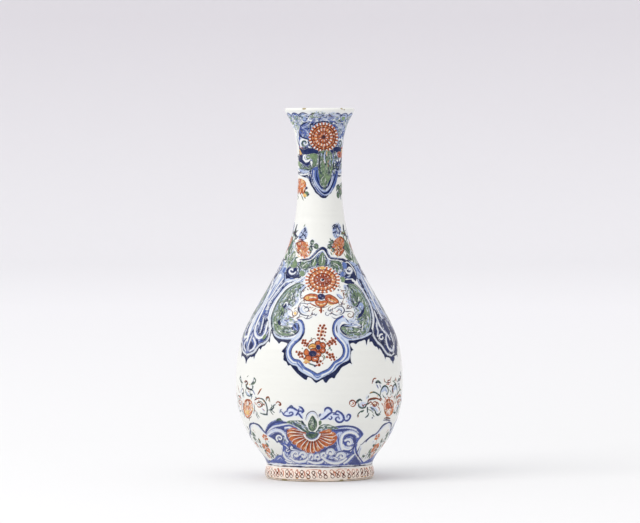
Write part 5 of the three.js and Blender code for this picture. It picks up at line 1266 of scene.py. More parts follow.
def shoulder_left():
    a = Art()
    F, L, W, D = a.fill, a.line, a.white, a.dot
    # blue bud
    F(PALE, [(298.6, 236.6), (300.6, 232), (303, 229.2), (305.6, 226.8), (307.4, 231), (307.6, 235), (305.4, 239), (302, 241.4), (299.4, 240)], tone=0.6)
    strokes(a, [(299, 237), (303, 229.4), (305.6, 227), (307.4, 232), (306.4, 238), (302, 241)], [(301, 240), (306, 228)], 12, [(2, BLUE, 0.8, 1), (1.4, DARK, 0.3, 0), (1, None, None, 1)], 331,
            ln=(1.8, 3.4), w=(0.6, 1.1), spread=0.6)
    for x, y, d in [(304.6, 228.4, 1.6), (301.6, 232.6, 1.7), (306.6, 232.2, 1.6), (300, 237, 1.8), (304.6, 235.4, 2.0), (302.4, 240, 1.9), (305.9, 238.4, 1.5)]:
        D(DARK, x, y, d, tone=0.2, cut=())
    for p in [[(299.6, 239), (303, 234), (305.8, 227.6)], [(301.2, 232), (304, 235), (306.4, 238.4)]]:
        L(DARK, p, 0.8, tone=0.4)
    L(GREEN, [(304, 226.8), (305.2, 224.4)], 1.0, tone=0.6)
    F(GREEN, [(292.6, 233.6), (294.4, 231), (296.6, 230.9), (296, 233.4), (294, 234.6)], tone=0.5)
    L(LINE, [(296.6, 231.4), (298.4, 230.4)], 0.8)
    # orange flower, open like a fan
    F(RED, [(295.6, 243.4), (299.6, 241.2), (304.6, 241.6), (308, 244.6), (309.6, 249), (309.2, 253.6), (306.6, 258), (303.2, 257.6), (299.4, 254.6), (296.4, 250), (295.2, 246.4)],
      tone=(1.0, 0.35), axis=[(296, 246), (308, 254)])
    for i, (x, y) in enumerate([(306.6, 243.8), (309, 247.2), (310, 251), (309.2, 255), (306.8, 258.4), (303.4, 258.2), (300, 255.8)]):
        W([(299.4 + 0.2 * i, 245.4), ((299 + x) / 2 + 0.6, (245 + y) / 2), (x, y)], 0.9, (0.2, 1))
        curl(a, x - 0.6, y - 0.4, 1.5, -1.2 + i * 0.35, 2.6, 0.8, ch=YELLOW, tone=0.2, shrink=0.9, cut=())
    for i, (x, y) in enumerate([(305, 243.2), (308, 245.8), (309, 249.4), (308.6, 253.2), (306.4, 256.6), (302.6, 256.4), (299, 253.6)]):
        L(BROWN, [(299, 245.6), ((299 + x) / 2, (245.6 + y) / 2 + 0.6), (x, y)], 0.7, (0.6, 0.3))
    L(BROWN, [(295.6, 244.4), (298.4, 242), (302.6, 241), (306, 242.4)], 1.0)
    L(BROWN, [(295.2, 246), (296.6, 250.4), (299.6, 254.8)], 1.0)
    F(RED, [(295.4, 244.6), (298.6, 242.6), (301.6, 243.6), (300.9, 247), (297.9, 248.6), (295.6, 247)], tone=1.0)
    W([(296.6, 245), (298.4, 244.2), (300.2, 244.6)], 0.7)
    L(RED, [(298, 240.6), (300.6, 239.8), (303.2, 240.4)], 1.2, tone=0.2)
    strokes(a, [(295.4, 244), (299.6, 241), (306, 242), (309.6, 248), (309, 254), (305.6, 258), (300, 255), (296, 250)], [(296, 245), (308, 256)], 50,
            [(1.8, YELLOW, 0.8, 1), (1.6, RED, 0.2, 1), (1.4, RED, 1.0, 1), (1.3, BROWN, None, 0), (1.0, None, None, 1), (0.5, GREEN, 0.7, 1)], 334, ln=(1.6, 3.4), w=(0.5, 1.0), spread=0.7)
    strokes(a, [(285, 265), (287.6, 256), (291.4, 247), (295, 240), (297.4, 248), (296.4, 258), (293, 265)], [(288, 264), (293, 250), (295.6, 242)], 60,
            [(2.6, None, None, 1), (1.2, PALE, 0.4, 1), (1.6, GREEN, 0.15, 1), (1.0, GREEN, 0.9, 1)], 335, ln=(2.4, 5.4), w=(0.6, 1.1), spread=0.25)
    L(BROWN, [(293, 230.4), (294.6, 233.6), (297, 230.4)], 1.1)
    L(GREEN, [(294.6, 233.4), (294.4, 236)], 1.0, tone=0.9)
    # green sprigs
    for p in [[(311, 243.6), (310.9, 241)], [(310.6, 247), (311.9, 245.4)], [(315.4, 244.4), (314.6, 246.4)], [(318.4, 247.6), (316.6, 248)],
              [(310, 253.6), (311.4, 251.6)], [(309.4, 249.6), (310.6, 250.2)]]:
        L(GREEN, p, 1.5, tone=0.7)
    L(LINE, [(308.6, 249.6), (312, 246.4), (315.4, 245.4)], 0.7)
    L(LINE, [(309.4, 255), (310.9, 251.6), (313, 249.4)], 0.7)
    # strokes to the left of it
    for i, p in enumerate([[(285.6, 262.6), (289.4, 257.4), (293.4, 252.6)], [(288, 263.6), (291.4, 259), (295.4, 255.2)], [(292, 262.4), (295, 258.6), (298, 257.4)],
                           [(287.4, 255.4), (290.6, 251), (293.4, 247.4)], [(291.6, 248.4), (293.6, 244.4), (294.6, 240.4)]]):
        L(GREEN, p, 2.3 if i < 3 else 1.6, tone=(0.7, 0.3, 0.8, 0.45, 0.55)[i])
        q = [(x + 1.3, y + 0.4) for x, y in p]
        W(q, 0.7)
    L(GREEN, [(291.6, 239.4), (292.8, 236.8)], 1.2, tone=0.5)
    L(DARK, [(285, 259.6), (287.4, 256.4)], 1.0)
    # leaves on its right, dark at the edges
    for p, tn in [([(310.2, 241.8), (312.4, 239.8), (314.2, 241.4), (313.4, 244.6), (311, 245)], 0.8), ([(313.6, 245.2), (316.4, 243.6), (318.6, 246), (317.2, 249), (314.4, 248.4)], 0.6),
                  ([(309.4, 246.4), (311.6, 246.6), (312.6, 249.4), (310.6, 251.4), (308.8, 249.4)], 0.9), ([(317.6, 249.4), (320, 248.8), (321, 250.8), (319, 252)], 0.4)]:
        a.fill(GREEN, p, tone=tn, cut=ALL)
        a.line(LINE, p[:3], 0.8, (0.5, 0.5))
        a.line(None, [p[0], ((p[2][0] + p[3][0]) / 2, (p[2][1] + p[3][1]) / 2)], 0.4, (0.5, 0.4), cut=ALL)
    a.line(LINE, [(309, 244), (311.6, 246), (314.4, 247.2), (318, 248.6)], 0.7, (0.5, 0.4))
    a.dot(DARK, 312.4, 243.8, 1.0, tone=0.5)
    a.dot(DARK, 315.6, 246.6, 0.9, tone=0.5)
    strokes(a, [(297, 242.6), (302, 241.4), (307, 243.4), (308, 248.6), (306.4, 255), (303, 256.6), (299.6, 252), (297.2, 247.4)], [(301, 242), (303.4, 248), (305, 256)], 26,
            [(2.2, RED, 0.3, 1), (1.2, RED, 0.6, 1), (0.8, YELLOW, 0.5, 1), (0.6, BROWN, None, 0)], 643, ln=(1.8, 4.6), w=(0.5, 1.0), spread=0.4)
    strokes(a, [(296.6, 242), (302, 240.8), (307.4, 243), (308.6, 249), (306.8, 255.4), (303, 257.2), (299, 252.4), (296.8, 247.6)], [(301, 242), (303.4, 248), (305, 256)], 44,
            [(2.4, YELLOW, 0.3, 0), (1.2, RED, 0.1, 0)], 645, ln=(1.8, 4.6), w=(0.5, 1.0), spread=0.5)
    return a


def shoulder_right():
    a = Art()
    F, L, W, D = a.fill, a.line, a.white, a.dot
    F(PALE, [(332.6, 229.6), (334, 225.4), (337.4, 222.8), (340.4, 226), (341, 231.4), (338.8, 236.4), (335.4, 238), (333, 234.4)], tone=0.8)
    strokes(a, [(333, 230), (334.4, 225.6), (337.4, 223.4), (340.4, 227), (340.6, 232), (338, 236.6), (335, 237)], [(335, 237), (338, 223)], 14,
            [(2, BLUE, 0.8, 1), (1.6, DARK, 0.3, 0), (1, None, None, 1)], 332, ln=(1.8, 3.4), w=(0.6, 1.1), spread=0.6)
    for x, y, d in [(334.6, 226, 1.8), (338, 223.6, 1.7), (340.2, 227.6, 1.7), (336.8, 229.4, 2.0), (333.6, 232.6, 1.8), (339.6, 232.8, 1.7), (336.6, 235.8, 2.0)]:
        D(DARK, x, y, d, tone=0.2, cut=())
    for p in [[(334, 236), (336.6, 230), (338.6, 223.4)], [(334.2, 225.8), (337, 230), (340, 234)]]:
        L(DARK, p, 0.8, tone=0.4)
    for p in [[(343.6, 225), (343.4, 230)], [(345.4, 232.4), (344, 236)], [(347.4, 235.6), (347, 239.4)], [(342, 233), (343.6, 232)]]:
        L(LINE, p, 1.4)
    L(GREEN, [(342.8, 226), (343.6, 231.4), (345.4, 237)], 1.0, tone=0.9)
    F(RED, [(332.6, 244), (335.4, 239.6), (339.4, 236.6), (343, 238.4), (344.6, 243), (344.4, 249), (342, 254.4), (338.4, 256), (334.4, 253.4), (332.2, 249)],
      tone=(0.4, 1.0), axis=[(333, 248), (344, 246)])
    for i, (x, y) in enumerate([(332.6, 241.8), (331.4, 246), (331.8, 250.4), (334, 254.4), (337.8, 257)]):
        W([(340.4, 244.4), ((340.4 + x) / 2 + 0.4, (244.4 + y) / 2), (x, y)], 0.9, (0.2, 1))
        curl(a, x + 0.8, y - 0.4, 1.5, 1.6 + i * 0.3, 2.6, 0.8, ch=YELLOW, tone=0.2, shrink=0.9, cut=())
    for i, (x, y) in enumerate([(334, 240.8), (332.6, 244.4), (332.4, 248.6), (333.9, 252.6), (336.6, 255.6), (340.6, 255.8)]):
        L(BROWN, [(340.8, 244), ((340.8 + x) / 2, (244 + y) / 2 + 0.5), (x, y)], 0.8, (0.6, 0.3))
    L(BROWN, [(336, 239.6), (339.4, 236.8), (342.8, 238), (344.8, 242.4), (344.6, 249), (342, 254.6)], 1.0)
    F(RED, [(338.4, 243), (341, 241), (343.6, 243), (343.6, 247.4), (341, 249.4), (338.6, 247)], tone=1.0)
    L(BROWN, [(339.4, 245.4), (341.4, 244), (343, 245.6)], 0.9)
    W([(339.2, 240), (341, 239.2), (342.6, 240.4)], 0.7)
    strokes(a, [(332.6, 244), (335.4, 239.6), (340, 236.6), (344, 240), (344.4, 249), (341.6, 255), (337, 255.4), (333, 251)], [(333, 248), (343, 244)], 60,
            [(2.0, YELLOW, 0.85, 1), (1.8, RED, 0.15, 1), (1.4, RED, 1.0, 1), (1.6, BROWN, None, 0), (1.2, None, None, 1), (0.4, GREEN, 0.8, 1)], 336, ln=(1.6, 3.4), w=(0.5, 1.0), spread=0.8)
    F(LINE, [(342.9, 246.4), (344.4, 245.6), (345.4, 247.4), (344.6, 249), (343, 248.6)])
    L(GREEN, [(343, 224.6), (343.6, 228.4), (344.4, 232), (345.9, 236.4)], 1.9, (0.6, 0.6), tone=1.0)
    L(LINE, [(343.4, 225), (343.2, 229.4), (344, 233)], 1.2, (0.5, 0.5))
    L(LINE, [(344.6, 234), (346.9, 236.6), (347.4, 239)], 1.6, (0.5, 0.5))
    strokes(a, [(331.9, 229), (334, 224.4), (337.6, 222.6), (341, 227), (341.4, 232), (338.6, 237.4), (334, 238), (332, 234)], [(333, 236), (339, 224)], 30,
            [(2, BLUE, 1.0, 1), (1.6, DARK, 0.4, 0), (1.6, PALE, 0.9, 1), (1.6, None, None, 1)], 337, ln=(1.6, 3.4), w=(0.5, 1.1), spread=1.2)
    L(DARK, [(332.4, 226.6), (334.6, 224.6), (336.9, 226), (335.9, 228.4)], 1.2, (0.6, 0.6), tone=0.2)
    L(BROWN, [(334.8, 254), (338, 256), (341.4, 255.4)], 0.8)
    D(GREEN, 329.5, 242, 1.8, tone=0.7)
    D(GREEN, 329.2, 248, 1.6, tone=0.6)
    L(GREEN, [(330.4, 245.4), (328.6, 244.4)], 1.3, tone=0.5)
    L(GREEN, [(331.4, 240.4), (329.9, 238.4)], 1.2, tone=0.7)
    L(LINE, [(333, 248.4), (331, 246), (329.4, 243.6)], 0.7)
    L(GREEN, [(330.6, 252), (332.2, 255)], 1.4, tone=0.6)
    # long leaf at the side
    F(GREEN, [(345.4, 240), (347.6, 244), (350.6, 249.6), (354.4, 256), (358.4, 262.6), (360.4, 267), (356.4, 264), (351.4, 259.4), (347.2, 254.4), (344.4, 249), (344, 244)],
      tone=(0.85, 0.55), axis=[(345, 242), (359, 265)])
    L(LINE, [(346, 245), (349, 251.4), (353, 257.6), (357, 263)], 0.9)
    W([(345.6, 250.4), (348.8, 255), (352.6, 258.6)], 0.8)
    L(GREEN, [(343.9, 253.4), (346.4, 257.4), (350.4, 260.4)], 1.5, tone=0.3)
    for p, tn in [([(330.6, 240.6), (333, 240.2), (333.8, 243.2), (331.6, 244.8), (329.8, 243)], 0.8), ([(327.6, 245), (330.4, 244.4), (332, 247), (330, 249.2), (327.8, 247.8)], 0.65),
                  ([(331.6, 248.2), (334.2, 248.4), (334.6, 251.4), (332.2, 252)], 0.85)]:
        a.fill(GREEN, p, tone=tn, cut=ALL)
        a.line(LINE, p[:3], 0.8, (0.5, 0.5))
        a.line(None, [p[0], ((p[2][0] + p[3][0]) / 2, (p[2][1] + p[3][1]) / 2)], 0.4, (0.5, 0.4), cut=ALL)
    a.line(LINE, [(334, 245), (331.6, 246.4), (328.4, 247.6), (326.6, 249.4)], 0.7, (0.5, 0.4))
    a.dot(DARK, 331.8, 243.4, 0.9, tone=0.5)
    strokes(a, [(335, 238.6), (340, 236.6), (344, 239), (344.4, 246), (341.4, 252), (337, 252.4), (334, 246)], [(340, 237.6), (338.4, 245), (340, 252)], 28,
            [(2.0, RED, 0.35, 1), (1.4, RED, 0.8, 1), (0.6, YELLOW, 0.6, 1), (0.7, BROWN, None, 0)], 644, ln=(1.8, 4.6), w=(0.5, 1.0), spread=0.4)
    strokes(a, [(334, 238), (340, 236), (344.6, 238.8), (345, 246), (341.6, 252.6), (336.8, 253), (333.4, 246)], [(340, 237.6), (338.4, 245), (340, 252)], 44,
            [(2.4, YELLOW, 0.4, 0), (1.4, RED, 0.25, 0)], 646, ln=(1.8, 4.6), w=(0.5, 1.0), spread=0.5)
    return a


# -------------------------------------------------------- the side lambrequins

def side_half():
    """Right half of a lambrequin at the side, degrees from its axis and height."""
    a = Art()
    a.tr = polar
    F, L, W, D = a.fill, a.line, a.white, a.dot
    # dark edge
    F(DARK, [(20.4, 114.5), (22, 111), (22.6, 107), (22.4, 102), (22.9, 97.4), (21.6, 98.3), (20.5, 97.6), (19.6, 95.6), (18, 94.6), (16.6, 94.3), (15.3, 92.2), (14.4, 93.4),
             (12.9, 91.6), (11.4, 89.6), (10.6, 88.6), (9.6, 85.4), (8.6, 86.9), (6.9, 86.7), (5, 86.5), (3, 85.6), (1.4, 84.6), (0, 81.8), (-1.2, 84.6), (-1.4, 87),
             (0, 86.6), (4, 88.4), (7.4, 89.8), (9.2, 92.4), (12, 95.4), (15.6, 97.2), (18.2, 99.8), (19.3, 103.2), (19, 108), (18, 114)], tone=0.4)
    # pale band
    F(PALE, [(-1, 87), (0, 86.9), (4, 88.6), (7.3, 90.1), (9, 92.8), (11.8, 95.7), (15.3, 97.6), (17.9, 100.2), (19, 103.4), (18.7, 108), (17.6, 114.4), (15, 114), (16.2, 108.4),
             (16.5, 104.4), (15.5, 101.7), (13.3, 100), (10, 98.4), (7.4, 94.8), (5.7, 92.3), (3, 90.7), (0, 89.5), (-1, 89.4)], tone=0.15)
    # ground of the panel: pale blue, strokes of darker blue
    F(PALE, [(-1, 90), (0, 90), (3, 91.2), (5.4, 92.9), (7, 95.2), (9.8, 98.9), (13, 100.6), (15.1, 102.2), (16, 104.6), (15.6, 108.2), (14, 113), (11, 118), (9, 124), (8.6, 132),
             (9, 139), (8, 142), (-1, 142)], tone=0.6)
    L(BLUE, [(0, 89.8), (3, 91), (5.5, 92.6), (7.2, 95.2), (10, 98.8), (13.4, 100.4), (15.4, 102.2), (16.2, 104.6), (15.8, 108.6), (13.6, 114.6), (11, 119)], 1.0, (1, 0.6), tone=0.7)
    # foliage
    F(DARK, [(11.6, 113.6), (14.4, 110.4), (15, 106.6), (13.4, 106.2), (12, 109), (10.8, 111.4)], tone=0.3)
    L(PALE, [(13.6, 112), (13.9, 108.6), (13, 107)], 0.9, tone=0.1)
    F(BLUE, [(7, 103), (10, 101.4), (13, 103.4), (12.6, 106), (9.8, 107.4), (7.4, 106)], tone=0.5)
    F(DARK, [(6.8, 105.6), (8.6, 103.2), (10.6, 104.4), (9.6, 107), (7.6, 108)], tone=0.25)
    W([(10.6, 103.4), (12, 105), (11.2, 107)], 0.9)
    F(DARK, [(9.6, 100.8), (12.6, 101), (13.4, 98.9), (11, 97), (8.8, 94.6), (7.2, 93.2), (6.4, 94.6), (7.8, 97.6)], tone=0.2)
    L(PALE, [(8, 95), (10, 98), (12, 99.4)], 0.8, tone=0.1)
    F(GREEN, [(13, 103.4), (15, 102.6), (15.4, 105), (13.9, 107.4), (12.8, 106)], tone=0.35)
    F(BLUE, [(0, 98), (2.6, 97.4), (5, 99.6), (6.6, 103), (5.4, 107.4), (3, 109.6), (0.6, 108.6), (0, 106)], tone=0.35)
    F(DARK, [(-0.4, 103), (1.8, 102.4), (3.2, 104.6), (2.6, 108), (0.6, 109.4), (-0.4, 109)], tone=0.2)
    W([(3.6, 100), (4.9, 103.4), (4.4, 107.4)], 1.0)
    W([(-0.4, 100.6), (2.4, 101), (4.6, 98.4)], 1.2)
    F(DARK, [(-0.4, 97), (2, 96.6), (2.6, 93.2), (0.8, 92.2), (-0.4, 92.6)], tone=0.1)
    F(None, [(2.4, 98.2), (4.8, 98.4), (6, 95.6), (4.8, 93.6), (3, 94)])
    F(PALE, [(3.2, 97), (4.8, 97.2), (5.2, 95.2), (4, 94.6)], tone=0.5)
    L(DARK, [(0, 90.8), (2, 91.4), (4.2, 92.6), (5.4, 94)], 1.1, tone=0.4)
    L(LINE, [(5.8, 99.4), (7.4, 101.4), (6.6, 103.6)], 0.9)
    # stems rising to the column
    F(BLUE, [(3.4, 110.4), (6.2, 109), (8.2, 111.4), (7.2, 116), (5, 120), (3.4, 117)], tone=0.55)
    W([(1.6, 110.4), (2.6, 114), (1.8, 119), (2.2, 126), (2, 134), (2.2, 141)], 2.6, (0.6, 0.9))
    L(PALE, [(0, 112), (0.4, 120), (0, 130), (0.2, 139)], 1.1, tone=0.35)
    W([(9.4, 109.4), (8.6, 113), (9.4, 117)], 1.0)
    L(DARK, [(10.6, 112), (9.6, 115.6), (7.6, 119.4)], 1.1)
    strokes(a, [(-1, 110), (8, 112), (8.8, 124), (8.8, 132), (8.6, 141.6), (-1, 141.6)], [(1, 110), (3, 126), (2.4, 142)], 60,
            [(2.2, BLUE, 0.6, 1), (1.6, BLUE, 0.95, 1), (1.6, PALE, 0.3, 1), (1.4, None, None, 1), (1.0, DARK, 0.4, 0)], 338, ln=(2.2, 6.0), w=(0.4, 0.8), spread=0.16, asp=0.7)
    for i, (t, z) in enumerate([(6.0, 122.4), (6.4, 126.8), (6.0, 131.2), (6.3, 135.6), (5.8, 139.6)]):
        F(DARK, [(t - 2.6, z - 1.3), (t - 0.8, z - 0.5), (t + 2.3, z + 1.2), (t + 1.7, z + 2.2), (t - 0.6, z + 1.5), (t - 2.8, z + 0.4)], tone=0.35 + 0.1 * (i % 3))
        W([(t - 2.4, z - 2.3), (t + 0.2, z - 1.2), (t + 2.6, z + 0.2)], 0.8)
    L(BLUE, [(9.6, 120), (9.2, 128), (9.6, 136), (9.2, 142)], 1.0, tone=0.6)
    L(LINE, [(3.6, 119), (3.3, 128), (3.6, 138)], 0.7)
    # white gap beside the column, then the blue line of the neighbour
    L(None, [(12.9, 142), (13.2, 134), (13, 126), (13.8, 120), (16.6, 114.6)], 3.0, (0.8, 0.6), cut=ALL)
    return a


def side_a():
    """Inside of a side lambrequin, the half beside the left scroll."""
    a = Art()
    F, L, W, D = a.fill, a.line, a.white, a.dot
    area = [(287, 275), (290, 280), (284, 288), (277, 297), (271, 306.6), (268.2, 314), (267.8, 322), (269, 329), (268.4, 336), (264.6, 341.4), (259.4, 344), (256, 348.4), (252, 351.6),
            (247, 354.4), (246.6, 343), (248.6, 331), (252.6, 321), (258.4, 312), (264.4, 303), (270.4, 293), (276.6, 282), (281.4, 273)]
    F(PALE, area, tone=0.9)
    F(BLUE, [(268, 303), (270, 308), (268.2, 314), (267.8, 322), (269, 329), (268.4, 336), (264.6, 341.4), (259.4, 344), (256, 348.4), (252, 351.6), (247, 354.4), (247.4, 343), (250, 334), (254, 327), (258, 316), (263, 309)],
      tone=0.6)
    kk = [(2.4, BLUE, 0.75, 1), (1.6, PALE, 0.9, 1), (2.4, None, None, 1), (1.6, DARK, 0.15, 0), (0.5, GREEN, 0.4, 1)]
    strokes(a, [(290, 280), (280, 292), (271, 305.6), (267.6, 314), (262, 316), (266, 306), (272.6, 295), (280, 284), (284, 278)], [(291, 281), (277, 299), (268, 313)], 120, kk, 351,
            ln=(2.6, 6.0), w=(0.6, 1.3), spread=0.22)
    wall_shade_grade = [(2.4, BLUE, 0.8, 1), (1.0, PALE, 0.8, 1), (1.2, None, None, 1), (2.4, DARK, 0.15, 0)]
    strokes(a, [(268, 312), (268.6, 326), (269, 335), (264, 341), (257, 345), (250, 352), (247, 352), (248, 338), (254, 324), (262, 312)], [(266, 312), (259, 328), (252, 348)], 120, wall_shade_grade, 352,
            ln=(2.4, 5.4), w=(0.6, 1.3), spread=0.3)
    # painted highlight: the glaze is left white in a strip at the turn of the wall, where it catches the light, with
    # thin pale lines over it so it reads nearly white
    F(None, [(280, 274), (276, 282), (270, 291.6), (264, 301.6), (258, 310.6), (252, 321), (248.4, 331), (246.6, 340), (247.6, 341), (250.4, 332), (254.4, 322.4), (259.6, 313), (265.4, 303.6), (271.2, 294), (277.4, 284), (281.6, 276)])
    for u, t in ((0.2, 0.3), (0.8, 0.9), (1.7, 0.5)):
        L(PALE, [(279 + u, 277), (273 + u, 287.6), (267 + u, 297.6), (260.6 + u, 308), (254 + u, 319), (250 + u, 328)], 0.7, (0.4, 0.4), tone=t)
    L(LINE, [(281, 272), (274.8, 281.6), (269.2, 291.6)], 0.7)
    # long strokes from the shoulder
    L(BLUE, [(294, 280.4), (286, 285.6), (279, 293.4), (273.4, 301.6), (269.4, 309.6), (267.9, 316)], 1.7, (0.5, 0.7), tone=0.8)
    brim(a, [(288, 279.6), (281.6, 286.4), (275.4, 294), (270, 301.6), (266.6, 308)], 1.6, tone=0.9)
    brim(a, [(283, 279), (277, 287.4), (271.4, 296), (266.2, 303.6)], 1.9, tone=0.8)
    L(DARK, [(286.8, 284.8), (280.4, 291), (274.4, 298.6), (270, 306), (267.6, 312)], 1.1, (0.5, 0.6), tone=0.4)
    L(BLUE, [(276.4, 284), (271.8, 291.4), (268.6, 297.4)], 1.8, (0.5, 0.5), tone=0.4)
    L(LINE, [(284.3, 272.4), (284.6, 277), (284.2, 282)], 0.9)
    # broad white ribbon
    F(DARK, [(264.4, 315), (262, 320), (259.2, 326.6), (257.9, 332), (259.8, 334.6), (262.4, 333), (264.2, 327), (265.6, 320.4)], tone=0.2)
    L(BLUE, [(262.4, 319.4), (260.4, 325), (259.6, 330.4)], 1.5, tone=0.4, cut=ALL)
    L(GREEN, [(261, 322), (259.6, 327)], 0.9, tone=0.9)
    F(DARK, [(266.6, 317.6), (268.4, 321), (268.4, 328), (266.4, 331.4), (265.2, 327), (265.7, 321)], tone=0.0)
    brim(a, [(267.6, 300.4), (263.4, 309), (259.8, 316.6), (256.4, 324.4), (254.9, 331.6), (256.8, 336.6), (260.6, 337.6), (264, 334.4), (266, 328.9), (267.4, 322.4)], 2.5, tone=0.9)
    brim(a, [(264.4, 316.4), (262.6, 322.4), (261.4, 328.6), (260, 332.4)], 1.2, tone=0.9)
    F(GREEN, [(262.2, 338.4), (264, 335.2), (266.3, 334), (265.9, 337.2), (264, 339.6)], tone=0.5)
    L(DARK, [(261.4, 340.4), (264.4, 339.6), (266.8, 336.4), (268.2, 332)], 1.2, tone=0.3)
    # left foot of the panel
    F(DARK, [(250.2, 340), (252, 342), (253.4, 346), (252, 350), (249.8, 351), (249.4, 345)], tone=0.1)
    brim(a, [(252.4, 334.6), (250, 340.4), (248.2, 346.4), (247.9, 350.6)], 1.5, tone=0.9)
    brim(a, [(253.1, 337.8), (254.9, 341.6), (255, 345.6), (252.6, 349.2), (249.6, 350.9)], 1.8, tone=0.9)
    L(DARK, [(255.9, 339.4), (257.6, 342.6), (258.4, 344.4)], 1.6, tone=0.1)
    L(DARK, [(256.6, 347), (254.6, 350), (251.4, 352)], 1.3, tone=0.1)
    D(DARK, 248.2, 340.4, 1.5, tone=0.2)
    # pale band of the edge
    p = [(246.6, 355), (250.6, 353.6), (254, 351.8), (257, 348), (259.6, 345), (263.6, 343.2), (267.2, 340.2), (269.3, 335), (269.4, 328.6), (268.8, 321)]
    a.line(DARK, p, 3.6, (0.8, 0.7), tone=0.5, cut=ALL)
    a.line(None, p, 2.0, (0.8, 0.7), cut=ALL)
    L(PALE, p, 0.7, (0.6, 0.6), tone=0.5)
    return a


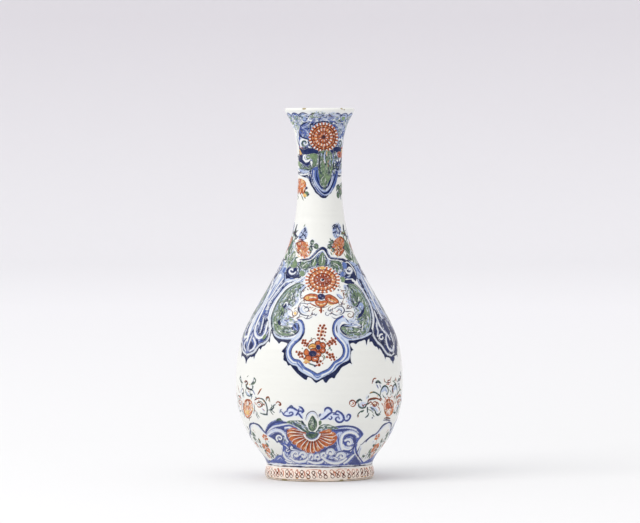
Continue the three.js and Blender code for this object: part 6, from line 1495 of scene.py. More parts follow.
def side_b():
    """Inside of a side lambrequin, the half beside the right scroll."""
    a = Art()
    F, L, W, D = a.fill, a.line, a.white, a.dot
    F(PALE, [(357, 275.6), (361.6, 283), (366, 292), (370.6, 301), (373.4, 309), (374.2, 318), (373, 326), (373.8, 334), (377, 340), (382, 344), (385, 350), (388.6, 354), (392.4, 354.6),
             (394.4, 350), (395, 340), (393.2, 331), (389.6, 322), (384.6, 313), (378.2, 303), (371.6, 292), (365.6, 282), (361, 275)], tone=0.8)
    F(DARK, [(373.4, 309), (378, 312), (386, 317), (391, 325), (395, 338), (394.8, 352), (388.6, 354), (385, 350), (382, 344), (377, 340), (373.8, 334), (373, 326), (374.2, 318)], tone=0.5)
    kk = [(1.6, BLUE, 0.7, 1), (1.6, PALE, 0.9, 1), (2.6, None, None, 1), (2.0, DARK, 0.2, 0), (1.6, LINE, None, 0)]
    strokes(a, [(361, 278), (368, 290), (376, 304), (384, 317), (390, 330), (393, 340), (386, 330), (380, 318), (373, 304), (366, 290)], [(360, 278), (370, 296), (379, 312), (387, 330), (393, 352)], 130, kk, 361,
            ln=(2.6, 6.4), w=(0.55, 1.1), spread=0.2)
    strokes(a, [(374.6, 318), (384, 315), (390, 322), (394.6, 336), (394.6, 352), (388, 352), (384, 345), (378, 340), (374.4, 334)], [(377, 318), (386, 336), (393, 352)], 100,
            [(2, BLUE, 0.8, 1), (1.6, None, None, 1), (2, DARK, 0.1, 0), (1, PALE, 0.8, 1)], 362, ln=(2.4, 5.4), w=(0.6, 1.2), spread=0.25)
    strokes(a, [(364, 280.4), (366, 281.6), (372, 292), (378.6, 303), (385, 313), (390, 322), (393, 331), (389, 328), (383.4, 316), (376.6, 304), (370, 293)], [(365, 281), (378, 303), (391, 327)], 90,
            [(2.0, BLUE, 0.6, 1), (1.6, BLUE, 0.9, 1), (1.8, None, None, 1), (1.2, PALE, 0.3, 1), (1.2, DARK, 0.3, 0)], 363, ln=(2.6, 6.4), w=(0.5, 1.1), spread=0.16)
    for i, (x, y) in enumerate([(360.4, 281.4), (362.4, 286.2), (364.8, 291.6), (367.2, 296.9), (369.6, 302.4), (371.8, 307.8), (373.6, 313)]):
        F(DARK, [(x - 1.3, y - 2.6), (x + 0.4, y - 2.0), (x + 1.9, y + 0.6), (x + 1.8, y + 2.7), (x + 0.0, y + 1.9), (x - 1.1, y - 0.4)], tone=0.15 + 0.1 * (i % 3))
    L(LINE, [(365.4, 277.6), (370.6, 286.6), (375.6, 295.4), (380.4, 304.4), (384.6, 311.6), (388.6, 319)], 1.3)
    W([(366.8, 279.4), (372.4, 288.6), (377.6, 297.6), (382.4, 306)], 0.8)
    L(LINE, [(368.4, 281.4), (373.6, 290), (379, 299), (384, 308.4), (388.4, 316.6)], 1.0)
    brim(a, [(361, 276.6), (366.9, 287.6), (372.4, 298.6), (377.2, 308.4), (381.8, 317.4), (387, 326.6), (391.2, 334), (393, 341)], 2.0, tone=1.0)
    # navy leaves and white ribbons
    for q in [[(374.2, 317.6), (376.2, 318.4), (376.3, 324.8), (375.2, 328.6), (373.6, 326.4)], [(378.4, 318.4), (380.4, 321.6), (381.4, 327), (380, 329.6), (378.2, 325.4)],
              [(382.6, 318.4), (385.6, 321.6), (388, 326.6), (390.4, 332), (389, 334.4), (385.8, 330.6), (383.6, 326), (382.2, 321.6)],
              [(387.9, 317.6), (390.8, 321.6), (393.4, 326.6), (394.8, 333.4), (392.8, 332.6), (390, 326.6), (388, 321)], [(378.6, 331.8), (381.8, 330.6), (384.6, 333), (385.4, 338), (382.8, 342), (379.6, 340), (378, 335.6)],
              [(386.8, 338), (388.4, 337.4), (390.4, 341.6), (391.4, 346.6), (389.4, 348), (387.4, 343.4)], [(394.9, 336), (396.6, 342), (396.6, 350), (395, 354.6), (394.2, 347), (394.4, 341)],
              [(384.8, 345.4), (386.8, 345), (388.2, 349), (390, 352.4), (387.4, 352.2), (385.4, 349.4)], [(375, 328.6), (376.8, 330), (378, 334.6), (376.6, 336.4), (374.9, 332)]]:
        F(DARK, q, tone=0.0)
    brim(a, [(374.6, 311.4), (376.9, 318.2), (379.8, 325.4), (383.4, 330.6), (387.4, 334.4), (390, 339)], 2.0, tone=1.0)
    brim(a, [(377.2, 321), (377, 326.6), (378.2, 331.6), (377.8, 336)], 1.5, tone=1.0)
    L(DARK, [(377.9, 322.4), (378.4, 327.4)], 0.7, tone=0.3)
    curl(a, 382, 337.4, 3.4, 4.9, -5.4, 1.7, shrink=0.25, n=12)
    brim(a, [(386.6, 333.4), (386.2, 338.4), (387.4, 344.4), (389.4, 349), (392.4, 350.4), (393.8, 345.8)], 1.8, tone=1.0)
    L(None, [(393, 334), (394.2, 340), (394.4, 347), (393.4, 353)], 1.4, cut=ALL)
    L(GREEN, [(392.3, 331.4), (394, 335.4)], 1.3, tone=0.8)
    p = [(372.6, 329.4), (373.6, 335.4), (377, 341.4), (381.6, 345.8), (384.6, 350.4), (387.6, 354), (392, 355.6)]
    a.line(DARK, p, 3.8, (0.8, 0.8), tone=0.3, cut=ALL)
    a.line(None, p, 2.1, (0.7, 0.7), cut=ALL)
    L(PALE, p, 0.8, (0.6, 0.6), tone=0.5)
    F(DARK, [(391.4, 356.6), (394, 356), (395, 358.4), (393.6, 361.6), (391.4, 360)], tone=0.1)
    return a


def side_top():
    """Shoulder over a side lambrequin: blue strokes, white curls, leaves."""
    a = Art()
    a.tr = polar
    F, L, W, D = a.fill, a.line, a.white, a.dot
    F(PALE, [(-18, 142), (-9, 141), (0, 141.6), (9, 141), (18, 142), (19, 147), (17, 151.6), (9, 152.6), (0, 152), (-9, 152.8), (-17, 151.6), (-19, 147)], tone=0.75)
    for m in (-1, 1):
        F(DARK, [(m * 8.6, 143.4), (m * 12, 143), (m * 17, 143.6), (m * 21, 145), (m * 18, 146.2), (m * 13, 145.8), (m * 10, 145)], tone=0.3)
        F(DARK, [(m * 10, 149.2), (m * 14, 150.4), (m * 18, 150), (m * 22, 148.2), (m * 19, 151.4), (m * 14, 152), (m * 10, 151)], tone=0.35)
        W([(m * 10.6, 147), (m * 13, 148.4), (m * 16.6, 148.2), (m * 18.8, 146.8)], 2.2, (0.8, 0.6))
        F(BLUE, [(m * 2, 144), (m * 5, 143.4), (m * 8, 145), (m * 7, 147.8), (m * 3.6, 148.4), (m * 1.6, 146.8)], tone=0.5)
        W([(m * 1.6, 142.8), (m * 5, 142.3), (m * 9, 143)], 1.0)
        L(LINE, [(m * 2, 149.6), (m * 5.6, 149.2), (m * 9, 150)], 1.3)
        L(DARK, [(m * 6, 152.8), (m * 10, 153.8), (m * 15, 153.2)], 1.3, tone=0.5)
        F(GREEN, [(m * 0.6, 153.6), (m * 5, 152.8), (m * 11, 154.4), (m * 15, 155), (m * 10.6, 157.4), (m * 5, 158.4), (m * 0.6, 157)], tone=(0.9, 0.5), axis=[(0, 153), (m * 12, 157)])
        F(GREEN, [(m * 0.4, 158.2), (m * 4, 159.4), (m * 9, 159.6), (m * 13, 161), (m * 9, 164), (m * 4.4, 165.6), (m * 0.4, 163.8)], tone=(0.6, 0.9), axis=[(0, 159), (m * 10, 163)])
        L(LINE, [(m * 1, 155.2), (m * 6, 155), (m * 12, 155.8)], 0.8)
        L(GREEN, [(m * 1.6, 166.4), (m * 4.4, 168.6), (m * 6, 171.6)], 1.8, tone=0.7)
        W([(m * 3, 158.9), (m * 8, 158.4), (m * 13, 159)], 0.9)
    return a


# ------------------------------------------------------------- belly sprays

def aster(a, x, y, w, h, seed, lean=0.0, dark=0.5):
    """Open flower seen from the side: upright petals, dark at their tips, pale ribs."""
    F, L, W, D = a.fill, a.line, a.white, a.dot
    g = np.random.default_rng(seed)
    n = 7
    F(RED, [(x - 0.5 * w, y - 0.22 * h), (x - 0.3 * w, y - 0.46 * h), (x + 0.06 * w, y - 0.5 * h), (x + 0.4 * w, y - 0.4 * h), (x + 0.52 * w, y - 0.05 * h), (x + 0.42 * w, y + 0.3 * h), (x + 0.12 * w + lean, y + 0.5 * h),
            (x - 0.16 * w + lean, y + 0.48 * h), (x - 0.42 * w, y + 0.28 * h), (x - 0.54 * w, y)], tone=(0.0, 0.45), axis=[(x, y + 0.4 * h), (x, y - 0.5 * h)])
    for i in range(n):
        u = (i - (n - 1) / 2) / ((n - 1) / 2)
        top = (x + 0.46 * w * u + g.uniform(-0.3, 0.3), y - h * (0.46 - 0.22 * u * u))
        mid = (x + 0.40 * w * u + lean * 0.4, y - 0.02 * h + g.uniform(-0.3, 0.3))
        low = (x + 0.16 * w * u + lean, y + h * (0.47 - 0.12 * u * u))
        if i % 2 == 0:
            L(BROWN, [top, mid], 1.1 + 0.5 * g.random(), (0.9, 0.3), tone=0.5)
        L(RED, [mid, low], 0.8, (0.6, 0.6), tone=0.9)
        if i % 2:
            W([(mid[0], mid[1] - 0.16 * h), low], 0.95)
            L(YELLOW, [(top[0], top[1] + 0.14 * h), mid], 0.8, tone=0.3 + 0.4 * g.random(), cut=ALL)
        L(BROWN, [(top[0] - 0.5, top[1] + 0.6), (top[0], top[1] - 0.3), (top[0] + 0.7, top[1] + 0.5)], 0.8 + 0.5 * dark * g.random(), (0.7, 0.5))
    L(BROWN, [(x - 0.52 * w, y - 0.1 * h), (x - 0.46 * w, y + 0.2 * h), (x - 0.22 * w + lean, y + 0.47 * h)], 0.7, (0.4, 0.8))
    L(BROWN, [(x + 0.52 * w, y - 0.1 * h), (x + 0.46 * w, y + 0.2 * h), (x + 0.2 * w + lean, y + 0.47 * h)], 0.7, (0.4, 0.8))
    D(RED, x - 0.05 * w, y - 0.12 * h, 0.34 * w, tone=0.9)
    D(BROWN, x + 0.02 * w, y - 0.16 * h, 0.22 * w * (0.6 + dark), cut=())
    strokes(a, [(x - 0.5 * w, y - 0.3 * h), (x, y - 0.48 * h), (x + 0.48 * w, y - 0.3 * h), (x + 0.4 * w, y + 0.3 * h), (x + lean, y + 0.5 * h), (x - 0.4 * w, y + 0.3 * h)],
            [(x, y - 0.5 * h), (x + lean, y + 0.5 * h)], 46, [(2.6, None, None, 1), (2.0, YELLOW, 0.1, 1), (1.6, RED, 0.15, 1), (1.0, BROWN, None, 0)], seed + 40, ln=(2.0, 5.0), w=(0.5, 0.95), spread=0.15)


def lines(a, items):
    """Thin strokes: (paint, tone, points, width). Dark ones lie on a green-grey one."""
    for ch, t, pts, w in items:
        if ch == LINE:
            a.line(GREEN, pts, w * 1.15, (0.6, 0.6), tone=0.8)
            a.line(LINE, pts, w * 0.48, (0.5, 0.5))
        elif ch == BROWN:
            a.line(RED, pts, w * 1.0, (0.6, 0.6), tone=0.6)
            a.line(BROWN, pts, w * 0.6, (0.5, 0.5))
        else:
            a.line(ch, pts, w, (0.6, 0.6), tone=t)


def spray_left():
    a = Art()
    F, L, W, D = a.fill, a.line, a.white, a.dot
    aster(a, 248, 408.2, 8.8, 18.4, 411, -0.4, 0.4)
    F(YELLOW, [(245, 411), (247.2, 409.4), (250, 410.6), (250.6, 413.4), (248.6, 415), (245.8, 414.2)], tone=0.15)
    L(RED, [(246.6, 410.4), (247, 414.8)], 0.8, tone=0.7)
    L(RED, [(249.2, 410.6), (249, 414.6)], 0.8, tone=0.9)
    L(BROWN, [(245.6, 415.6), (246.8, 417.6), (249.4, 418), (251.6, 416.4)], 1.0)
    L(BROWN, [(249.4, 418), (249.2, 420.6)], 0.9)
    G, N, B = GREEN, LINE, BROWN
    lines(a, [(G, 1.0, [(253.8, 377.8), (255.7, 380.2), (254.4, 382.5), (251.5, 383.6), (250.6, 385)], 1.3), (N, None, [(252.8, 383), (253.4, 380.6)], 1.2), (B, None, [(244, 382.4), (245.7, 380.8), (247.4, 382.6), (246.2, 384.6)], 1.3),
              (N, None, [(245.4, 384.6), (247.2, 387.4), (249.4, 389.2), (252.2, 389), (253.4, 386)], 1.2), (B, None, [(247.4, 387.8), (250.6, 389.6)], 1.5), (N, None, [(252.2, 385), (252.5, 388.4)], 1.1),
              (BLUE, 0.9, [(252.6, 389.8), (253.6, 391.9), (254.8, 394.6)], 1.1), (G, 1.0, [(246.2, 388.4), (245.6, 391), (246.5, 394)], 1.0), (N, None, [(250, 390.2), (250, 393.4), (251.6, 395.6), (251.2, 399)], 1.0),
              (N, None, [(250, 394.6), (252.6, 394.2)], 1.0), (B, None, [(257.6, 394.6), (259.1, 391.8), (261.4, 388.8)], 1.3), (YELLOW, 0.8, [(259.4, 390), (262, 388.4)], 0.9), (G, 1.0, [(258.2, 393.9), (260.2, 391.2)], 0.8),
              (B, None, [(254.6, 400.2), (257.4, 398.5), (260.2, 398.2)], 1.3), (N, None, [(259.4, 398.2), (262.6, 399.2), (265, 401.8), (266.5, 405.6), (267.4, 410.6), (266.8, 415)], 1.4),
              (G, 1.0, [(264.4, 401.6), (266.4, 406), (267, 411), (266.3, 414.4)], 0.9), (N, None, [(267.6, 414.9), (264, 414.4), (260.2, 413)], 1.1), (G, 1.0, [(266, 414.2), (262.6, 413.6)], 0.8),
              (B, None, [(256.4, 404.4), (257.8, 402.6), (260, 402.8), (261.4, 404.8), (260.4, 406.8), (258, 406.8), (256.8, 405)], 1.1), (N, None, [(258.4, 404.6), (259.6, 404.8)], 0.9), (B, None, [(262, 403.6), (261.6, 405.6)], 0.9),
              (B, None, [(265.8, 399.6), (266.6, 397.3), (268.5, 396.9), (269.3, 398.8), (268.6, 400.9)], 1.1), (G, 0.9, [(267, 397), (268.9, 397.4)], 0.7),
              (N, None, [(268.6, 410), (271.4, 409.6), (273.4, 407.6), (273.5, 405.6), (275.4, 404.6)], 1.2), (N, None, [(270.4, 409.4), (272.4, 410.8)], 1.0), (G, 1.0, [(270.6, 410.8), (271.6, 413), (273.2, 414.6)], 1.1),
              (B, None, [(275.9, 403.4), (277.6, 401.8), (279.9, 402.6), (280.9, 404.4), (279.6, 405.6), (278.6, 404.4)], 1.3), (N, None, [(256.2, 411.4), (256.6, 415.4), (258.4, 418.8)], 0.9), (RED, 0.6, [(254.6, 401.8), (255.6, 404.6)], 1.0),
              (YELLOW, 0.6, [(263, 400.2), (264.6, 402.4)], 0.8), (B, None, [(262.6, 409), (264.6, 410.6)], 0.9), (N, None, [(255.2, 397), (256.8, 398.2)], 1.0), (B, None, [(243, 388), (243.6, 392)], 0.9),
              (N, None, [(243.2, 394), (244.2, 397.6)], 0.9), (RED, 0.5, [(242, 401), (241.6, 407), (242.4, 412)], 1.1), (N, None, [(253.8, 404), (254.4, 408.6), (253.8, 413.4)], 0.9), (B, None, [(254.2, 409.6), (256, 411.6)], 0.9)])
    for x, y, d in [(246, 381.8, 1.9), (252.6, 382.6, 1.8), (250.6, 389.4, 2.0), (248.2, 388, 1.7), (251.6, 395, 1.5), (253.9, 379.4, 1.3), (267.2, 413.8, 1.6), (271.9, 409.1, 1.6), (255.3, 399.3, 1.4)]:
        D(LINE, x, y, d, cut=())
    D(BROWN, 280, 404.4, 1.6, cut=())
    lines(a, [(G, 1.0, [(245, 383), (246.6, 381.2), (247.6, 383.4), (246, 386), (247.4, 388.4), (250.4, 389.6), (252.6, 390.6)], 1.7), (G, 0.8, [(251.8, 384.6), (254.2, 383.4), (255.6, 380.2), (254.4, 377.8)], 1.5),
              (G, 0.9, [(257, 402.6), (259.4, 401.4), (262.2, 402.6), (262.4, 405.8), (259.8, 407.4)], 1.0), (G, 0.8, [(270.4, 408.8), (272, 406.4), (271.2, 404.8)], 1.2), (G, 0.9, [(272.4, 411), (274.6, 412.8)], 1.0),
              (G, 0.7, [(266.4, 400.8), (267.6, 397.4), (269.2, 398.8), (269.8, 401.8)], 1.2), (N, None, [(245.6, 392.4), (247, 395), (249.4, 396.2), (251.4, 395)], 0.9), (G, 0.9, [(257, 411.8), (258, 415.2), (259.6, 417.4)], 1.1),
              (B, None, [(262.8, 405.4), (264, 403.8), (264.6, 405.8)], 0.9), (PALE, 0.6, [(246.4, 392), (249, 395.4), (252.4, 396.2)], 1.4), (PALE, 0.4, [(262, 408.6), (264.4, 411.4)], 1.2), (G, 0.8, [(247, 377), (248.4, 375.6)], 0.8)])
    D(YELLOW, 249.4, 384.6, 1.7, tone=0.3)
    D(RED, 248.6, 391.4, 1.5, tone=0.4)
    D(RED, 258.8, 400.4, 1.2, tone=0.4)
    strokes(a, [(243.4, 399.6), (248, 398.6), (253, 400.4), (254, 408), (251.4, 414.6), (246.6, 414.8), (243.6, 408)], [(248.2, 399.6), (248.6, 414)], 34,
            [(2.4, None, None, 1), (1.6, YELLOW, 0.0, 1), (1.2, RED, 0.0, 1)], 641, ln=(1.8, 4.6), w=(0.5, 1.0), spread=0.4)
    return a


def spray_right():
    a = Art()
    F, L, W, D = a.fill, a.line, a.white, a.dot
    aster(a, 389, 407.6, 9.6, 17.4, 412, -1.0, 0.9)
    F(RED, [(385.4, 404.6), (388.4, 402.6), (391.6, 403.4), (391.8, 407.4), (388.8, 409.4), (385.8, 408.2)], tone=0.9)
    L(BROWN, [(388.4, 403.2), (391, 404.6), (392.4, 407.6)], 1.5)
    W([(387.6, 408.4), (388, 412.6)], 0.8)
    L(YELLOW, [(384.6, 410.6), (385.4, 414.4)], 1.5, tone=0.5)
    L(YELLOW, [(391.4, 410.6), (390, 414.2)], 1.2, tone=0.8)
    L(GREEN, [(392.4, 410.6), (394, 412.8)], 1.1, tone=0.7)
    L(BROWN, [(384.2, 418.4), (387, 417.8), (390.4, 418.6)], 1.7)
    L(LINE, [(383.2, 420.2), (386.6, 419.9), (390.6, 420.6)], 1.3)
    L(BROWN, [(386.8, 415.6), (386.9, 421.4)], 1.2)
    G, N, B = GREEN, LINE, BROWN
    F(PALE, [(381.2, 392.4), (382.2, 388.8), (384.6, 386.4), (386.6, 388.6), (387.2, 392.6), (385.4, 390.6), (383.6, 391.4)], tone=0.2)
    F(PALE, [(360, 403.4), (362.6, 402), (366, 403), (366.6, 406.2), (362.6, 407.4), (359.6, 406)], tone=0.1)
    lines(a, [(N, None, [(380.4, 394.4), (380.9, 391), (382.7, 387.4), (385.1, 385.8), (387.5, 387.4), (388.5, 390.6), (387.2, 395)], 1.5), (G, 1.0, [(381.6, 390), (383.4, 387), (385.4, 386.2)], 1.0),
              (G, 1.0, [(369.6, 393.6), (372.4, 392.4), (375.4, 392.7)], 1.3), (YELLOW, 0.8, [(370, 392.6), (373, 391.6)], 0.8), (N, None, [(375, 392.7), (378.2, 394.3), (380.4, 396.6), (381, 400.4)], 1.3),
              (B, None, [(368, 402), (368.6, 399.8), (371.4, 398.6), (375.4, 398.2), (378.8, 399.2), (380.8, 400.8)], 1.7), (N, None, [(368.4, 400.6), (371.6, 399.6), (376, 399.2)], 1.0), (N, None, [(367.9, 398), (368.6, 395.6)], 1.0),
              (N, None, [(355.8, 403.6), (357.2, 400.9), (360.1, 399.4), (361.8, 400.8)], 1.5), (N, None, [(358.4, 403.8), (359.2, 406.8), (362, 408.2), (365.2, 407.2), (366, 404.9), (367.6, 403.8), (368, 400.9)], 1.4),
              (G, 1.0, [(359.2, 406.2), (361.8, 407.6), (364.4, 407)], 0.9), (N, None, [(362, 404.6), (363, 405.8), (364, 404.6)], 0.9), (G, 1.0, [(357.1, 416.4), (358.6, 413.4), (361.1, 411.3), (363.8, 410.1)], 1.3),
              (B, None, [(357.6, 417.6), (358.6, 415)], 0.9), (N, None, [(367.3, 407.2), (367.5, 410.4), (367.3, 413)], 1.3), (G, 1.0, [(365.2, 417.6), (367.7, 415.5), (368.8, 413)], 1.5), (N, None, [(366, 417.4), (368.4, 415)], 0.9),
              (N, None, [(370, 407.2), (373.2, 408.7), (375.3, 411.3), (376.7, 414.2), (379.6, 413.4), (380.8, 411)], 1.2), (BLUE, 0.9, [(371, 408), (373.6, 411)], 1.1), (N, None, [(375, 412.8), (377.6, 415.4), (380, 414.4)], 1.3),
              (G, 1.0, [(376, 413.8), (378, 415)], 1.0), (B, None, [(349.7, 404.6), (349.7, 401.8), (352.3, 400.2), (355, 401.8), (355.2, 404.8), (352.9, 406.5), (350.6, 405.6)], 1.3),
              (RED, 0.5, [(351.6, 404.6), (353.6, 403.4), (352.2, 402)], 1.0), (N, None, [(350.4, 401.4), (352.6, 400.4)], 0.8), (B, None, [(372.6, 402.6), (374.8, 401.6), (376.8, 403.2), (376.4, 405.6), (374, 406.4), (372.4, 404.8)], 1.2),
              (YELLOW, 0.7, [(374, 404.4), (375, 403.6)], 1.1), (B, None, [(368.2, 404.2), (370.4, 401.9), (372, 403.2)], 1.3), (N, None, [(366.4, 403.8), (369, 403.4)], 1.3), (B, None, [(377, 401.6), (378.6, 404.2), (377.9, 406)], 1.0),
              (B, None, [(372, 383.6), (372.9, 380.4), (374.2, 378.6), (376.2, 378.3)], 1.4), (G, 1.0, [(375.4, 382.6), (378, 380.8), (380.8, 382.8)], 1.5), (N, None, [(376, 383.4), (378.6, 382.2), (381.2, 383.6)], 1.1),
              (BLUE, 0.9, [(376.6, 384.4), (378.4, 388.2)], 1.2), (BLUE, 0.8, [(379.8, 384.6), (380.8, 387.4)], 1.0), (B, None, [(384.2, 378.4), (384.7, 382.4)], 1.0),
              (B, None, [(391.5, 376.8), (390.2, 379.8), (388, 380.6), (388.2, 382.4), (390.2, 382.6), (390.8, 380.8)], 1.2), (RED, 0.6, [(386, 384.4), (388, 384), (389.6, 385)], 1.0), (B, None, [(393.4, 386.6), (392.9, 389.6), (393.5, 393)], 1.5),
              (RED, 0.4, [(392, 394.6), (392.6, 398)], 1.0), (N, None, [(400.6, 372), (401.6, 375.2), (400, 379.2)], 1.7), (G, 1.0, [(398.6, 383), (400, 387.2), (400.7, 392), (399.6, 397)], 1.1), (N, None, [(398.4, 386), (399.6, 389.4), (398.4, 393)], 1.0),
              (G, 0.9, [(396.9, 399.4), (397.6, 403.6)], 1.3), (B, None, [(399, 401), (398.2, 405)], 0.9), (N, None, [(397, 407), (398.2, 410.6), (396.8, 413.6)], 0.9), (B, None, [(396, 378), (396.8, 382)], 0.9), (B, None, [(381.4, 403), (383, 405.4)], 1.0)])
    for x, y, d in [(376.4, 382.4, 1.9), (379.6, 382.6, 2.1), (373, 381.4, 1.4), (388.8, 382.4, 1.4), (393.3, 389, 1.7), (367.6, 408, 1.5), (372.3, 417.8, 1.6), (376.6, 414.2, 1.7), (356.2, 402.6, 1.6), (386.8, 394, 1.5), (398.8, 384, 1.5),
                    (400.6, 376, 1.6)]:
        D(LINE, x, y, d, cut=())
    D(RED, 382, 403.8, 1.5, tone=0.5)
    lines(a, [(G, 0.9, [(370.6, 392.8), (373.6, 391.8), (377.4, 393.6), (379.4, 396.2)], 1.2), (G, 0.9, [(357.4, 403.2), (358.6, 400.8), (361, 400)], 1.2), (B, None, [(362, 404), (363.2, 406.4), (364.6, 404.4), (366.4, 405.6)], 1.0),
              (B, None, [(370.4, 405), (372.4, 403.8), (374.4, 405.2), (376.6, 403.8)], 1.1), (G, 0.8, [(368.4, 409.4), (371.4, 410.8), (373.6, 413.6)], 1.0), (PALE, 0.6, [(357.8, 405.4), (360, 407.2), (364, 407.6)], 1.4),
              (PALE, 0.5, [(371.8, 406.6), (375.4, 408.4), (377.4, 411.6)], 1.6), (PALE, 0.4, [(366.6, 398.6), (367.2, 396.4)], 1.2), (B, None, [(378.6, 399.4), (381, 398.4), (382.4, 400.2)], 1.0), (N, None, [(382.6, 394.6), (384, 397), (386.4, 397.8)], 1.0),
              (G, 0.8, [(384.6, 380.6), (386.4, 382.6), (388.4, 382.2)], 1.1), (B, None, [(389.4, 386.8), (391.2, 385.4), (393, 386.8)], 1.0), (G, 0.9, [(394, 382), (396.4, 384), (396, 387)], 1.1), (N, None, [(389.8, 390), (391.4, 392.6), (390.6, 395.4)], 1.0),
              (PALE, 0.7, [(385.4, 389), (387, 392.6)], 1.2), (B, None, [(387.4, 396), (389.4, 398), (391.8, 396.4)], 1.0), (G, 0.8, [(394.6, 396), (395.4, 400)], 1.2), (B, None, [(377.6, 406.4), (379.4, 408.6), (379, 411)], 1.0),
              (G, 0.9, [(372.6, 414.6), (374.2, 416.8)], 1.1), (G, 0.8, [(361.4, 412.2), (363.6, 410.8)], 1.2)])
    D(YELLOW, 377.4, 395.9, 1.5, tone=0.3)
    strokes(a, [(383.6, 397.4), (389, 396.4), (394.6, 399), (395.4, 407), (392, 413.6), (386.4, 413.6), (383, 406)], [(388.8, 397.6), (389.4, 413)], 36,
            [(2.6, None, None, 1), (1.0, RED, 0.0, 1), (1.0, RED, 0.5, 1)], 642, ln=(1.8, 4.6), w=(0.5, 1.0), spread=0.4)
    return a


# ------------------------------------------------------------ the lower band
def brim(a, pts, w, tone=0.85, core=0.35, tap=(0.7, 0.7)):
    """White stroke with a blue outline and a pale line along it."""
    a.line(BLUE, pts, w + 1.7, tap, tone=tone, cut=ALL)
    a.line(None, pts, w + 0.35, tap, cut=ALL)
    a.line(PALE, shift(pts, 0.3 * w), w * core * 0.7, tap, tone=0.4)


def volute(a, x, y, r, start, turn, w, tone=0.85, shrink=0.22, sx=1.0, core=0.35):
    """Wound white curl with a blue outline."""
    curl(a, x, y, r, start, turn, w + 1.5, ch=BLUE, tone=tone, shrink=shrink, sx=sx, n=12)
    curl(a, x, y, r, start, turn, w + 0.3, shrink=shrink, sx=sx, n=12)
    curl(a, x, y, r + 0.25 * w, start, turn * 0.6, w * core * 0.7, ch=PALE, tone=0.4, shrink=0.5, sx=sx, n=9, cut=())


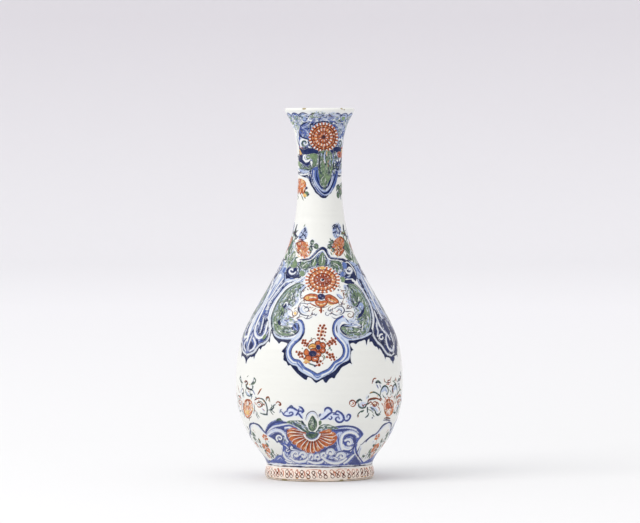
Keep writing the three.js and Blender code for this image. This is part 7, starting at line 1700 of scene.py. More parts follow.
def lower_fan():
    a = Art()
    F, L, W, D = a.fill, a.line, a.white, a.dot
    # ground
    F(BLUE, [(265.6, 432.4), (266.6, 428.6), (270, 424.6), (274.6, 421.4), (279.6, 419.8), (284, 421), (290, 422.6), (297, 425), (303, 429), (308, 433), (312, 434.6), (317, 431.4),
             (322, 428.4), (330, 427), (337, 426.2), (344, 425.8), (351, 426), (357.4, 427.6), (361.4, 430.8), (363.2, 434.4), (360.6, 438), (358.2, 441), (356.8, 445), (356.6, 449),
             (358, 454), (360.6, 458.6), (363.4, 463.6), (350, 465), (336, 465.6), (320, 465.4), (305, 464.4), (290, 463.4), (278, 463), (270, 462.4), (272, 459.6), (277.6, 457.6), (281.6, 455.2),
             (282.8, 450), (282.6, 445.8), (279.6, 443.2), (274.6, 440), (268.4, 436)], tone=0.85)
    F(DARK, [(286, 447), (292, 446), (298, 448.6), (305, 451.4), (312, 454), (319, 452.6), (326, 448), (333, 444), (336, 447), (332, 450.6), (325, 453.6), (317, 456), (308, 455.4), (299, 452.4), (291, 451)], tone=0.45)
    F(BLUE, [(285, 453), (290, 451), (296, 452), (303, 453.4), (311, 456.4), (318, 456.4), (325, 454), (331, 450.6), (338, 450.6), (346, 452.6), (353, 454.4), (353, 458.6), (349, 463.4), (336, 464),
             (322, 463.6), (305, 463), (292, 462.2), (286, 461)], tone=0.85, cut=ALL)
    gk = [(2.0, BLUE, 0.7, 1), (1.8, PALE, 0.4, 1), (1.4, BLUE, 1.0, 1), (1.2, None, None, 1), (1.6, DARK, 0.3, 0)]
    strokes(a, [(285, 452), (300, 453), (316, 456), (330, 450), (346, 452), (354, 455), (350, 464), (320, 464), (286, 462)], [(286, 456), (320, 460), (352, 458)], 120, gk, 371, ln=(2.2, 5.0), w=(0.8, 1.5), spread=0.9)
    strokes(a, [(272, 424), (286, 424), (300, 430), (292, 444), (284, 446), (276, 440), (268, 432)], [(270, 432), (280, 428), (290, 436)], 34, [(2, BLUE, 0.5, 1), (1.5, DARK, 0.4, 0), (1.2, PALE, 0.4, 1)], 372, ln=(2.2, 5.0), w=(0.7, 1.3), spread=0.5)
    strokes(a, [(334, 428), (350, 427), (361, 432), (358, 440), (356, 452), (350, 452), (338, 450), (334, 442)], [(334, 430), (350, 428), (358, 436), (356, 450)], 44, [(2, BLUE, 0.5, 1), (1.5, DARK, 0.4, 0), (1.4, PALE, 0.4, 1)], 373, ln=(2.2, 5.0), w=(0.7, 1.3), spread=0.5)
    # left arcs
    p = [(266.2, 431.6), (268.4, 426.8), (272.5, 423), (278, 421), (283, 422), (288.4, 423.4)]
    L(DARK, p, 3.4, (0.8, 0.5), tone=0.5)
    L(BLUE, shift(p, 0.8), 0.9, tone=0.3, cut=ALL)
    L(GREEN, [(276.4, 420.6), (279.2, 419.2), (281.6, 420.4)], 2.4, tone=0.95, cut=ALL)
    W([(267.2, 433), (270.4, 429.1), (273.9, 426.5), (279.4, 425.4), (284.3, 424.4), (290.5, 423.7)], 1.7, (0.8, 0.5))
    L(PALE, [(270.4, 429.1), (273.9, 426.5), (279.4, 425.4), (284.3, 424.4)], 0.6, tone=0.6)
    L(DARK, [(273.6, 429.4), (279, 427.7), (286.4, 427.8)], 2.8, (0.5, 0.8), tone=0.1)
    p = [(268, 434.6), (271.1, 431.9), (275.3, 430.4), (280.1, 430.9), (283.6, 433.2), (285.9, 436.7), (287.8, 441.4)]
    L(BLUE, p, 4.8, (0.7, 0.7), tone=0.9, cut=ALL)
    W(p, 3.4, (0.7, 0.6))
    L(PALE, shift(p, 0.6), 1.0, tone=0.5)
    L(PALE, shift(p, -1.0), 0.7, tone=0.2)
    strokes(a, [(280, 432), (285, 434), (288.4, 442), (289, 446), (285, 446), (282.6, 441)], [(282, 432), (287, 444)], 26, [(2, None, None, 1), (2, PALE, 0.4, 1), (1.4, BLUE, 0.4, 1), (0.8, GREEN, 0.3, 1)], 374, ln=(1.8, 4.2), w=(0.6, 1.2), spread=0.3)
    F(DARK, [(270.6, 436.4), (272.6, 434.2), (275.6, 432.8), (279.6, 432.9), (282.3, 435.4), (283.4, 439.4), (282, 443), (277.6, 442), (273.4, 439)], tone=0.3)
    curl(a, 279.2, 438, 2.8, 2.4, 5.6, 1.7, shrink=0.3)
    L(PALE, [(273, 436.4), (276, 438.6), (277.4, 441.4)], 0.8, tone=0.5)
    curl(a, 279.4, 438.2, 3.1, 2.4, 5.6, 2.6, shrink=0.3)
    curl(a, 279.4, 438.2, 2.2, 2.6, 4.6, 0.8, ch=BLUE, tone=0.7, shrink=0.35, cut=())
    L(BLUE, [(284.4, 441.4), (285.6, 444.4), (287.6, 446.8), (287.6, 449.4)], 2.6, tone=0.55, cut=ALL)
    W([(283.6, 444.6), (286.4, 446.2), (288.4, 448.6)], 1.2)
    W([(287.4, 438.6), (289.4, 441.4), (292, 443.4)], 1.3)
    L(DARK, [(286.6, 430.4), (287, 435.6), (288.9, 440.4), (291.6, 444.6), (295, 448)], 1.9, (0.6, 0.8), tone=0.1)
    brim(a, [(291.4, 449), (296, 450.2), (300.4, 452), (304.4, 452.2)], 1.5, tone=0.9)
    brim(a, [(331, 455.6), (336, 453.4), (341, 454.4), (343, 457.6), (340, 460.2), (335.4, 459.6)], 2.0, tone=0.9)
    brim(a, [(343.6, 461.4), (348, 459.4), (351.6, 456.6)], 1.8, tone=0.9)
    brim(a, [(296, 433.4), (294, 429.6), (290, 427.6), (285, 428)], 1.5, tone=0.9)
    brim(a, [(350.6, 451.4), (352.4, 447.4), (355.4, 444.4)], 1.3, tone=0.9)
    brim(a, [(333.4, 433.6), (332.6, 438.4), (333.4, 443.6)], 1.2, tone=0.9)
    brim(a, [(325.4, 463), (330, 461.6), (334.4, 462.8)], 1.4, tone=0.9)
    brim(a, [(352, 462.4), (356, 460.4), (358.4, 457)], 1.4, tone=0.9)
    L(PALE, [(344, 427.2), (350.4, 427.4), (356.6, 429.4)], 0.9, tone=0.2, cut=ALL)
    # cloud curls under the fan
    curl(a, 292, 447.8, 1.8, 1.0, 5.0, 1.3, shrink=0.3)
    curl(a, 287.4, 450, 1.9, 0.4, 4.6, 1.1, shrink=0.3)
    brim(a, [(283.6, 452.4), (284.6, 456.4), (287.4, 459.4), (291.4, 461.4), (296.4, 462.4)], 2.8, tone=0.9)
    brim(a, [(285.4, 460.4), (288.4, 462), (292, 462.6)], 1.6, tone=0.9)
    L(PALE, [(284.2, 450.6), (286, 454), (289, 456.4)], 1.6, tone=0.8, cut=ALL)
    F(BLUE, [(276, 456.6), (280.4, 455), (283, 457.4), (284.4, 461.4), (279.6, 462), (274.4, 460.8)], tone=0.6)
    L(PALE, [(277.4, 459.6), (280.4, 457.6), (282.6, 460)], 1.0, tone=0.3, cut=ALL)
    brim(a, [(307.6, 453.8), (308.6, 457.6), (306.2, 460.6), (300.6, 461.9), (294.6, 461), (290.4, 457.8)], 2.7)
    volute(a, 295.6, 454.7, 4.3, 2.6, 6.2, 2.7)
    volute(a, 303.2, 455.6, 3.9, 3.4, 5.4, 2.6)
    brim(a, [(309.2, 457.6), (310.6, 454.6), (313.2, 455.4), (313.6, 458.2), (311.8, 459.4)], 2.2)
    brim(a, [(314.9, 459), (315.6, 455.6), (318.4, 454.9), (320, 457), (318.8, 459.2), (317, 458.6)], 2.2)
    brim(a, [(321.2, 457.6), (321.6, 454.2), (324.2, 452.9), (326, 454.8), (325, 457), (323.4, 456.6)], 2.2)
    brim(a, [(308.2, 461.2), (312.7, 462.5), (316.9, 463.1), (321.1, 462.2), (324.6, 459.8)], 2.4)
    L(DARK, [(309, 459.9), (313, 461.2), (318, 461.2), (322, 459.6)], 0.9, tone=0.3)
    # bands over the right curl
    L(DARK, [(332, 427.4), (340, 426.3), (348, 426.2), (355, 427.5), (360, 431), (362, 435.6)], 1.9, (0.6, 0.8), tone=0.3)
    W([(335, 429.2), (342, 428.2), (349, 428.2), (355, 429.8), (359, 433.4)], 1.0)
    L(PALE, [(335, 429.2), (342, 428.2), (349, 428.2), (355, 429.8)], 0.5, tone=0.7)
    L(DARK, [(334, 430.8), (342, 430), (349.4, 430), (355.6, 432), (359.6, 436)], 1.5, (0.6, 0.7), tone=0.4)
    F(PALE, [(337.2, 433.4), (341, 431.8), (342.2, 434), (340.2, 438), (340.4, 444), (341.8, 450), (338.4, 451), (336.6, 446), (336.2, 438)], tone=0.5, cut=ALL)
    L(BLUE, [(338.6, 434), (337.9, 438.4), (338.6, 444.6)], 1.1, tone=0.8)
    L(DARK, [(336, 436), (335.8, 441), (336.8, 446)], 1.3, tone=0.3)
    brim(a, [(342.2, 449.6), (341, 445), (340.9, 440.6), (341.8, 436.7), (344.5, 433.5), (349.4, 432), (354.7, 433.2), (358, 436.6)], 3.0)
    L(DARK, [(344.4, 442.4), (344.9, 438.9), (346.8, 436.6), (350, 435.6), (353.2, 437), (354.8, 440.4), (354.5, 444.6), (352.7, 448.2), (350.4, 450.4)], 2.5, (0.5, 0.6), tone=0.2)
    L(BLUE, [(346, 437.8), (349.8, 436.5), (353, 438.4)], 1.0, tone=0.2, cut=ALL)
    volute(a, 348.8, 442.6, 3.9, 3.7, 5.4, 2.6)
    F(None, [(342.6, 443.6), (346, 445.8), (351, 446.6), (350.2, 449.6), (345.6, 450), (342.6, 448.6)])
    L(PALE, [(343.8, 446.4), (346.6, 448), (349.6, 448.2)], 1.2, tone=0.4)
    L(BLUE, [(343.6, 444.7), (346.4, 446.4), (350.4, 446.9)], 0.7, tone=0.7)
    # curls at the right foot
    L(DARK, [(334.4, 447.6), (331.4, 446.6), (328, 448.2), (326.2, 450.8)], 1.7, tone=0.2)
    volute(a, 330.9, 452.8, 4.0, 3.0, 6.2, 2.7)
    L(DARK, [(335.4, 455), (337.6, 452.2), (343.1, 450.9), (348.7, 452), (353.6, 453.6)], 1.4, (0.6, 0.7), tone=0.1)
    volute(a, 341.6, 456.4, 4.2, 3.2, 6.0, 2.7, sx=1.15)
    brim(a, [(354, 454.8), (350.8, 457.8), (347.8, 461), (344.6, 463.2)], 2.7)
    brim(a, [(322.3, 457.2), (326.5, 460.6), (332, 462.8), (337.6, 462.9), (342.4, 461.2), (346, 458.6)], 3.0)
    L(DARK, [(328, 458.4), (332, 459.9), (336, 459.9)], 1.1, tone=0.4)
    brim(a, [(333.4, 457.2), (336, 458.2), (338, 460.2)], 1.3)
    F(DARK, [(348, 464.6), (351.5, 461.6), (354.4, 457.4), (356.6, 456.6), (358.4, 460.6), (361, 464.6), (354, 465)], tone=0.0)
    L(None, [(354.6, 447.4), (354.4, 451), (356, 455), (358.8, 459), (361.4, 462.4)], 1.0, cut=ALL)
    L(BROWN, [(356, 452), (358, 456.2), (361, 460.6)], 0.6)

    # leaves and bud
    F(GREEN, [(311, 434.4), (305.4, 432.6), (299.4, 428.6), (293, 425), (286.4, 422.4), (289.6, 420.6), (295.6, 420.4), (300.4, 420.6), (305, 424), (308.4, 428.4), (311, 431.6)],
      tone=(0.95, 0.55), axis=[(309, 432), (288, 421)])
    L(DARK, [(288.4, 422.2), (294.4, 424.2), (300.6, 427.8), (306, 432)], 0.9)
    W([(290.4, 421.2), (295.4, 422.2), (299.6, 424.8)], 0.9)
    L(LINE, [(301.6, 420.6), (304, 423.6)], 1.5)
    F(GREEN, [(314.4, 434.6), (316.6, 430), (319.4, 426.4), (324, 424.2), (330, 424.6), (335.6, 427), (338.6, 428.6), (332, 429.6), (325, 430.4), (320, 431.8), (317, 434.4)],
      tone=(0.95, 0.6), axis=[(316, 432), (337, 428)])
    L(DARK, [(318.4, 430.6), (324, 428.4), (331, 427.6), (336.4, 428.4)], 0.9)
    W([(320.4, 426.8), (325.4, 425.6), (330.4, 426)], 0.8)
    F(GREEN, [(318, 424.6), (319.4, 420.6), (321.6, 421.4), (320.6, 425)], tone=0.6)
    F(None, [(306.4, 421), (308, 416.6), (311.4, 413.4), (315.2, 414.8), (317.6, 419), (318.8, 424), (317.6, 429.4), (313.6, 432), (309, 430.6), (306.4, 426.4)])
    F(GREEN, [(312.4, 415.6), (309.8, 419.4), (308, 424), (308.8, 428.6), (311.4, 431), (314.6, 430.6), (316.9, 427), (317, 422), (315, 418)],
      tone=(0.75, 0.95), axis=[(309, 422), (317, 426)])
    L(GREEN, [(312, 418), (311, 423), (312, 428.6)], 1.2, tone=0.25)
    L(LINE, [(312.6, 416), (314.4, 419.4), (314.8, 424)], 0.8)
    L(LINE, [(305.6, 419.6), (307, 414.8), (310, 411.9), (313.6, 411.4), (316.6, 413.8), (318.4, 418.4)], 0.9)
    L(PALE, [(306.4, 420.6), (308, 415.6), (311.2, 412.9), (315, 413.8), (317.4, 418)], 0.9, tone=0.2)
    lk = [(2, GREEN, 1.0, 1), (1.6, GREEN, 0.5, 1), (1.6, PALE, 0.8, 1), (1.3, None, None, 1), (0.9, DARK, 0.5, 0)]
    strokes(a, [(309, 433), (303, 430), (297, 426.4), (288, 422.4), (292, 420.8), (300, 421), (305, 424.6), (309, 430)], [(309, 432), (299, 426), (289, 421.6)], 26, lk, 381, ln=(2.6, 6), w=(0.6, 1.1), spread=0.2)
    strokes(a, [(316, 433), (318.6, 428.4), (324, 425), (331, 425.4), (338, 428.2), (331, 429.6), (322, 430.8)], [(316, 432), (323, 428), (337, 428)], 24, lk, 382, ln=(2.6, 6), w=(0.6, 1.1), spread=0.2)
    strokes(a, [(312.4, 416.4), (309, 423), (309.4, 429), (315.6, 429.6), (317, 423), (314.6, 418)], [(312.6, 417), (312.4, 430)], 14, [(2, GREEN, 0.15, 1), (1.5, GREEN, 1.0, 1), (0.6, YELLOW, 0.6, 1)], 383,
            ln=(2.4, 5), w=(0.5, 0.9), spread=0.2)
    W([(290, 424.4), (296, 426.9), (301, 430), (304.8, 433.2)], 0.9)
    L(BLUE, [(289, 425), (295, 428), (300.4, 431)], 0.9, tone=0.8)
    # orange fan
    F(RED, [(287.4, 431.4), (289.6, 428.2), (294, 427.8), (299.4, 430.4), (303.6, 433.4), (306.6, 437), (311, 440), (315.4, 439.6), (319, 436.4), (321.4, 433.2), (326, 431.6), (331.6, 431.8),
            (335.4, 434), (337.2, 437.6), (335.4, 442), (331, 445.4), (326.6, 446), (322.4, 447), (320.6, 450.4), (317.6, 452), (314.4, 451), (312, 453.6), (308.6, 452.4), (305.6, 452.6),
            (303.9, 449.4), (300.4, 448.8), (297, 446.6), (295.6, 443.4), (291.6, 441.6), (288.2, 437.6), (287, 434)], tone=(0.5, 0.75), axis=[(290, 434), (334, 438)])
    tips = [(287.2, 430.4), (287.4, 434.6), (289.2, 439), (292.6, 443.2), (297.2, 447), (302.4, 450.2), (307.8, 452.6), (313.2, 453.2), (318.4, 451.6), (323.4, 448.4), (328.2, 445.8),
            (332, 442.2), (334.4, 438.4), (335.6, 434.2), (331.6, 431)]
    g = np.random.default_rng(391)
    n = len(tips)
    for i, (x, y) in enumerate(tips):
        ph = math.radians(196 - 212 * i / (n - 1))
        bx, by = 312.4 + 7.6 * math.cos(ph), 434.6 + 5.8 * math.sin(ph)
        dx, dy = x - bx, y - by
        ln = math.hypot(dx, dy)
        dx, dy = dx / ln, dy / ln
        nx, ny = -dy, dx
        j = tips[i + 1] if i < n - 1 else tips[i - 1]
        wt = 0.46 * math.hypot(j[0] - x, j[1] - y)
        wb = 0.9
        def at(u, v):
            return bx + dx * ln * u + nx * v, by + dy * ln * u + ny * v
        F(RED, [at(0, -wb), at(0.45, -wt * 0.8), at(0.8, -wt), at(0.97, -wt * 0.55), at(1.02, 0), at(0.97, wt * 0.55), at(0.8, wt), at(0.45, wt * 0.8), at(0, wb)],
          tone=(0.45 + 0.25 * g.random(), 0.15 + 0.35 * g.random()), axis=[at(0, 0), at(1, 0)])
        L(RED, [at(0.05, 0.2), at(0.4, 0.3), at(0.75, 0.1)], 1.3 + 0.4 * g.random(), (0.8, 0.3), tone=0.9)
        W([at(0.0, wb), at(0.45, wt * 0.85), at(0.82, wt * 1.02), at(1.0, wt * 0.5)], 0.7, (0.4, 0.8))
        L(BROWN, [at(0.02, wb * 0.5), at(0.4, wt * 0.5), at(0.85, wt * 0.45)], 0.75, (0.8, 0.3))
        if i in (0, 1, 8, 12, 13, 14):
            L(YELLOW, [at(0.5, -0.5), at(0.75, -0.6), at(0.93, -0.3)], 0.9, tone=0.4, cut=ALL)
        if i % 2:
            L(YELLOW, [at(0.35, -wt * 0.3), at(0.7, -wt * 0.35), at(0.92, -wt * 0.2)], 0.8, tone=0.1, cut=ALL)
        L(BROWN, [at(0.9, -wt * 0.5), at(0.99, 0), at(0.9, wt * 0.3)], 0.6, (0.6, 0.6))
    L(BROWN, [(305.2, 439.8), (309, 442), (313.4, 442.3), (317, 441), (319.8, 438.4)], 0.8)
    L(None, [(303.9, 434.2), (306, 437.8), (309.6, 440), (313.6, 440.2), (317.6, 438), (320.2, 434)], 1.7, (0.8, 0.8), cut=ALL)
    F(GREEN, [(305.8, 434.8), (309, 432.2), (312.4, 431.6), (316, 432.4), (318.2, 434.4), (316, 437), (312.6, 438.8), (308.6, 437.8)], tone=1.0)
    L(DARK, [(307.6, 434.4), (311, 432.8), (315.6, 433.4)], 1.3, tone=0.5)
    L(PALE, [(308.4, 436.6), (311.6, 437.9), (315, 437)], 0.9, tone=0.7)
    return a


def lower_clouds():
    """Blue cloud scrolls over the band."""
    a = Art()
    F, L, W, D = a.fill, a.line, a.white, a.dot
    F(PALE, [(280.6, 410.4), (284.2, 412.4), (287.4, 409), (290.6, 405.8), (294, 407), (298.2, 409), (300, 406), (303.6, 409.6), (303, 413.4), (303, 418.4), (299.6, 417), (295, 415.6), (290, 417), (284.4, 416)],
      tone=0.1)
    for p, w, t in [([(280, 410.2), (282.3, 412.6), (284.1, 415), (287, 416), (290.8, 415.6), (293, 413.9), (291.8, 412.2), (289.4, 412.6), (289.8, 414)], 1.6, 0.9),
                    ([(287.2, 411.4), (287.8, 408.6), (290.4, 407.4), (293.8, 408.3), (296.4, 410), (299.6, 411), (302.9, 411.1)], 2.1, 0.95),
                    ([(289.4, 406.6), (291, 405.8), (292.8, 406.2)], 1.5, 0.6), ([(299.2, 406.5), (301.7, 408.1), (303.6, 410.9), (301.9, 412.9)], 2.0, 0.95),
                    ([(298.9, 408.8), (298.1, 412.4), (296, 415.4)], 1.9, 1.0), ([(298.5, 413), (300.3, 415.8), (302.6, 418.6)], 1.8, 1.0),
                    ([(284.1, 413.6), (285.4, 411.8), (287.2, 410.9)], 1.2, 0.9), ([(280, 412.6), (280.4, 410.2), (281.6, 409.6)], 1.3, 0.5)]:
        L(BLUE, p, w, tone=t, cut=ALL)
        L(DARK, shift(p, 0.15 * w), w * 0.42, (0.4, 0.4), tone=0.9)
    D(GREEN, 291, 406.4, 1.6, tone=1.0)
    D(GREEN, 280.6, 411, 1.5, tone=1.0)
    # right cloud
    F(PALE, [(320, 414.6), (323.4, 413), (325.2, 409.4), (328.4, 408), (331.4, 411), (334.6, 412.4), (338, 410.4), (341.6, 413), (345.4, 415), (348.4, 413.6), (350, 416), (348, 420.4), (343.4, 421.6), (338.6, 422),
             (334.6, 420), (330, 419.4), (325, 419.4), (321.6, 420), (319.6, 417.4)], tone=0.1)
    for p, w, t in [([(319.2, 416.8), (319.6, 414.8), (321.2, 413.9)], 1.5, 0.7), ([(324.7, 411), (325.4, 408.9), (328, 407.8), (330.8, 409.2), (331.8, 411.9), (330.6, 413.8)], 2.3, 0.95),
                    ([(320.7, 419.6), (323.7, 418.6), (327, 415.9), (330, 413.4), (332.2, 412.3)], 2.1, 1.0), ([(328.4, 418.4), (330.6, 419.5), (331.9, 417.8), (330.9, 416)], 1.5, 0.9),
                    ([(331.8, 412.7), (335.4, 412.8), (337, 411), (340.1, 412.4), (342.7, 415), (343.8, 418.2), (342.3, 421.3), (339.1, 422.3), (336.2, 420.6), (335.8, 418.2), (338.3, 417), (339.3, 418.9)], 2.1, 1.0),
                    ([(343.5, 418.6), (346.1, 420.8), (348.9, 419.4), (350.3, 416), (348.6, 414.4), (346.9, 415.6), (347, 417.4)], 2.0, 1.0), ([(333.2, 414.4), (336, 414.2), (339, 415.2)], 1.6, 1.0)]:
        L(BLUE, p, w, tone=t, cut=ALL)
        L(DARK, shift(p, 0.15 * w), w * 0.42, (0.4, 0.4), tone=0.9)
    D(GREEN, 320, 415.4, 1.5, tone=1.0)
    W([(329.4, 410.6), (328, 412)], 0.9)
    return a


def lower_shield():
    """White panel between two fans, degrees from its axis and height: right half."""
    a = Art()
    a.tr = polar
    F, L, W, D = a.fill, a.line, a.white, a.dot
    L(DARK, [(0, 40.6), (2.6, 40.2), (6.2, 39), (9, 36.6), (11.6, 34), (14.6, 32.4), (17.4, 31.2), (19.6, 29.4), (20.8, 27.8)], 2.0, (0.8, 0.8), tone=0.5)
    L(GREEN, [(3.6, 40.4), (7, 39.2), (10, 36.6)], 1.4, tone=0.95)
    L(LINE, [(15.6, 33), (18.6, 31), (21.4, 28.8), (24, 26.4), (25.8, 25.4)], 1.2)
    L(LINE, [(25.8, 24.8), (24.8, 20.4), (22.8, 16.6), (20, 13.6)], 1.2)
    L(PALE, [(24.4, 24.6), (23.4, 20.4), (21.4, 17), (18.8, 14.4)], 1.0, tone=0.4)
    L(BLUE, [(23.2, 24), (22.2, 20.6), (20.2, 17.6)], 0.6, tone=0.5)
    L(LINE, [(20.4, 14.6), (16.4, 12.8), (12, 12.9)], 1.0)
    F(BLUE, [(14, 12.6), (18, 13.4), (21, 15.6), (23, 13.4), (20, 11.9), (15, 11.7)], tone=0.7)
    F(DARK, [(10, 12.4), (14, 13.4), (17, 12.6), (13, 11.8)], tone=0.3)
    L(PALE, [(2, 38.6), (6, 37.4), (9, 34.8), (12, 32.4), (16, 30.9)], 0.9, tone=0.2)
    return a


def posy(s):
    """Flowering branch on a white panel of the lower band, degrees from the panel's
    axis and height. s is 1 or -1 and says which way it leans."""
    a = Art()
    a.tr = polar
    F, L, W, D = a.fill, a.line, a.white, a.dot
    g = np.random.default_rng(401 if s > 0 else 402)
    K = 1.32                                   # degrees per millimetre at this height

    def P(*pts):
        return [(s * t, z) for t, z in pts]

    def leaf(t, z, ang, ln, w, tone):
        c, q = math.cos(math.radians(ang)), math.sin(math.radians(ang))
        def at(u, v):
            return (t + K * (c * u * ln - q * v * w), z + q * u * ln + c * v * w)
        b = g.uniform(-0.25, 0.25)
        F(GREEN, P(at(0, 0), at(0.3, 0.42 + b * 0.4), at(0.65, 0.5 + b), at(1, b), at(0.62, -0.42 + b), at(0.28, -0.4 + b * 0.4)), tone=(tone, tone - 0.4), axis=P(at(0, 0), at(1, b)))
        L(LINE, P(at(0.05, 0), at(0.5, b * 0.5), at(0.95, b)), 0.45, (0.6, 0.3))

    def bloom(t, z, r, n, rot, tone):
        for i in range(n):
            an = rot + 2 * math.pi * i / n + g.uniform(-0.08, 0.08)
            c, q = math.cos(an), math.sin(an)
            F(RED, P((t + K * (0.25 * r * c), z + 0.25 * r * q), (t + K * r * (0.75 * c - 0.42 * q), z + r * (0.75 * q + 0.42 * c)), (t + K * r * (1.02 * c - 0.12 * q), z + r * (1.02 * q + 0.12 * c)),
                     (t + K * r * (1.0 * c + 0.2 * q), z + r * (1.0 * q - 0.2 * c)), (t + K * r * (0.72 * c + 0.44 * q), z + r * (0.72 * q - 0.44 * c))), tone=tone + g.uniform(-0.25, 0.25))
            W(P((t + K * r * 0.3 * math.cos(an + math.pi / n), z + r * 0.3 * math.sin(an + math.pi / n)), (t + K * r * 1.05 * math.cos(an + math.pi / n), z + r * 1.05 * math.sin(an + math.pi / n))), 0.45, (0.4, 0.9))
            L(BROWN, P((t + K * r * 0.35 * c, z + r * 0.35 * q), (t + K * r * 0.8 * c, z + r * 0.8 * q)), 0.5, (1, 0.3))
        D(YELLOW, s * t, z, 0.62 * r, tone=0.4)
        D(DARK, s * t, z, 0.32 * r, tone=0.3, cut=())

    L(GREEN, P((-13.4, 15), (-9, 18.4), (-3, 22), (4, 26.6), (10, 31), (13.4, 35)), 0.9, (0.7, 0.5), tone=1.0)
    for q in (((-3, 22), (-6.4, 26.2), (-8.6, 30.4)), ((3.6, 26.2), (9.4, 26.6), (14.4, 24.6)), ((-9, 18.4), (-3, 16.6), (2.6, 17)), ((7.6, 29.2), (6, 32.4), (4.4, 34.4))):
        L(GREEN, P(*q), 0.7, (0.8, 0.4), tone=0.95)
    for t, z, ang, ln, w, tone in [(-11.4, 16.6, 150, 3.6, 2.0, 0.95), (-8.4, 19, 100, 3.8, 2.0, 0.7), (-6, 20.2, -60, 3.4, 1.9, 1.0), (-5, 24.6, 170, 3.2, 1.8, 0.8), (0.4, 24.4, -50, 3.4, 2.0, 0.9),
                                   (2.4, 26, 110, 3.8, 2.1, 1.0), (6.6, 28.4, 20, 4.4, 2.2, 1.0), (8.4, 30, 95, 4.2, 2.1, 0.85), (10.6, 31.6, 30, 4.0, 2.0, 0.95), (11.4, 33, 120, 3.6, 1.8, 0.8),
                                   (12.9, 34.6, 60, 3.2, 1.6, 1.0), (10, 26.6, 60, 3.0, 1.7, 0.7), (11.4, 26, -70, 3.0, 1.7, 1.0), (-1.6, 16.6, -60, 2.6, 1.5, 0.9), (-3.4, 16.9, 60, 2.4, 1.4, 0.7)]:
        leaf(t, z, ang, ln, w, tone)
    bloom(-2.2, 22.6, 3.5, 6, 0.3, 0.3)
    bloom(3.4, 17.2, 2.3, 5, 0.9, 0.2)
    bloom(-8.8, 30.8, 2.3, 5, 0.1, 0.25)
    bloom(14.6, 24.2, 2.1, 5, 0.5, 0.35)
    for t, z, ang, ln, w, tone in [(-4.4, 18.6, -100, 3.4, 2.0, 1.0), (1.2, 21.4, -30, 3.6, 1.9, 1.0), (-6.6, 23.4, 120, 3.2, 1.8, 1.0), (5.4, 24.6, -60, 3.2, 1.8, 0.95), (4.8, 30.6, 60, 3.4, 1.9, 1.0)]:
        leaf(t, z, ang, ln, w, tone)
    for t, z, d, ch in [(4.2, 35, 1.7, RED), (2.6, 33.8, 1.2, RED), (14.2, 36.2, 1.3, BROWN), (-13.8, 17.8, 1.3, DARK), (-12.6, 19.2, 1.0, RED), (-5.6, 29.4, 1.1, RED), (6.4, 23.4, 1.2, DARK), (-11.4, 27.6, 1.1, BLUE),
                        (8.2, 20.6, 1.1, RED), (0.2, 28.8, 1.1, YELLOW)]:
        D(ch, s * t, z, d, tone=0.6)
    L(DARK, P((-13.6, 15), (-15.4, 14.4), (-15.9, 15.8), (-14.6, 16.6)), 0.8, (0.7, 0.5), tone=0.3)
    L(LINE, P((-9, 18.2), (-8, 16), (-9.4, 14.9)), 0.6)
    return a


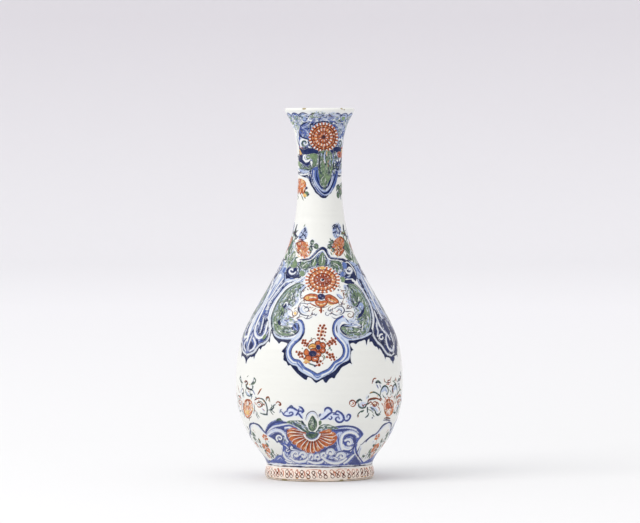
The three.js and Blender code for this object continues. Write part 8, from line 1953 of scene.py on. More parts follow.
def foot_band():
    a = Art()
    a.tr = polar
    F, L, W, D = a.fill, a.line, a.white, a.dot
    rng = np.random.default_rng(23)

    def ring(z, w, ch, tone, amp, seed, keep=1.0, step=6):
        g = np.random.default_rng(seed)
        n = 120
        ph = g.uniform(0, 6.28, 3)
        pts = []
        for i in range(n + 1):
            t = 360.0 * i / n
            d = amp * (0.6 * math.sin(math.radians(2 * t) + ph[0]) + 0.4 * math.sin(math.radians(5 * t) + ph[1]) + 0.25 * math.sin(math.radians(13 * t) + ph[2]))
            pts.append((t - 180, z + d))
        ww = [w * (1 + 0.25 * g.normal()) for _ in pts]
        for i in range(0, n, step):
            if g.random() < keep:
                L(ch, pts[i:i + step + 1], ww[i:i + step + 1], (0.7, 0.7) if keep < 1 else (1, 1), tone=tone)

    ring(12.35, 1.5, DARK, 0.15, 0.22, 1)
    ring(12.9, 1.1, LINE, None, 0.3, 6, 0.6, 4)
    ring(11.2, 0.7, PALE, 0.4, 0.2, 7, 0.6, 5)
    ring(10.35, 1.15, LINE, None, 0.16, 2, 0.85, 5)
    ring(10.1, 0.6, BROWN, None, 0.2, 3, 0.7, 4)
    # interlaced scrolls in iron red
    n = 58
    st = 360.0 / n
    for i in range(n):
        c = st * i + rng.uniform(-1.1, 1.1)
        z0 = 5.1 + rng.uniform(-0.4, 0.4)
        s = 1 if rng.random() < 0.72 else -1
        k = rng.uniform(0.78, 1.22)
        ch = BROWN if rng.random() < 0.38 else RED
        up = [(c + s * (-0.3 + 1.75 * k * math.cos(u)), z0 + 1.45 + 1.3 * k * math.sin(u)) for u in np.linspace(-2.4, 3.1, 9)]
        dn = [(c + s * (0.5 + 1.75 * k * math.cos(u)), z0 - 1.35 + 1.2 * k * math.sin(u)) for u in np.linspace(0.7, 6.2, 9)]
        L(ch, up, 0.62 + 0.35 * rng.random(), (0.6, 0.7), tone=0.75)
        L(BROWN if ch == RED else ch, dn, 0.62 + 0.35 * rng.random(), (0.6, 0.7), tone=0.75)
        L(BROWN, [(c - s * 2.6, z0 + 1.5), (c - s * 0.8, z0 + 0.5), (c + s * 0.9, z0 - 0.4), (c + s * 2.7, z0 - 1.5)], 0.8 + 0.4 * rng.random(), (0.5, 0.5))
        if rng.random() < 0.4:
            L(RED, [(c + rng.uniform(-1, 1), z0 + 2.6), (c + 1.2, z0 + 1.2), (c - 0.6, z0 - 0.8), (c + rng.uniform(-1, 1.6), z0 - 2.4)], 0.7 + 0.6 * rng.random(), (0.5, 0.5), tone=0.9)
        if rng.random() < 0.45:
            L(RED, [(c + st / 2 - 0.9, z0 + 2.2), (c + st / 2, z0 + 0.4), (c + st / 2 + 0.7, z0 - 2.0)], 0.7 + 0.5 * rng.random(), (0.6, 0.4), tone=0.2 + 0.5 * rng.random())
        if rng.random() < 0.5:
            D(BROWN, c + rng.uniform(-0.4, 0.4), z0 + 0.2, 1.2 + 0.4 * rng.random(), cut=())
        if rng.random() < 0.4:
            L(YELLOW, [(c - 1.6, z0 - 2.5), (c, z0 - 2.9), (c + 1.8, z0 - 2.5)], 0.9, tone=0.6 + 0.4 * rng.random())
        if rng.random() < 0.4:
            L(RED, [(c - 1.4, z0 + 2.9), (c, z0 + 3.2), (c + 1.3, z0 + 2.8)], 0.7, tone=0.3)
    ring(8.6, 0.45, RED, 0.1, 0.2, 4, 0.5, 5)
    ring(1.35, 0.7, BROWN, None, 0.16, 5, 0.55, 5)
    return a


def build():
    ops = []
    T = math.radians(120)
    S = math.radians(62)
    # bands
    ops += place(foot_band().ops)
    ops += place(under_lip().ops)
    # side lambrequins first, so that the great ones overlap them
    half = side_half().ops
    top = side_top().ops
    for k, c in enumerate((-62, 62, 180)):
        ops += place(top, dth=math.radians(c), jitter=0.35, seed=40 + k)
        ops += place(half, dth=math.radians(c), jitter=0.25, seed=50 + k)
        ops += place(half, dth=math.radians(c), jitter=0.25, seed=60 + k, mirror=0.0)
    sa, sb = side_a().ops, side_b().ops
    R = math.radians
    # side_a carries a painted highlight strip along the turn of the wall; every copy of it takes that strip round the
    # vase
    ops += place(sa, jitter=0.25, seed=53, mirror=-S)
    ops += place(sa)
    ops += place(sb, jitter=0.25, seed=54, mirror=S)
    ops += place(sb)
    ops += place(sb, dth=R(118), jitter=0.25, seed=55)
    ops += place(sa, dth=R(242), jitter=0.25, seed=56)
    sh = lower_shield().ops
    for c, s in ((-58, -1), (62, 1), (182, 1)):
        ops += place(posy(s).ops, dth=R(c), jitter=0.15, seed=70 + s)
    for k, c in enumerate((-58, 62, 182)):
        ops += place(sh, dth=math.radians(c), jitter=0.2, seed=80 + k)
        ops += place(sh, dth=math.radians(c), jitter=0.2, seed=90 + k, mirror=0.0)
    g = great_lambrequin().ops
    nh, ne, nb = neck_half().ops, neck_extra().ops, neck_between().ops
    sl, sr = shoulder_left().ops, shoulder_right().ops
    lf, lc = lower_fan().ops, lower_clouds().ops
    mid = math.radians(11)
    for k in range(3):
        d, q = (0, T, -T)[k], (0, R(124), -R(124))[k]
        j = 0.0 if k == 0 else 0.28
        ops += place(sl, dth=q, jitter=j, seed=100 + k)
        ops += place(sr, dth=q, jitter=j, seed=110 + k)
        ops += place(g, dth=q, jitter=j, seed=120 + k)
        ops += place(lf, dth=d, jitter=j, seed=170 + k)
        ops += place(lc, dth=d, jitter=j, seed=180 + k)
    # two panels on the neck, before and behind
    for k, d in enumerate((math.pi, 0.0)):
        j = 0.22 if k == 0 else 0.0
        ops += place(neck_sprig().ops, dth=d, jitter=j, seed=135 + k)
        ops += place(nb, dth=d, jitter=j, seed=130 + k)
    for k, d in enumerate((math.pi, 0.0)):
        j = 0.22 if k == 0 else 0.0
        ops += place(nh, dth=d, jitter=0.2, seed=150 + k, mirror=mid)
        ops += place(nh, dth=d, jitter=j, seed=140 + k)
        ops += place(ne, dth=d, jitter=j * 0.6, seed=160 + k)
    fl = Art()
    strokes(fl, [(284, 268), (287.6, 256), (291.4, 246), (294.4, 239), (297, 243), (296.6, 254), (293, 265), (289, 268)], [(286, 266), (292.6, 250), (295.4, 240)], 74,
            [(2.6, None, None, 1), (1.3, PALE, 0.4, 1), (1.6, GREEN, 0.15, 1), (0.8, GREEN, 0.9, 1)], 339, ln=(2.4, 5.4), w=(0.6, 1.2), spread=0.22)
    ops += place(fl.ops)
    # belly sprays
    a, b = spray_left().ops, spray_right().ops
    ml, mr = math.radians(-60.2), math.radians(57.3)

    def side(q, m, s):
        """The strokes that lie beside the flower, on one side of it."""
        return [o for o in q if s * (float(np.mean([p[0] for p in o["c"]])) - m) > 0.085]

    ops += place(side(b, mr, -1), jitter=0.3, seed=201, mirror=mr)
    ops += place(b)
    ops += place(side(a, ml, 1), jitter=0.3, seed=202, mirror=ml)
    ops += place(a)
    ops += place(side(a, ml, 1), dth=math.radians(180 + 60.2), jitter=0.3, seed=204, mirror=ml)
    ops += place(a, dth=math.radians(180 + 60.2), jitter=0.2, seed=203)
    return ops

# =================================================================== meshes
ROW = 0.4              # spacing of the rows on the outer wall, mm
MMTO = 0.001

# Inside wall, lip and floor, as radius and height in millimetres.
LIP_OUT = [(24.6, 258.2), (24.62, 258.75), (24.3, 259.4), (23.7, 259.86), (22.9, 260.0)]
LIP_IN = [(22.9, 260.0), (22.1, 259.84), (21.3, 259.3), (20.55, 258.1), (19.8, 256.4), (18.9, 254.3), (17.9, 252.2), (16.5, 249.5), (15.25, 247.0)]
IN_NECK = [(15.25, 247.0), (13.7, 242.0), (12.6, 236.0), (12.1, 230.0), (11.6, 221.0), (11.55, 213.0), (11.9, 203.0), (12.5, 194.0), (13.3, 185.0),
           (14.7, 176.5), (16.5, 168.5), (18.15, 162.6)]
IN_SHOULDER = [(18.15, 162.6), (20.9, 155.0), (24.9, 146.5), (29.0, 138.2), (33.4, 130.0), (37.6, 122.4), (42.0, 114.6), (46.2, 106.4), (49.6, 97.8),
               (51.8, 88.6), (53.2, 79.0), (53.8, 69.0)]
IN_BELLY = [(53.8, 69.0), (53.5, 60.0), (52.6, 52.0), (50.8, 44.6), (47.9, 36.4), (45.0, 30.8), (41.4, 25.6), (36.9, 21.2), (31.6, 18.2), (22.0, 16.7),
            (12.0, 16.55), (4.0, 16.7), (0.0, 16.5)]
UNDER = [(0.0, 10.25), (4.0, 10.2), (12.0, 10.15), (21.0, 10.2), (29.2, 10.2), (37.2, 10.2)]


def even(points, step):
    """Points spread evenly along a smooth curve."""
    p = spline(points, 14)
    d = np.r_[0, np.cumsum(np.hypot(*np.diff(p, axis=0).T))]
    n = max(2, int(round(d[-1] / step)))
    q = np.linspace(0, d[-1], n + 1)
    return np.stack([np.interp(q, d, p[:, 0]), np.interp(q, d, p[:, 1])], 1)


def wave(theta, s, terms):
    out = np.zeros(np.broadcast(theta, s).shape)
    for k, f, ph, amp in terms:
        out = out + amp * np.sin(k * theta + f * s + ph)
    return out


_g = np.random.default_rng(7)
# slow warping of a hand-thrown wall: (lobes round, per mm of height, phase, mm)
WARP = [(2, 0.011, 0.4, 0.16), (1, 0.021, 2.1, 0.12), (3, -0.017, 1.0, 0.07)]
# finger grooves left by throwing: slightly spiral, a few hundredths of a millimetre
GROOVE = [(1, 2 * math.pi / p, float(_g.uniform(0, 6.28)), a) for p, a in ((7.3, 0.035), (5.1, 0.022), (11.7, 0.045), (3.3, 0.012))]
GROOVE += [(int(k), 2 * math.pi / p, float(_g.uniform(0, 6.28)), a) for k, p, a in ((7, 31.0, 0.02), (12, -44.0, 0.012), (19, 23.0, 0.008))]
# chips of the lip and the foot: angle, height, radius in mm along the rim and across it, depth
CHIPS = [(-26.4, 259.6, 1.25, 0.9, 0.3), (39.5, 259.4, 0.9, 0.5, 0.16), (44.5, 258.7, 0.6, 0.35, 0.1), (118.0, 259.7, 1.0, 0.6, 0.15), (-151.0, 259.6, 1.5, 0.7, 0.2),
         (-98.0, 259.8, 0.6, 0.45, 0.12), (24.0, 0.9, 1.6, 0.55, 0.16), (-41.0, 0.7, 2.4, 0.6, 0.2), (152.0, 0.8, 1.8, 0.5, 0.15), (-120.0, 0.9, 1.1, 0.5, 0.12)]


def chip_field(theta, r, z):
    """Distance in mm to the nearest chipped spot (negative inside one)."""
    d = np.full(np.broadcast(theta, z).shape, 9.0)
    dep = np.zeros_like(d)
    for i, (t, zc, w, h, deep) in enumerate(CHIPS):
        da = (theta - math.radians(t) + math.pi) % (2 * math.pi) - math.pi
        x, y = da * r / w, (z - zc) / h
        q = np.hypot(x, y)
        ang = np.arctan2(y, x)
        q = q + 0.13 * np.sin(3 * ang + i) + 0.09 * np.sin(5 * ang + 2 * i) + 0.05 * np.sin(9 * ang + 3 * i)
        d = np.minimum(d, (q - 1) * min(w, h))
        dep = np.maximum(dep, deep * np.clip(1.15 - q, 0, 0.6) / 0.6)
    return d, dep


def build_piece(name, wall, rest, cols, ops, sharp=(), slot=None):
    """One section of the vase: the outer wall as (r, z) rows from the bottom up, then the
    rest of its closed outline, turned round Z. The wall carries the painting."""
    wall = np.asarray(wall, float)
    rest = np.asarray(rest, float)
    prof = np.vstack([wall, rest])
    nw, n = len(wall), len(prof)
    th = -math.pi + np.arange(cols) * 2 * math.pi / cols
    sw = s_of_z(wall[:, 1])
    lip = wall[:, 1] > 258.2
    if lip.any():                          # over the lip the arc length goes on
        base = wall[~lip][-1]
        sw[lip] = s_of_z(258.2) + np.cumsum(np.hypot(*np.diff(np.vstack([base, wall[lip]]), axis=0).T))
    sw = np.maximum.accumulate(sw + np.arange(nw) * 1e-6)
    # painting on this wall
    canvas = Canvas(th, sw, wall[:, 0])
    for op in ops:
        canvas.put(op)
    # places
    T, R, Z = th[None, :], prof[:, :1], prof[:, 1:]
    full = np.zeros((n, cols))
    sfull = np.r_[sw, np.interp(rest[:, 1], PROF[:, 1], PS)][:, None]
    warp = wave(T, sfull, WARP) * np.clip((Z - 6) / 30, 0, 1) * np.clip((262 - Z) / 40 + 0.25, 0, 1)
    groove = np.zeros((n, cols))
    groove[:nw] = wave(T, sfull[:nw], GROOVE) * np.clip((Z[:nw] - 10.2) / 6, 0, 1) * np.clip((257 - Z[:nw]) / 6, 0, 1)
    chip, dent = chip_field(T, np.maximum(R, 1.0), Z)
    out_side = np.zeros((n, 1))
    out_side[:nw] = 1
    dent = dent * np.where((Z > 256) | (Z < 3), 1.0, 0.0)
    rad = np.where(R > 1e-6, R + warp + groove, 0.0)
    # chips eat inwards from the wall's normal, taken here as towards the middle of the rim
    mid = np.where(Z > 200, 22.6, 33.5)
    away = np.sign(R - mid)
    rad = rad - dent * 0.55 * np.where(np.abs(R - mid) > 0.4, away, 0)
    zz = Z + np.where(Z > 200, -dent * 0.75, 0.0) * np.ones((1, cols))
    X, Y = rad * np.sin(T), -rad * np.cos(T)
    pole = prof[:, 0] < 1e-6
    rows, verts, count = [], [], 0
    for i in range(n):
        if pole[i]:
            rows.append(np.full(cols, count))
            verts.append([[0.0, 0.0, Z[i, 0]]])
            count += 1
        else:
            rows.append(np.arange(count, count + cols))
            verts.append(np.stack([X[i], Y[i], zz[i]], 1))
            count += cols
    co = np.concatenate([np.asarray(v, float) for v in verts]) * MMTO
    ring = np.concatenate([[i] if pole[i] else np.full(cols, i) for i in range(n)])
    quads, tris, vq, vt = [], [], [], []
    per = np.r_[0, np.cumsum(np.hypot(*np.diff(np.vstack([prof, prof[:1]]), axis=0).T))]
    # the wall takes most of the unwrapped height
    wl = per[nw - 1]
    def vcoord(k):
        p = per[k]
        if p <= wl:
            return 0.02 + 0.80 * p / wl
        return 0.84 + 0.14 * (p - wl) / (per[-1] - wl)
    j = np.arange(cols)
    jn = (j + 1) % cols
    for i in range(n):
        k = (i + 1) % n
        if pole[i] and pole[k]:
            continue
        va, vb = vcoord(i), vcoord(i + 1)
        if i == nw - 1:
            va = 0.84
        a, b = rows[i], rows[k]
        u0, u1 = j / cols, (j + 1) / cols
        if pole[i]:
            tris.append(np.stack([a[j], b[jn], b[j]], 1))
            vt.append(np.stack([np.stack([u0, u0 * 0 + va], 1), np.stack([u1, u0 * 0 + vb], 1), np.stack([u0, u0 * 0 + vb], 1)], 1))
        elif pole[k]:
            tris.append(np.stack([a[j], a[jn], b[j]], 1))
            vt.append(np.stack([np.stack([u0, u0 * 0 + va], 1), np.stack([u1, u0 * 0 + va], 1), np.stack([u0, u0 * 0 + vb], 1)], 1))
        else:
            quads.append(np.stack([a[j], a[jn], b[jn], b[j]], 1))
            vq.append(np.stack([np.stack([u0, u0 * 0 + va], 1), np.stack([u1, u0 * 0 + va], 1), np.stack([u1, u0 * 0 + vb], 1), np.stack([u0, u0 * 0 + vb], 1)], 1))
    Q = np.concatenate(quads)
    lt = [4] * 0
    loops = [Q.ravel()]
    sizes = [np.full(len(Q), 4)]
    uvs = [np.concatenate(vq).reshape(-1, 2)]
    if tris:
        Tt = np.concatenate(tris)
        loops.append(Tt.ravel())
        sizes.append(np.full(len(Tt), 3))
        uvs.append(np.concatenate(vt).reshape(-1, 2))
    loops = np.concatenate(loops).astype(np.int32)
    sizes = np.concatenate(sizes).astype(np.int32)
    me = bpy.data.meshes.new(name)
    me.vertices.add(len(co))
    me.vertices.foreach_set("co", co.ravel().astype(np.float32))
    me.loops.add(len(loops))
    me.loops.foreach_set("vertex_index", loops)
    me.polygons.add(len(sizes))
    me.polygons.foreach_set("loop_start", np.r_[0, np.cumsum(sizes)[:-1]].astype(np.int32))
    me.update(calc_edges=True)
    me.polygons.foreach_set("use_smooth", np.ones(len(sizes), bool))
    uv = me.uv_layers.new(name="OFBake")
    uv.data.foreach_set("uv", np.concatenate(uvs).ravel().astype(np.float32))
    # creases where the wall meets the joint faces
    if sharp:
        ev = np.zeros(len(me.edges) * 2, np.int32)
        me.edges.foreach_get("vertices", ev)
        ev = ev.reshape(-1, 2)
        ra, rb = ring[ev[:, 0]], ring[ev[:, 1]]
        flag = (ra == rb) & np.isin(ra, list(sharp))
        me.edges.foreach_set("use_edge_sharp", flag)
    # painting
    def store(label, chans, fillers):
        arr = np.zeros((n, cols, 3), np.float32)
        for q, (c, d) in enumerate(zip(chans, fillers)):
            arr[:, :, q] = d
            if isinstance(c, int):
                arr[:nw, :, q] = canvas.f[c]
            else:
                arr[:, :, q] = c
        flat = np.concatenate([arr[i, :1] if pole[i] else arr[i] for i in range(n)])
        at = me.attributes.new(label, "FLOAT_VECTOR", "POINT")
        at.data.foreach_set("vector", flat.ravel())

    store("paint_a", (PALE, BLUE, DARK), (MAXD,) * 3)
    store("paint_b", (GREEN, YELLOW, RED), (MAXD,) * 3)
    store("paint_c", (BROWN, LINE, TONE), (MAXD, MAXD, 0.5))
    near = canvas.f[[PALE, BLUE, DARK, LINE]].min(0)
    wid = np.full((n, cols), MAXD)
    wid[:nw] = near
    store("paint_d", (chip, wid, (1 - out_side) * np.ones((1, cols))), (9.0, MAXD, 0.0))
    ob = bpy.data.objects.new(name, me)
    bpy.context.scene.collection.objects.link(ob)
    return ob


def wall_rows(z0, z1, step):
    s0, s1 = float(s_of_z(z0)), float(s_of_z(z1))
    n = max(2, int(round((s1 - s0) / step)))
    s = np.linspace(s0, s1, n + 1)
    r, z = r_of_s(s), z_of_s(s)
    z[0], z[-1] = z0, z1
    return np.stack([r, z], 1)


def cap(a, b, n=3):
    """Points between two rings of a level joint face, ends left out."""
    t = np.linspace(0, 1, n + 2)[1:-1, None]
    return np.asarray(a) * (1 - t) + np.asarray(b) * t


ops = build()

pieces = {}
C_BODY, C_NECK, C_MOUTH, C_FOOT = ((900, 480, 560, 760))

# foot ring
foot_wall = even([(36.2, 0.0), (36.75, 0.12), (37.35, 0.55), (38.05, 1.7), (38.45, 2.9), (38.6, 4.0), (38.45, 5.4), (38.1, 6.8), (37.7, 8.1), (37.35, 9.3), (37.2, 10.2)], ROW * 0.7)
foot_wall[0] = (36.2, 0.0)
foot_wall[-1] = (float(r_of_z(10.2)), 10.2)
foot_rest = np.vstack([cap((37.2, 10.2), (29.2, 10.2), 4), [(29.2, 10.2)], even([(29.2, 10.2), (29.2, 7.5), (29.22, 4.6), (29.4, 2.2), (29.9, 0.6), (30.8, 0.0)], 0.7)[1:],
                       cap((30.8, 0.0), (36.2, 0.0), 9)])
nf = len(foot_wall)
pieces["foot_ring"] = build_piece("foot_ring_glazed", foot_wall, foot_rest, C_FOOT, ops, sharp=(nf - 1, nf + 4))

lower_wall = wall_rows(10.2, 69.0, ROW)
inner = even(IN_BELLY, 1.6)
inner[-1] = (0.0, 16.5)
lower_rest = np.vstack([cap(lower_wall[-1], inner[0], 2), inner, [(0.0, 10.25)], even(UNDER[1:], 2.0)[:-1]])
nl = len(lower_wall)
pieces["lower_body"] = build_piece("lower_body_glazed", lower_wall, lower_rest, C_BODY, ops, sharp=(0, nl - 1, nl + 2))

upper_wall = wall_rows(69.0, 162.6, ROW)
inner = even(IN_SHOULDER, 1.8)
nu = len(upper_wall)
upper_rest = np.vstack([cap(upper_wall[-1], inner[0], 2), inner, cap(inner[-1], upper_wall[0], 2)])
pieces["upper_body"] = build_piece("upper_body_glazed", upper_wall, upper_rest, C_BODY, ops, sharp=(0, nu - 1, nu + 2, nu + 1 + len(inner)))

neck_wall = wall_rows(162.6, 247.0, ROW * 0.85)
inner = even(IN_NECK, 1.5)
nn = len(neck_wall)
neck_rest = np.vstack([cap(neck_wall[-1], inner[0], 2), inner, cap(inner[-1], neck_wall[0], 2)])
pieces["neck"] = build_piece("neck_glazed", neck_wall, neck_rest, C_NECK, ops, sharp=(0, nn - 1, nn + 2, nn + 1 + len(inner)))

mouth_low = wall_rows(247.0, 258.2, ROW * 0.8)
mouth_wall = np.vstack([mouth_low, even(LIP_OUT, 0.28)[1:]])
inner = even(LIP_IN, 0.5)[1:]
nm = len(mouth_wall)
mouth_rest = np.vstack([inner, cap(inner[-1], mouth_wall[0], 2)])
pieces["mouth_rim"] = build_piece("mouth_rim_glazed", mouth_wall, mouth_rest, C_MOUTH, ops, sharp=(0, nm - 1 + len(inner)))


# ================================================================= materials
def srgb(r, g, b):
    def f(v):
        v /= 255.0
        return v / 12.92 if v <= 0.04045 else ((v + 0.055) / 1.055) ** 2.4
    return (f(r), f(g), f(b), 1.0)


class Tree:
    """Short names for building a node tree."""

    def __init__(self, mat):
        mat.use_nodes = True
        self.t = mat.node_tree
        self.t.nodes.clear()
        self.col = 0

    def node(self, kind, **props):
        n = self.t.nodes.new(kind)
        for k, v in props.items():
            setattr(n, k, v)
        self.col += 1
        n.location = (self.col * 40, -(self.col % 12) * 160)
        return n

    def link(self, a, b):
        self.t.links.new(a, b)

    def put(self, sock, v):
        if hasattr(v, "is_output"):
            self.link(v, sock)
        else:
            sock.default_value = v

    def math(self, op, a, b=None, c=None, clamp=False):
        n = self.node("ShaderNodeMath", operation=op, use_clamp=clamp)
        self.put(n.inputs[0], a)
        if b is not None:
            self.put(n.inputs[1], b)
        if c is not None:
            self.put(n.inputs[2], c)
        return n.outputs[0]

    def ramp(self, v, a, b, lo=0.0, hi=1.0, kind="SMOOTHSTEP"):
        """v going from a to b gives lo to hi, smoothly."""
        n = self.node("ShaderNodeMapRange", interpolation_type=kind)
        n.clamp = True
        self.put(n.inputs["Value"], v)
        self.put(n.inputs["From Min"], a)
        self.put(n.inputs["From Max"], b)
        self.put(n.inputs["To Min"], lo)
        self.put(n.inputs["To Max"], hi)
        return n.outputs["Result"]

    def mix(self, f, a, b, blend="MIX"):
        n = self.node("ShaderNodeMix", data_type="RGBA", blend_type=blend)
        n.clamp_factor = True
        self.put(n.inputs[0], f)
        self.put(n.inputs[6], a)
        self.put(n.inputs[7], b)
        return n.outputs[2]

    def noise(self, vec, scale, detail=2.0, rough=0.5, dist=0.0):
        n = self.node("ShaderNodeTexNoise")
        n.inputs["Scale"].default_value = scale
        n.inputs["Detail"].default_value = detail
        n.inputs["Roughness"].default_value = rough
        n.inputs["Distortion"].default_value = dist
        self.link(vec, n.inputs["Vector"])
        return n.outputs["Fac"]

    def spread(self, vec, k):
        n = self.node("ShaderNodeVectorMath", operation="MULTIPLY")
        self.link(vec, n.inputs[0])
        n.inputs[1].default_value = k
        return n.outputs[0]


def glazed(name, foot=False):
    """Tin glaze with painting in it: white opaque glaze over a buff clay, colours that
    sank into it while it melted, pinholes, chips and a thin wear on the edges. On the
    foot, a grey line at the resting edge is painted shade."""
    mat = bpy.data.materials.new(name)
    T = Tree(mat)
    out = T.node("ShaderNodeOutputMaterial")
    bsdf = T.node("ShaderNodeBsdfPrincipled")
    T.link(bsdf.outputs[0], out.inputs["Surface"])
    tc = T.node("ShaderNodeTexCoord")
    pos = tc.outputs["Object"]
    sep = T.node("ShaderNodeSeparateXYZ")
    T.link(pos, sep.inputs[0])
    mm = T.spread(pos, (1000.0, 1000.0, 1000.0))

    def attr(label):
        n = T.node("ShaderNodeAttribute", attribute_name=label, attribute_type="GEOMETRY")
        s = T.node("ShaderNodeSeparateXYZ")
        T.link(n.outputs["Vector"], s.inputs[0])
        return s.outputs

    pale, blue, dark = attr("paint_a")
    green, yellow, red = attr("paint_b")
    brown, line, tone = attr("paint_c")
    chip, near, hidden = attr("paint_d")

    # wobble of the brush's edge and of the melt
    n_edge = T.noise(mm, 1.15, 2.0, 0.6)
    n_soft = T.noise(mm, 0.28, 2.0, 0.55)
    wob = T.math("ADD", T.math("MULTIPLY", T.math("SUBTRACT", n_edge, 0.5), 0.42), T.math("MULTIPLY", T.math("SUBTRACT", n_soft, 0.5), 0.30))
    # strokes inside the colour
    n_wash = T.noise(mm, 0.42, 3.0, 0.62, 0.6)
    n_stroke = T.noise(T.spread(mm, (1.0, 1.0, 0.45)), 1.3, 2.0, 0.6, 0.9)
    dens = T.math("ADD", T.math("MULTIPLY", T.math("SUBTRACT", n_wash, 0.5), 1.7), T.math("MULTIPLY", T.math("SUBTRACT", n_stroke, 0.5), 1.1))

    # white glaze
    n_big = T.noise(mm, 0.022, 2.0, 0.5)
    base = T.mix(n_big, srgb(*GLAZE_A), srgb(*GLAZE_B))
    haze = T.ramp(near, 1.9, 0.0, 0.0, 0.20)
    base = T.mix(haze, base, srgb(196, 207, 232))
    fleck = T.noise(mm, 0.9, 3.0, 0.7)
    base = T.mix(T.ramp(fleck, 0.70, 0.80, 0.0, 0.10), base, srgb(196, 190, 178))

    # the blue of the lower band was mixed with more manganese and came out violet
    lower = T.ramp(T.math("MULTIPLY", sep.outputs[2], 1000.0), 64.0, 50.0, 0.0, 0.72)

    if foot:
        # the glaze over the foot is thin and warm from the clay under it
        zf = T.math("MULTIPLY", sep.outputs[2], 1000.0)
        warm = T.math("MULTIPLY", T.ramp(zf, 10.4, 8.2), T.ramp(n_soft, 0.25, 0.75, 0.45, 1.0))
        base = T.mix(warm, base, srgb(250, 231, 214))

    def layer(col, d, e, opaque, light, deep, pool, wobble=1.0, shift=0.0, tspan=0.75, sheer=0.90, low=None):
        dd = T.math("ADD", d, T.math("MULTIPLY", wob, wobble))
        m = T.ramp(dd, e + shift, -e + shift, 0.0, 1.0)
        t = T.math("MULTIPLY_ADD", tone, tspan, (1 - tspan) * 0.5)
        t = T.math("MULTIPLY_ADD", dens, 0.42, t)
        if pool:
            t = T.math("ADD", t, T.ramp(dd, -0.75, -0.05, 0.0, pool))
        t = T.math("ADD", t, 0.0, clamp=True)
        c = T.mix(t, srgb(*light), srgb(*deep))
        if low:
            c = T.mix(lower, c, T.mix(t, srgb(*low[0]), srgb(*low[1])))
        thin = T.ramp(dens, -0.75, 0.35, opaque * sheer, opaque)
        return T.mix(T.math("MULTIPLY", m, thin), col, c)

    col = layer(base, pale, 0.30, 0.94, *PAL["pale"], 0.18, low=PAL["pale_low"])
    col = layer(col, blue, 0.22, 0.98, *PAL["blue"], 0.30, low=PAL["blue_low"])
    col = layer(col, green, 0.20, 0.98, *PAL["green"], 0.22)
    col = layer(col, yellow, 0.20, 0.96, *PAL["yellow"], 0.22)
    col = layer(col, red, 0.17, 0.98, *PAL["red"], 0.20, 0.8)
    col = layer(col, dark, 0.20, 1.0, *PAL["dark"], 0.20, sheer=0.96, low=PAL["dark_low"])
    col = layer(col, brown, 0.17, 1.0, *PAL["brown"], 0.0, 0.6, sheer=0.95)
    col = layer(col, line, 0.17, 1.0, *PAL["line"], 0.0, 0.6, sheer=0.95)

    # pinholes and bare clay
    vor = T.node("ShaderNodeTexVoronoi", feature="F1", distance="EUCLIDEAN")
    vor.inputs["Scale"].default_value = 0.11
    T.link(mm, vor.inputs["Vector"])
    pin = T.ramp(vor.outputs["Distance"], 0.030, 0.014, 0.0, 1.0)
    pin = T.math("MULTIPLY", pin, T.ramp(n_big, 0.45, 0.6, 0.15, 0.8))
    col = T.mix(T.math("MULTIPLY", pin, 0.55), col, srgb(120, 98, 74))
    n_clay = T.noise(mm, 0.8, 4.0, 0.65)
    clay = T.mix(n_clay, srgb(190, 176, 132), srgb(138, 122, 84))
    chipd = T.math("ADD", chip, T.math("MULTIPLY", T.math("SUBTRACT", n_edge, 0.5), 0.5))
    bare = T.ramp(chipd, 0.08, -0.08)
    rim_dirt = T.math("MULTIPLY", T.ramp(chipd, 0.45, 0.02, 0.0, 0.5), T.ramp(n_edge, 0.35, 0.7))
    col = T.mix(rim_dirt, col, srgb(150, 132, 104))
    if foot:
        # the resting edge is bare and worn; the grey line just above it is painted shade where the foot meets the floor
        zmm = T.math("MULTIPLY", sep.outputs[2], 1000.0)
        edge = T.math("ADD", zmm, T.math("MULTIPLY", T.math("SUBTRACT", n_soft, 0.5), 0.9))
        worn = T.ramp(edge, 0.42, 0.12)
        # painted shade: greyer towards the resting edge, where the foot meets the floor
        foot_contact_shade = T.ramp(edge, 1.5, 0.3, 0.0, 0.35)
        col = T.mix(foot_contact_shade, col, srgb(186, 168, 142))
        bare = T.math("MAXIMUM", bare, worn)
    col = T.mix(bare, col, clay)
    T.link(col, bsdf.inputs["Base Color"])

    # finish: wet gloss, duller where it is worn, matt on clay
    n_r = T.noise(mm, 0.12, 3.0, 0.6)
    rough = T.ramp(n_r, 0.3, 0.75, 0.12, 0.24, "LINEAR")
    rough = T.math("ADD", rough, T.math("MULTIPLY", bare, 0.55), clamp=True)
    T.link(rough, bsdf.inputs["Roughness"])
    bsdf.inputs["IOR"].default_value = 1.5
    bsdf.inputs["Specular IOR Level"].default_value = 0.16

    # relief: orange peel and slow waves of the glaze, pinholes, and bare clay sunk and grained
    peel = T.noise(mm, 0.55, 2.0, 0.5)
    slow = T.noise(mm, 0.09, 2.0, 0.5)
    h = T.math("MULTIPLY_ADD", peel, 0.006, T.math("MULTIPLY", slow, 0.07))
    h = T.math("SUBTRACT", h, T.math("MULTIPLY", pin, 0.05))
    h = T.math("SUBTRACT", h, T.math("MULTIPLY", bare, 0.16))
    grain = T.noise(mm, 2.4, 3.0, 0.7)
    h = T.math("ADD", h, T.math("MULTIPLY", T.math("MULTIPLY", grain, bare), 0.12))
    bump = T.node("ShaderNodeBump")
    bump.inputs["Strength"].default_value = 1.0
    bump.inputs["Distance"].default_value = 0.001
    T.link(h, bump.inputs["Height"])
    T.link(bump.outputs[0], bsdf.inputs["Normal"])
    return mat


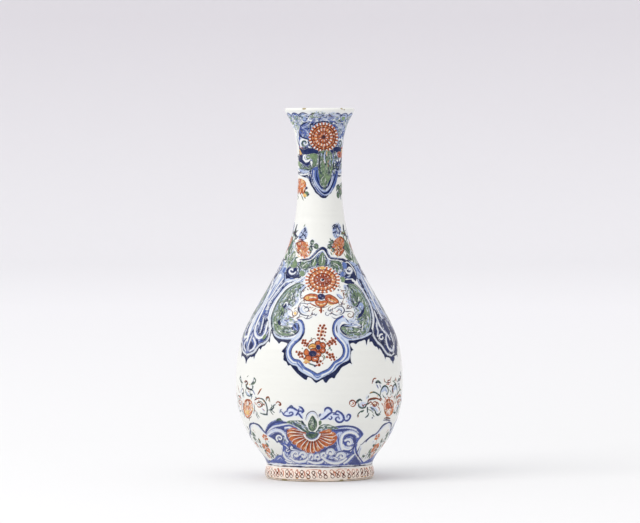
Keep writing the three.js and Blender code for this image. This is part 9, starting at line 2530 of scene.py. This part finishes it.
GLAZE_A, GLAZE_B = (236, 236, 230), (229, 230, 225)
PAL = {
    "pale": ((206, 216, 232), (112, 138, 190)),
    "blue": ((98, 130, 192), (26, 52, 132)),
    "pale_low": ((232, 237, 248), (160, 174, 218)),
    "blue_low": ((126, 144, 206), (56, 72, 150)),
    "green": ((150, 176, 122), (26, 62, 56)),
    "yellow": ((238, 202, 118), (200, 136, 48)),
    "red": ((226, 132, 66), (152, 52, 12)),
    "dark": ((16, 36, 92), (5, 10, 38)),
    "dark_low": ((92, 100, 152), (62, 70, 122)),
    "brown": ((122, 60, 34), (62, 22, 14)),
    "line": ((50, 50, 96), (14, 14, 40)),
}

painted = glazed("tin_glaze_painted")
footed = glazed("tin_glaze_foot", foot=True)

for node, ob in pieces.items():
    ob.data.materials.append(footed if node == "foot_ring" else painted)
    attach(ob, "root")
    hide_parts(node)

# ==================================================================== stage
# A seamless pale floor that turns up all round, far behind the vase.
def sweep():
    flat, bend, top = 4.2, 1.1, 1.25
    line = [(0.0, 0.0)] + [(flat * (i / 36) ** 1.4, 0.0) for i in range(1, 37)]
    for i in range(1, 31):
        a = math.pi / 2 * i / 30
        line.append((flat + bend * math.sin(a), bend - bend * math.cos(a)))
    line += [(flat + bend, bend + (top - bend) * i / 4) for i in range(1, 5)]
    cols = 144
    verts, faces = [(0.0, 0.0, 0.0)], []
    for r, z in line[1:]:
        verts += [(r * math.sin(2 * math.pi * k / cols), -r * math.cos(2 * math.pi * k / cols), z) for k in range(cols)]
    for k in range(cols):
        faces.append((0, 1 + k, 1 + (k + 1) % cols))
    for i in range(len(line) - 2):
        for k in range(cols):
            q = (k + 1) % cols
            faces.append((1 + i * cols + k, 1 + (i + 1) * cols + k, 1 + (i + 1) * cols + q, 1 + i * cols + q))
    me = bpy.data.meshes.new("sweep")
    me.from_pydata(verts, [], faces)
    me.polygons.foreach_set("use_smooth", np.ones(len(faces), bool))
    ob = bpy.data.objects.new("sweep", me)
    bpy.context.scene.collection.objects.link(ob)
    mat = bpy.data.materials.new("paper_sweep")
    T = Tree(mat)
    out = T.node("ShaderNodeOutputMaterial")
    bsdf = T.node("ShaderNodeBsdfPrincipled")
    T.link(bsdf.outputs[0], out.inputs["Surface"])
    tc = T.node("ShaderNodeTexCoord")
    sp = T.node("ShaderNodeSeparateXYZ")
    T.link(tc.outputs["Object"], sp.inputs[0])
    # painted light and shade on the paper: near white under the vase, whiter still further out on the floor and a cool
    # grey up the far wall, standing in for how the studio light falls on the sweep
    ln = T.node("ShaderNodeVectorMath", operation="LENGTH")
    T.link(tc.outputs["Object"], ln.inputs[0])
    floor_light_grade = T.ramp(ln.outputs["Value"], 0.4, 2.6, 0.0, 1.0, "LINEAR")
    wall_shade_grade = T.ramp(sp.outputs[2], 0.0, 0.42, 0.0, 1.0, "LINEAR")
    col = T.mix(floor_light_grade, srgb(*SWEEP[0]), srgb(*SWEEP[1]))
    col = T.mix(wall_shade_grade, col, srgb(*SWEEP[2]))
    n1 = T.noise(tc.outputs["Object"], 60.0, 3.0, 0.6)
    col = T.mix(T.math("MULTIPLY", n1, 0.03), col, srgb(200, 200, 204))
    T.link(col, bsdf.inputs["Base Color"])
    bsdf.inputs["Roughness"].default_value = 0.9
    bsdf.inputs["Specular IOR Level"].default_value = 0.2
    me.materials.append(mat)
    return ob


# colours of the sweep: floor by the vase, floor far out, far wall; the grade between them is painted light and shade
SWEEP = ((237, 237, 237), (250, 249, 251), (231, 228, 232))
floor = sweep()


def area(name, place_, target, size, power, colour=(1, 1, 1), size_y=None):
    li = bpy.data.lights.new(name, "AREA")
    li.shape = "RECTANGLE"
    li.size = size
    li.size_y = size_y or size
    li.energy = power
    li.color = colour
    ob = bpy.data.objects.new(name, li)
    ob.location = place_
    d = Vector(target) - Vector(place_)
    ob.rotation_euler = d.to_track_quat("-Z", "Y").to_euler()
    bpy.context.scene.collection.objects.link(ob)
    return ob


area("key", (-2.1, -1.3, 2.0), (0, 0, 0.13), 2.0, 36.0, (1.0, 0.99, 0.975), 2.0)
area("top", (0.0, 0.2, 3.2), (0, 0.1, 0.0), 3.0, 12.0)

world = bpy.data.worlds.new("studio")
bpy.context.scene.world = world
world.use_nodes = True
bg = world.node_tree.nodes["Background"]
bg.inputs[0].default_value = (0.95, 0.95, 0.965, 1)
bg.inputs[1].default_value = 0.93

# =================================================================== camera
cam = bpy.data.cameras.new("camera")
cam.sensor_width = 36.0
cam.sensor_fit = "HORIZONTAL"
cam.lens = 36.0 * CAM_F / 640.0
cam.clip_start, cam.clip_end = 0.05, 60
cob = bpy.data.objects.new("camera", cam)
cob.location = ((CAM_X) * MMTO, -CAM_D * MMTO, CAM_Z * MMTO)
cob.rotation_euler = (math.pi / 2 - CAM_TILT, 0.0, 0.0)
bpy.context.scene.collection.objects.link(cob)
bpy.context.scene.camera = cob

vs = bpy.context.scene.view_settings
vs.view_transform = "Standard"
vs.look = "None"
vs.exposure = 0.0
vs.gamma = 1.0
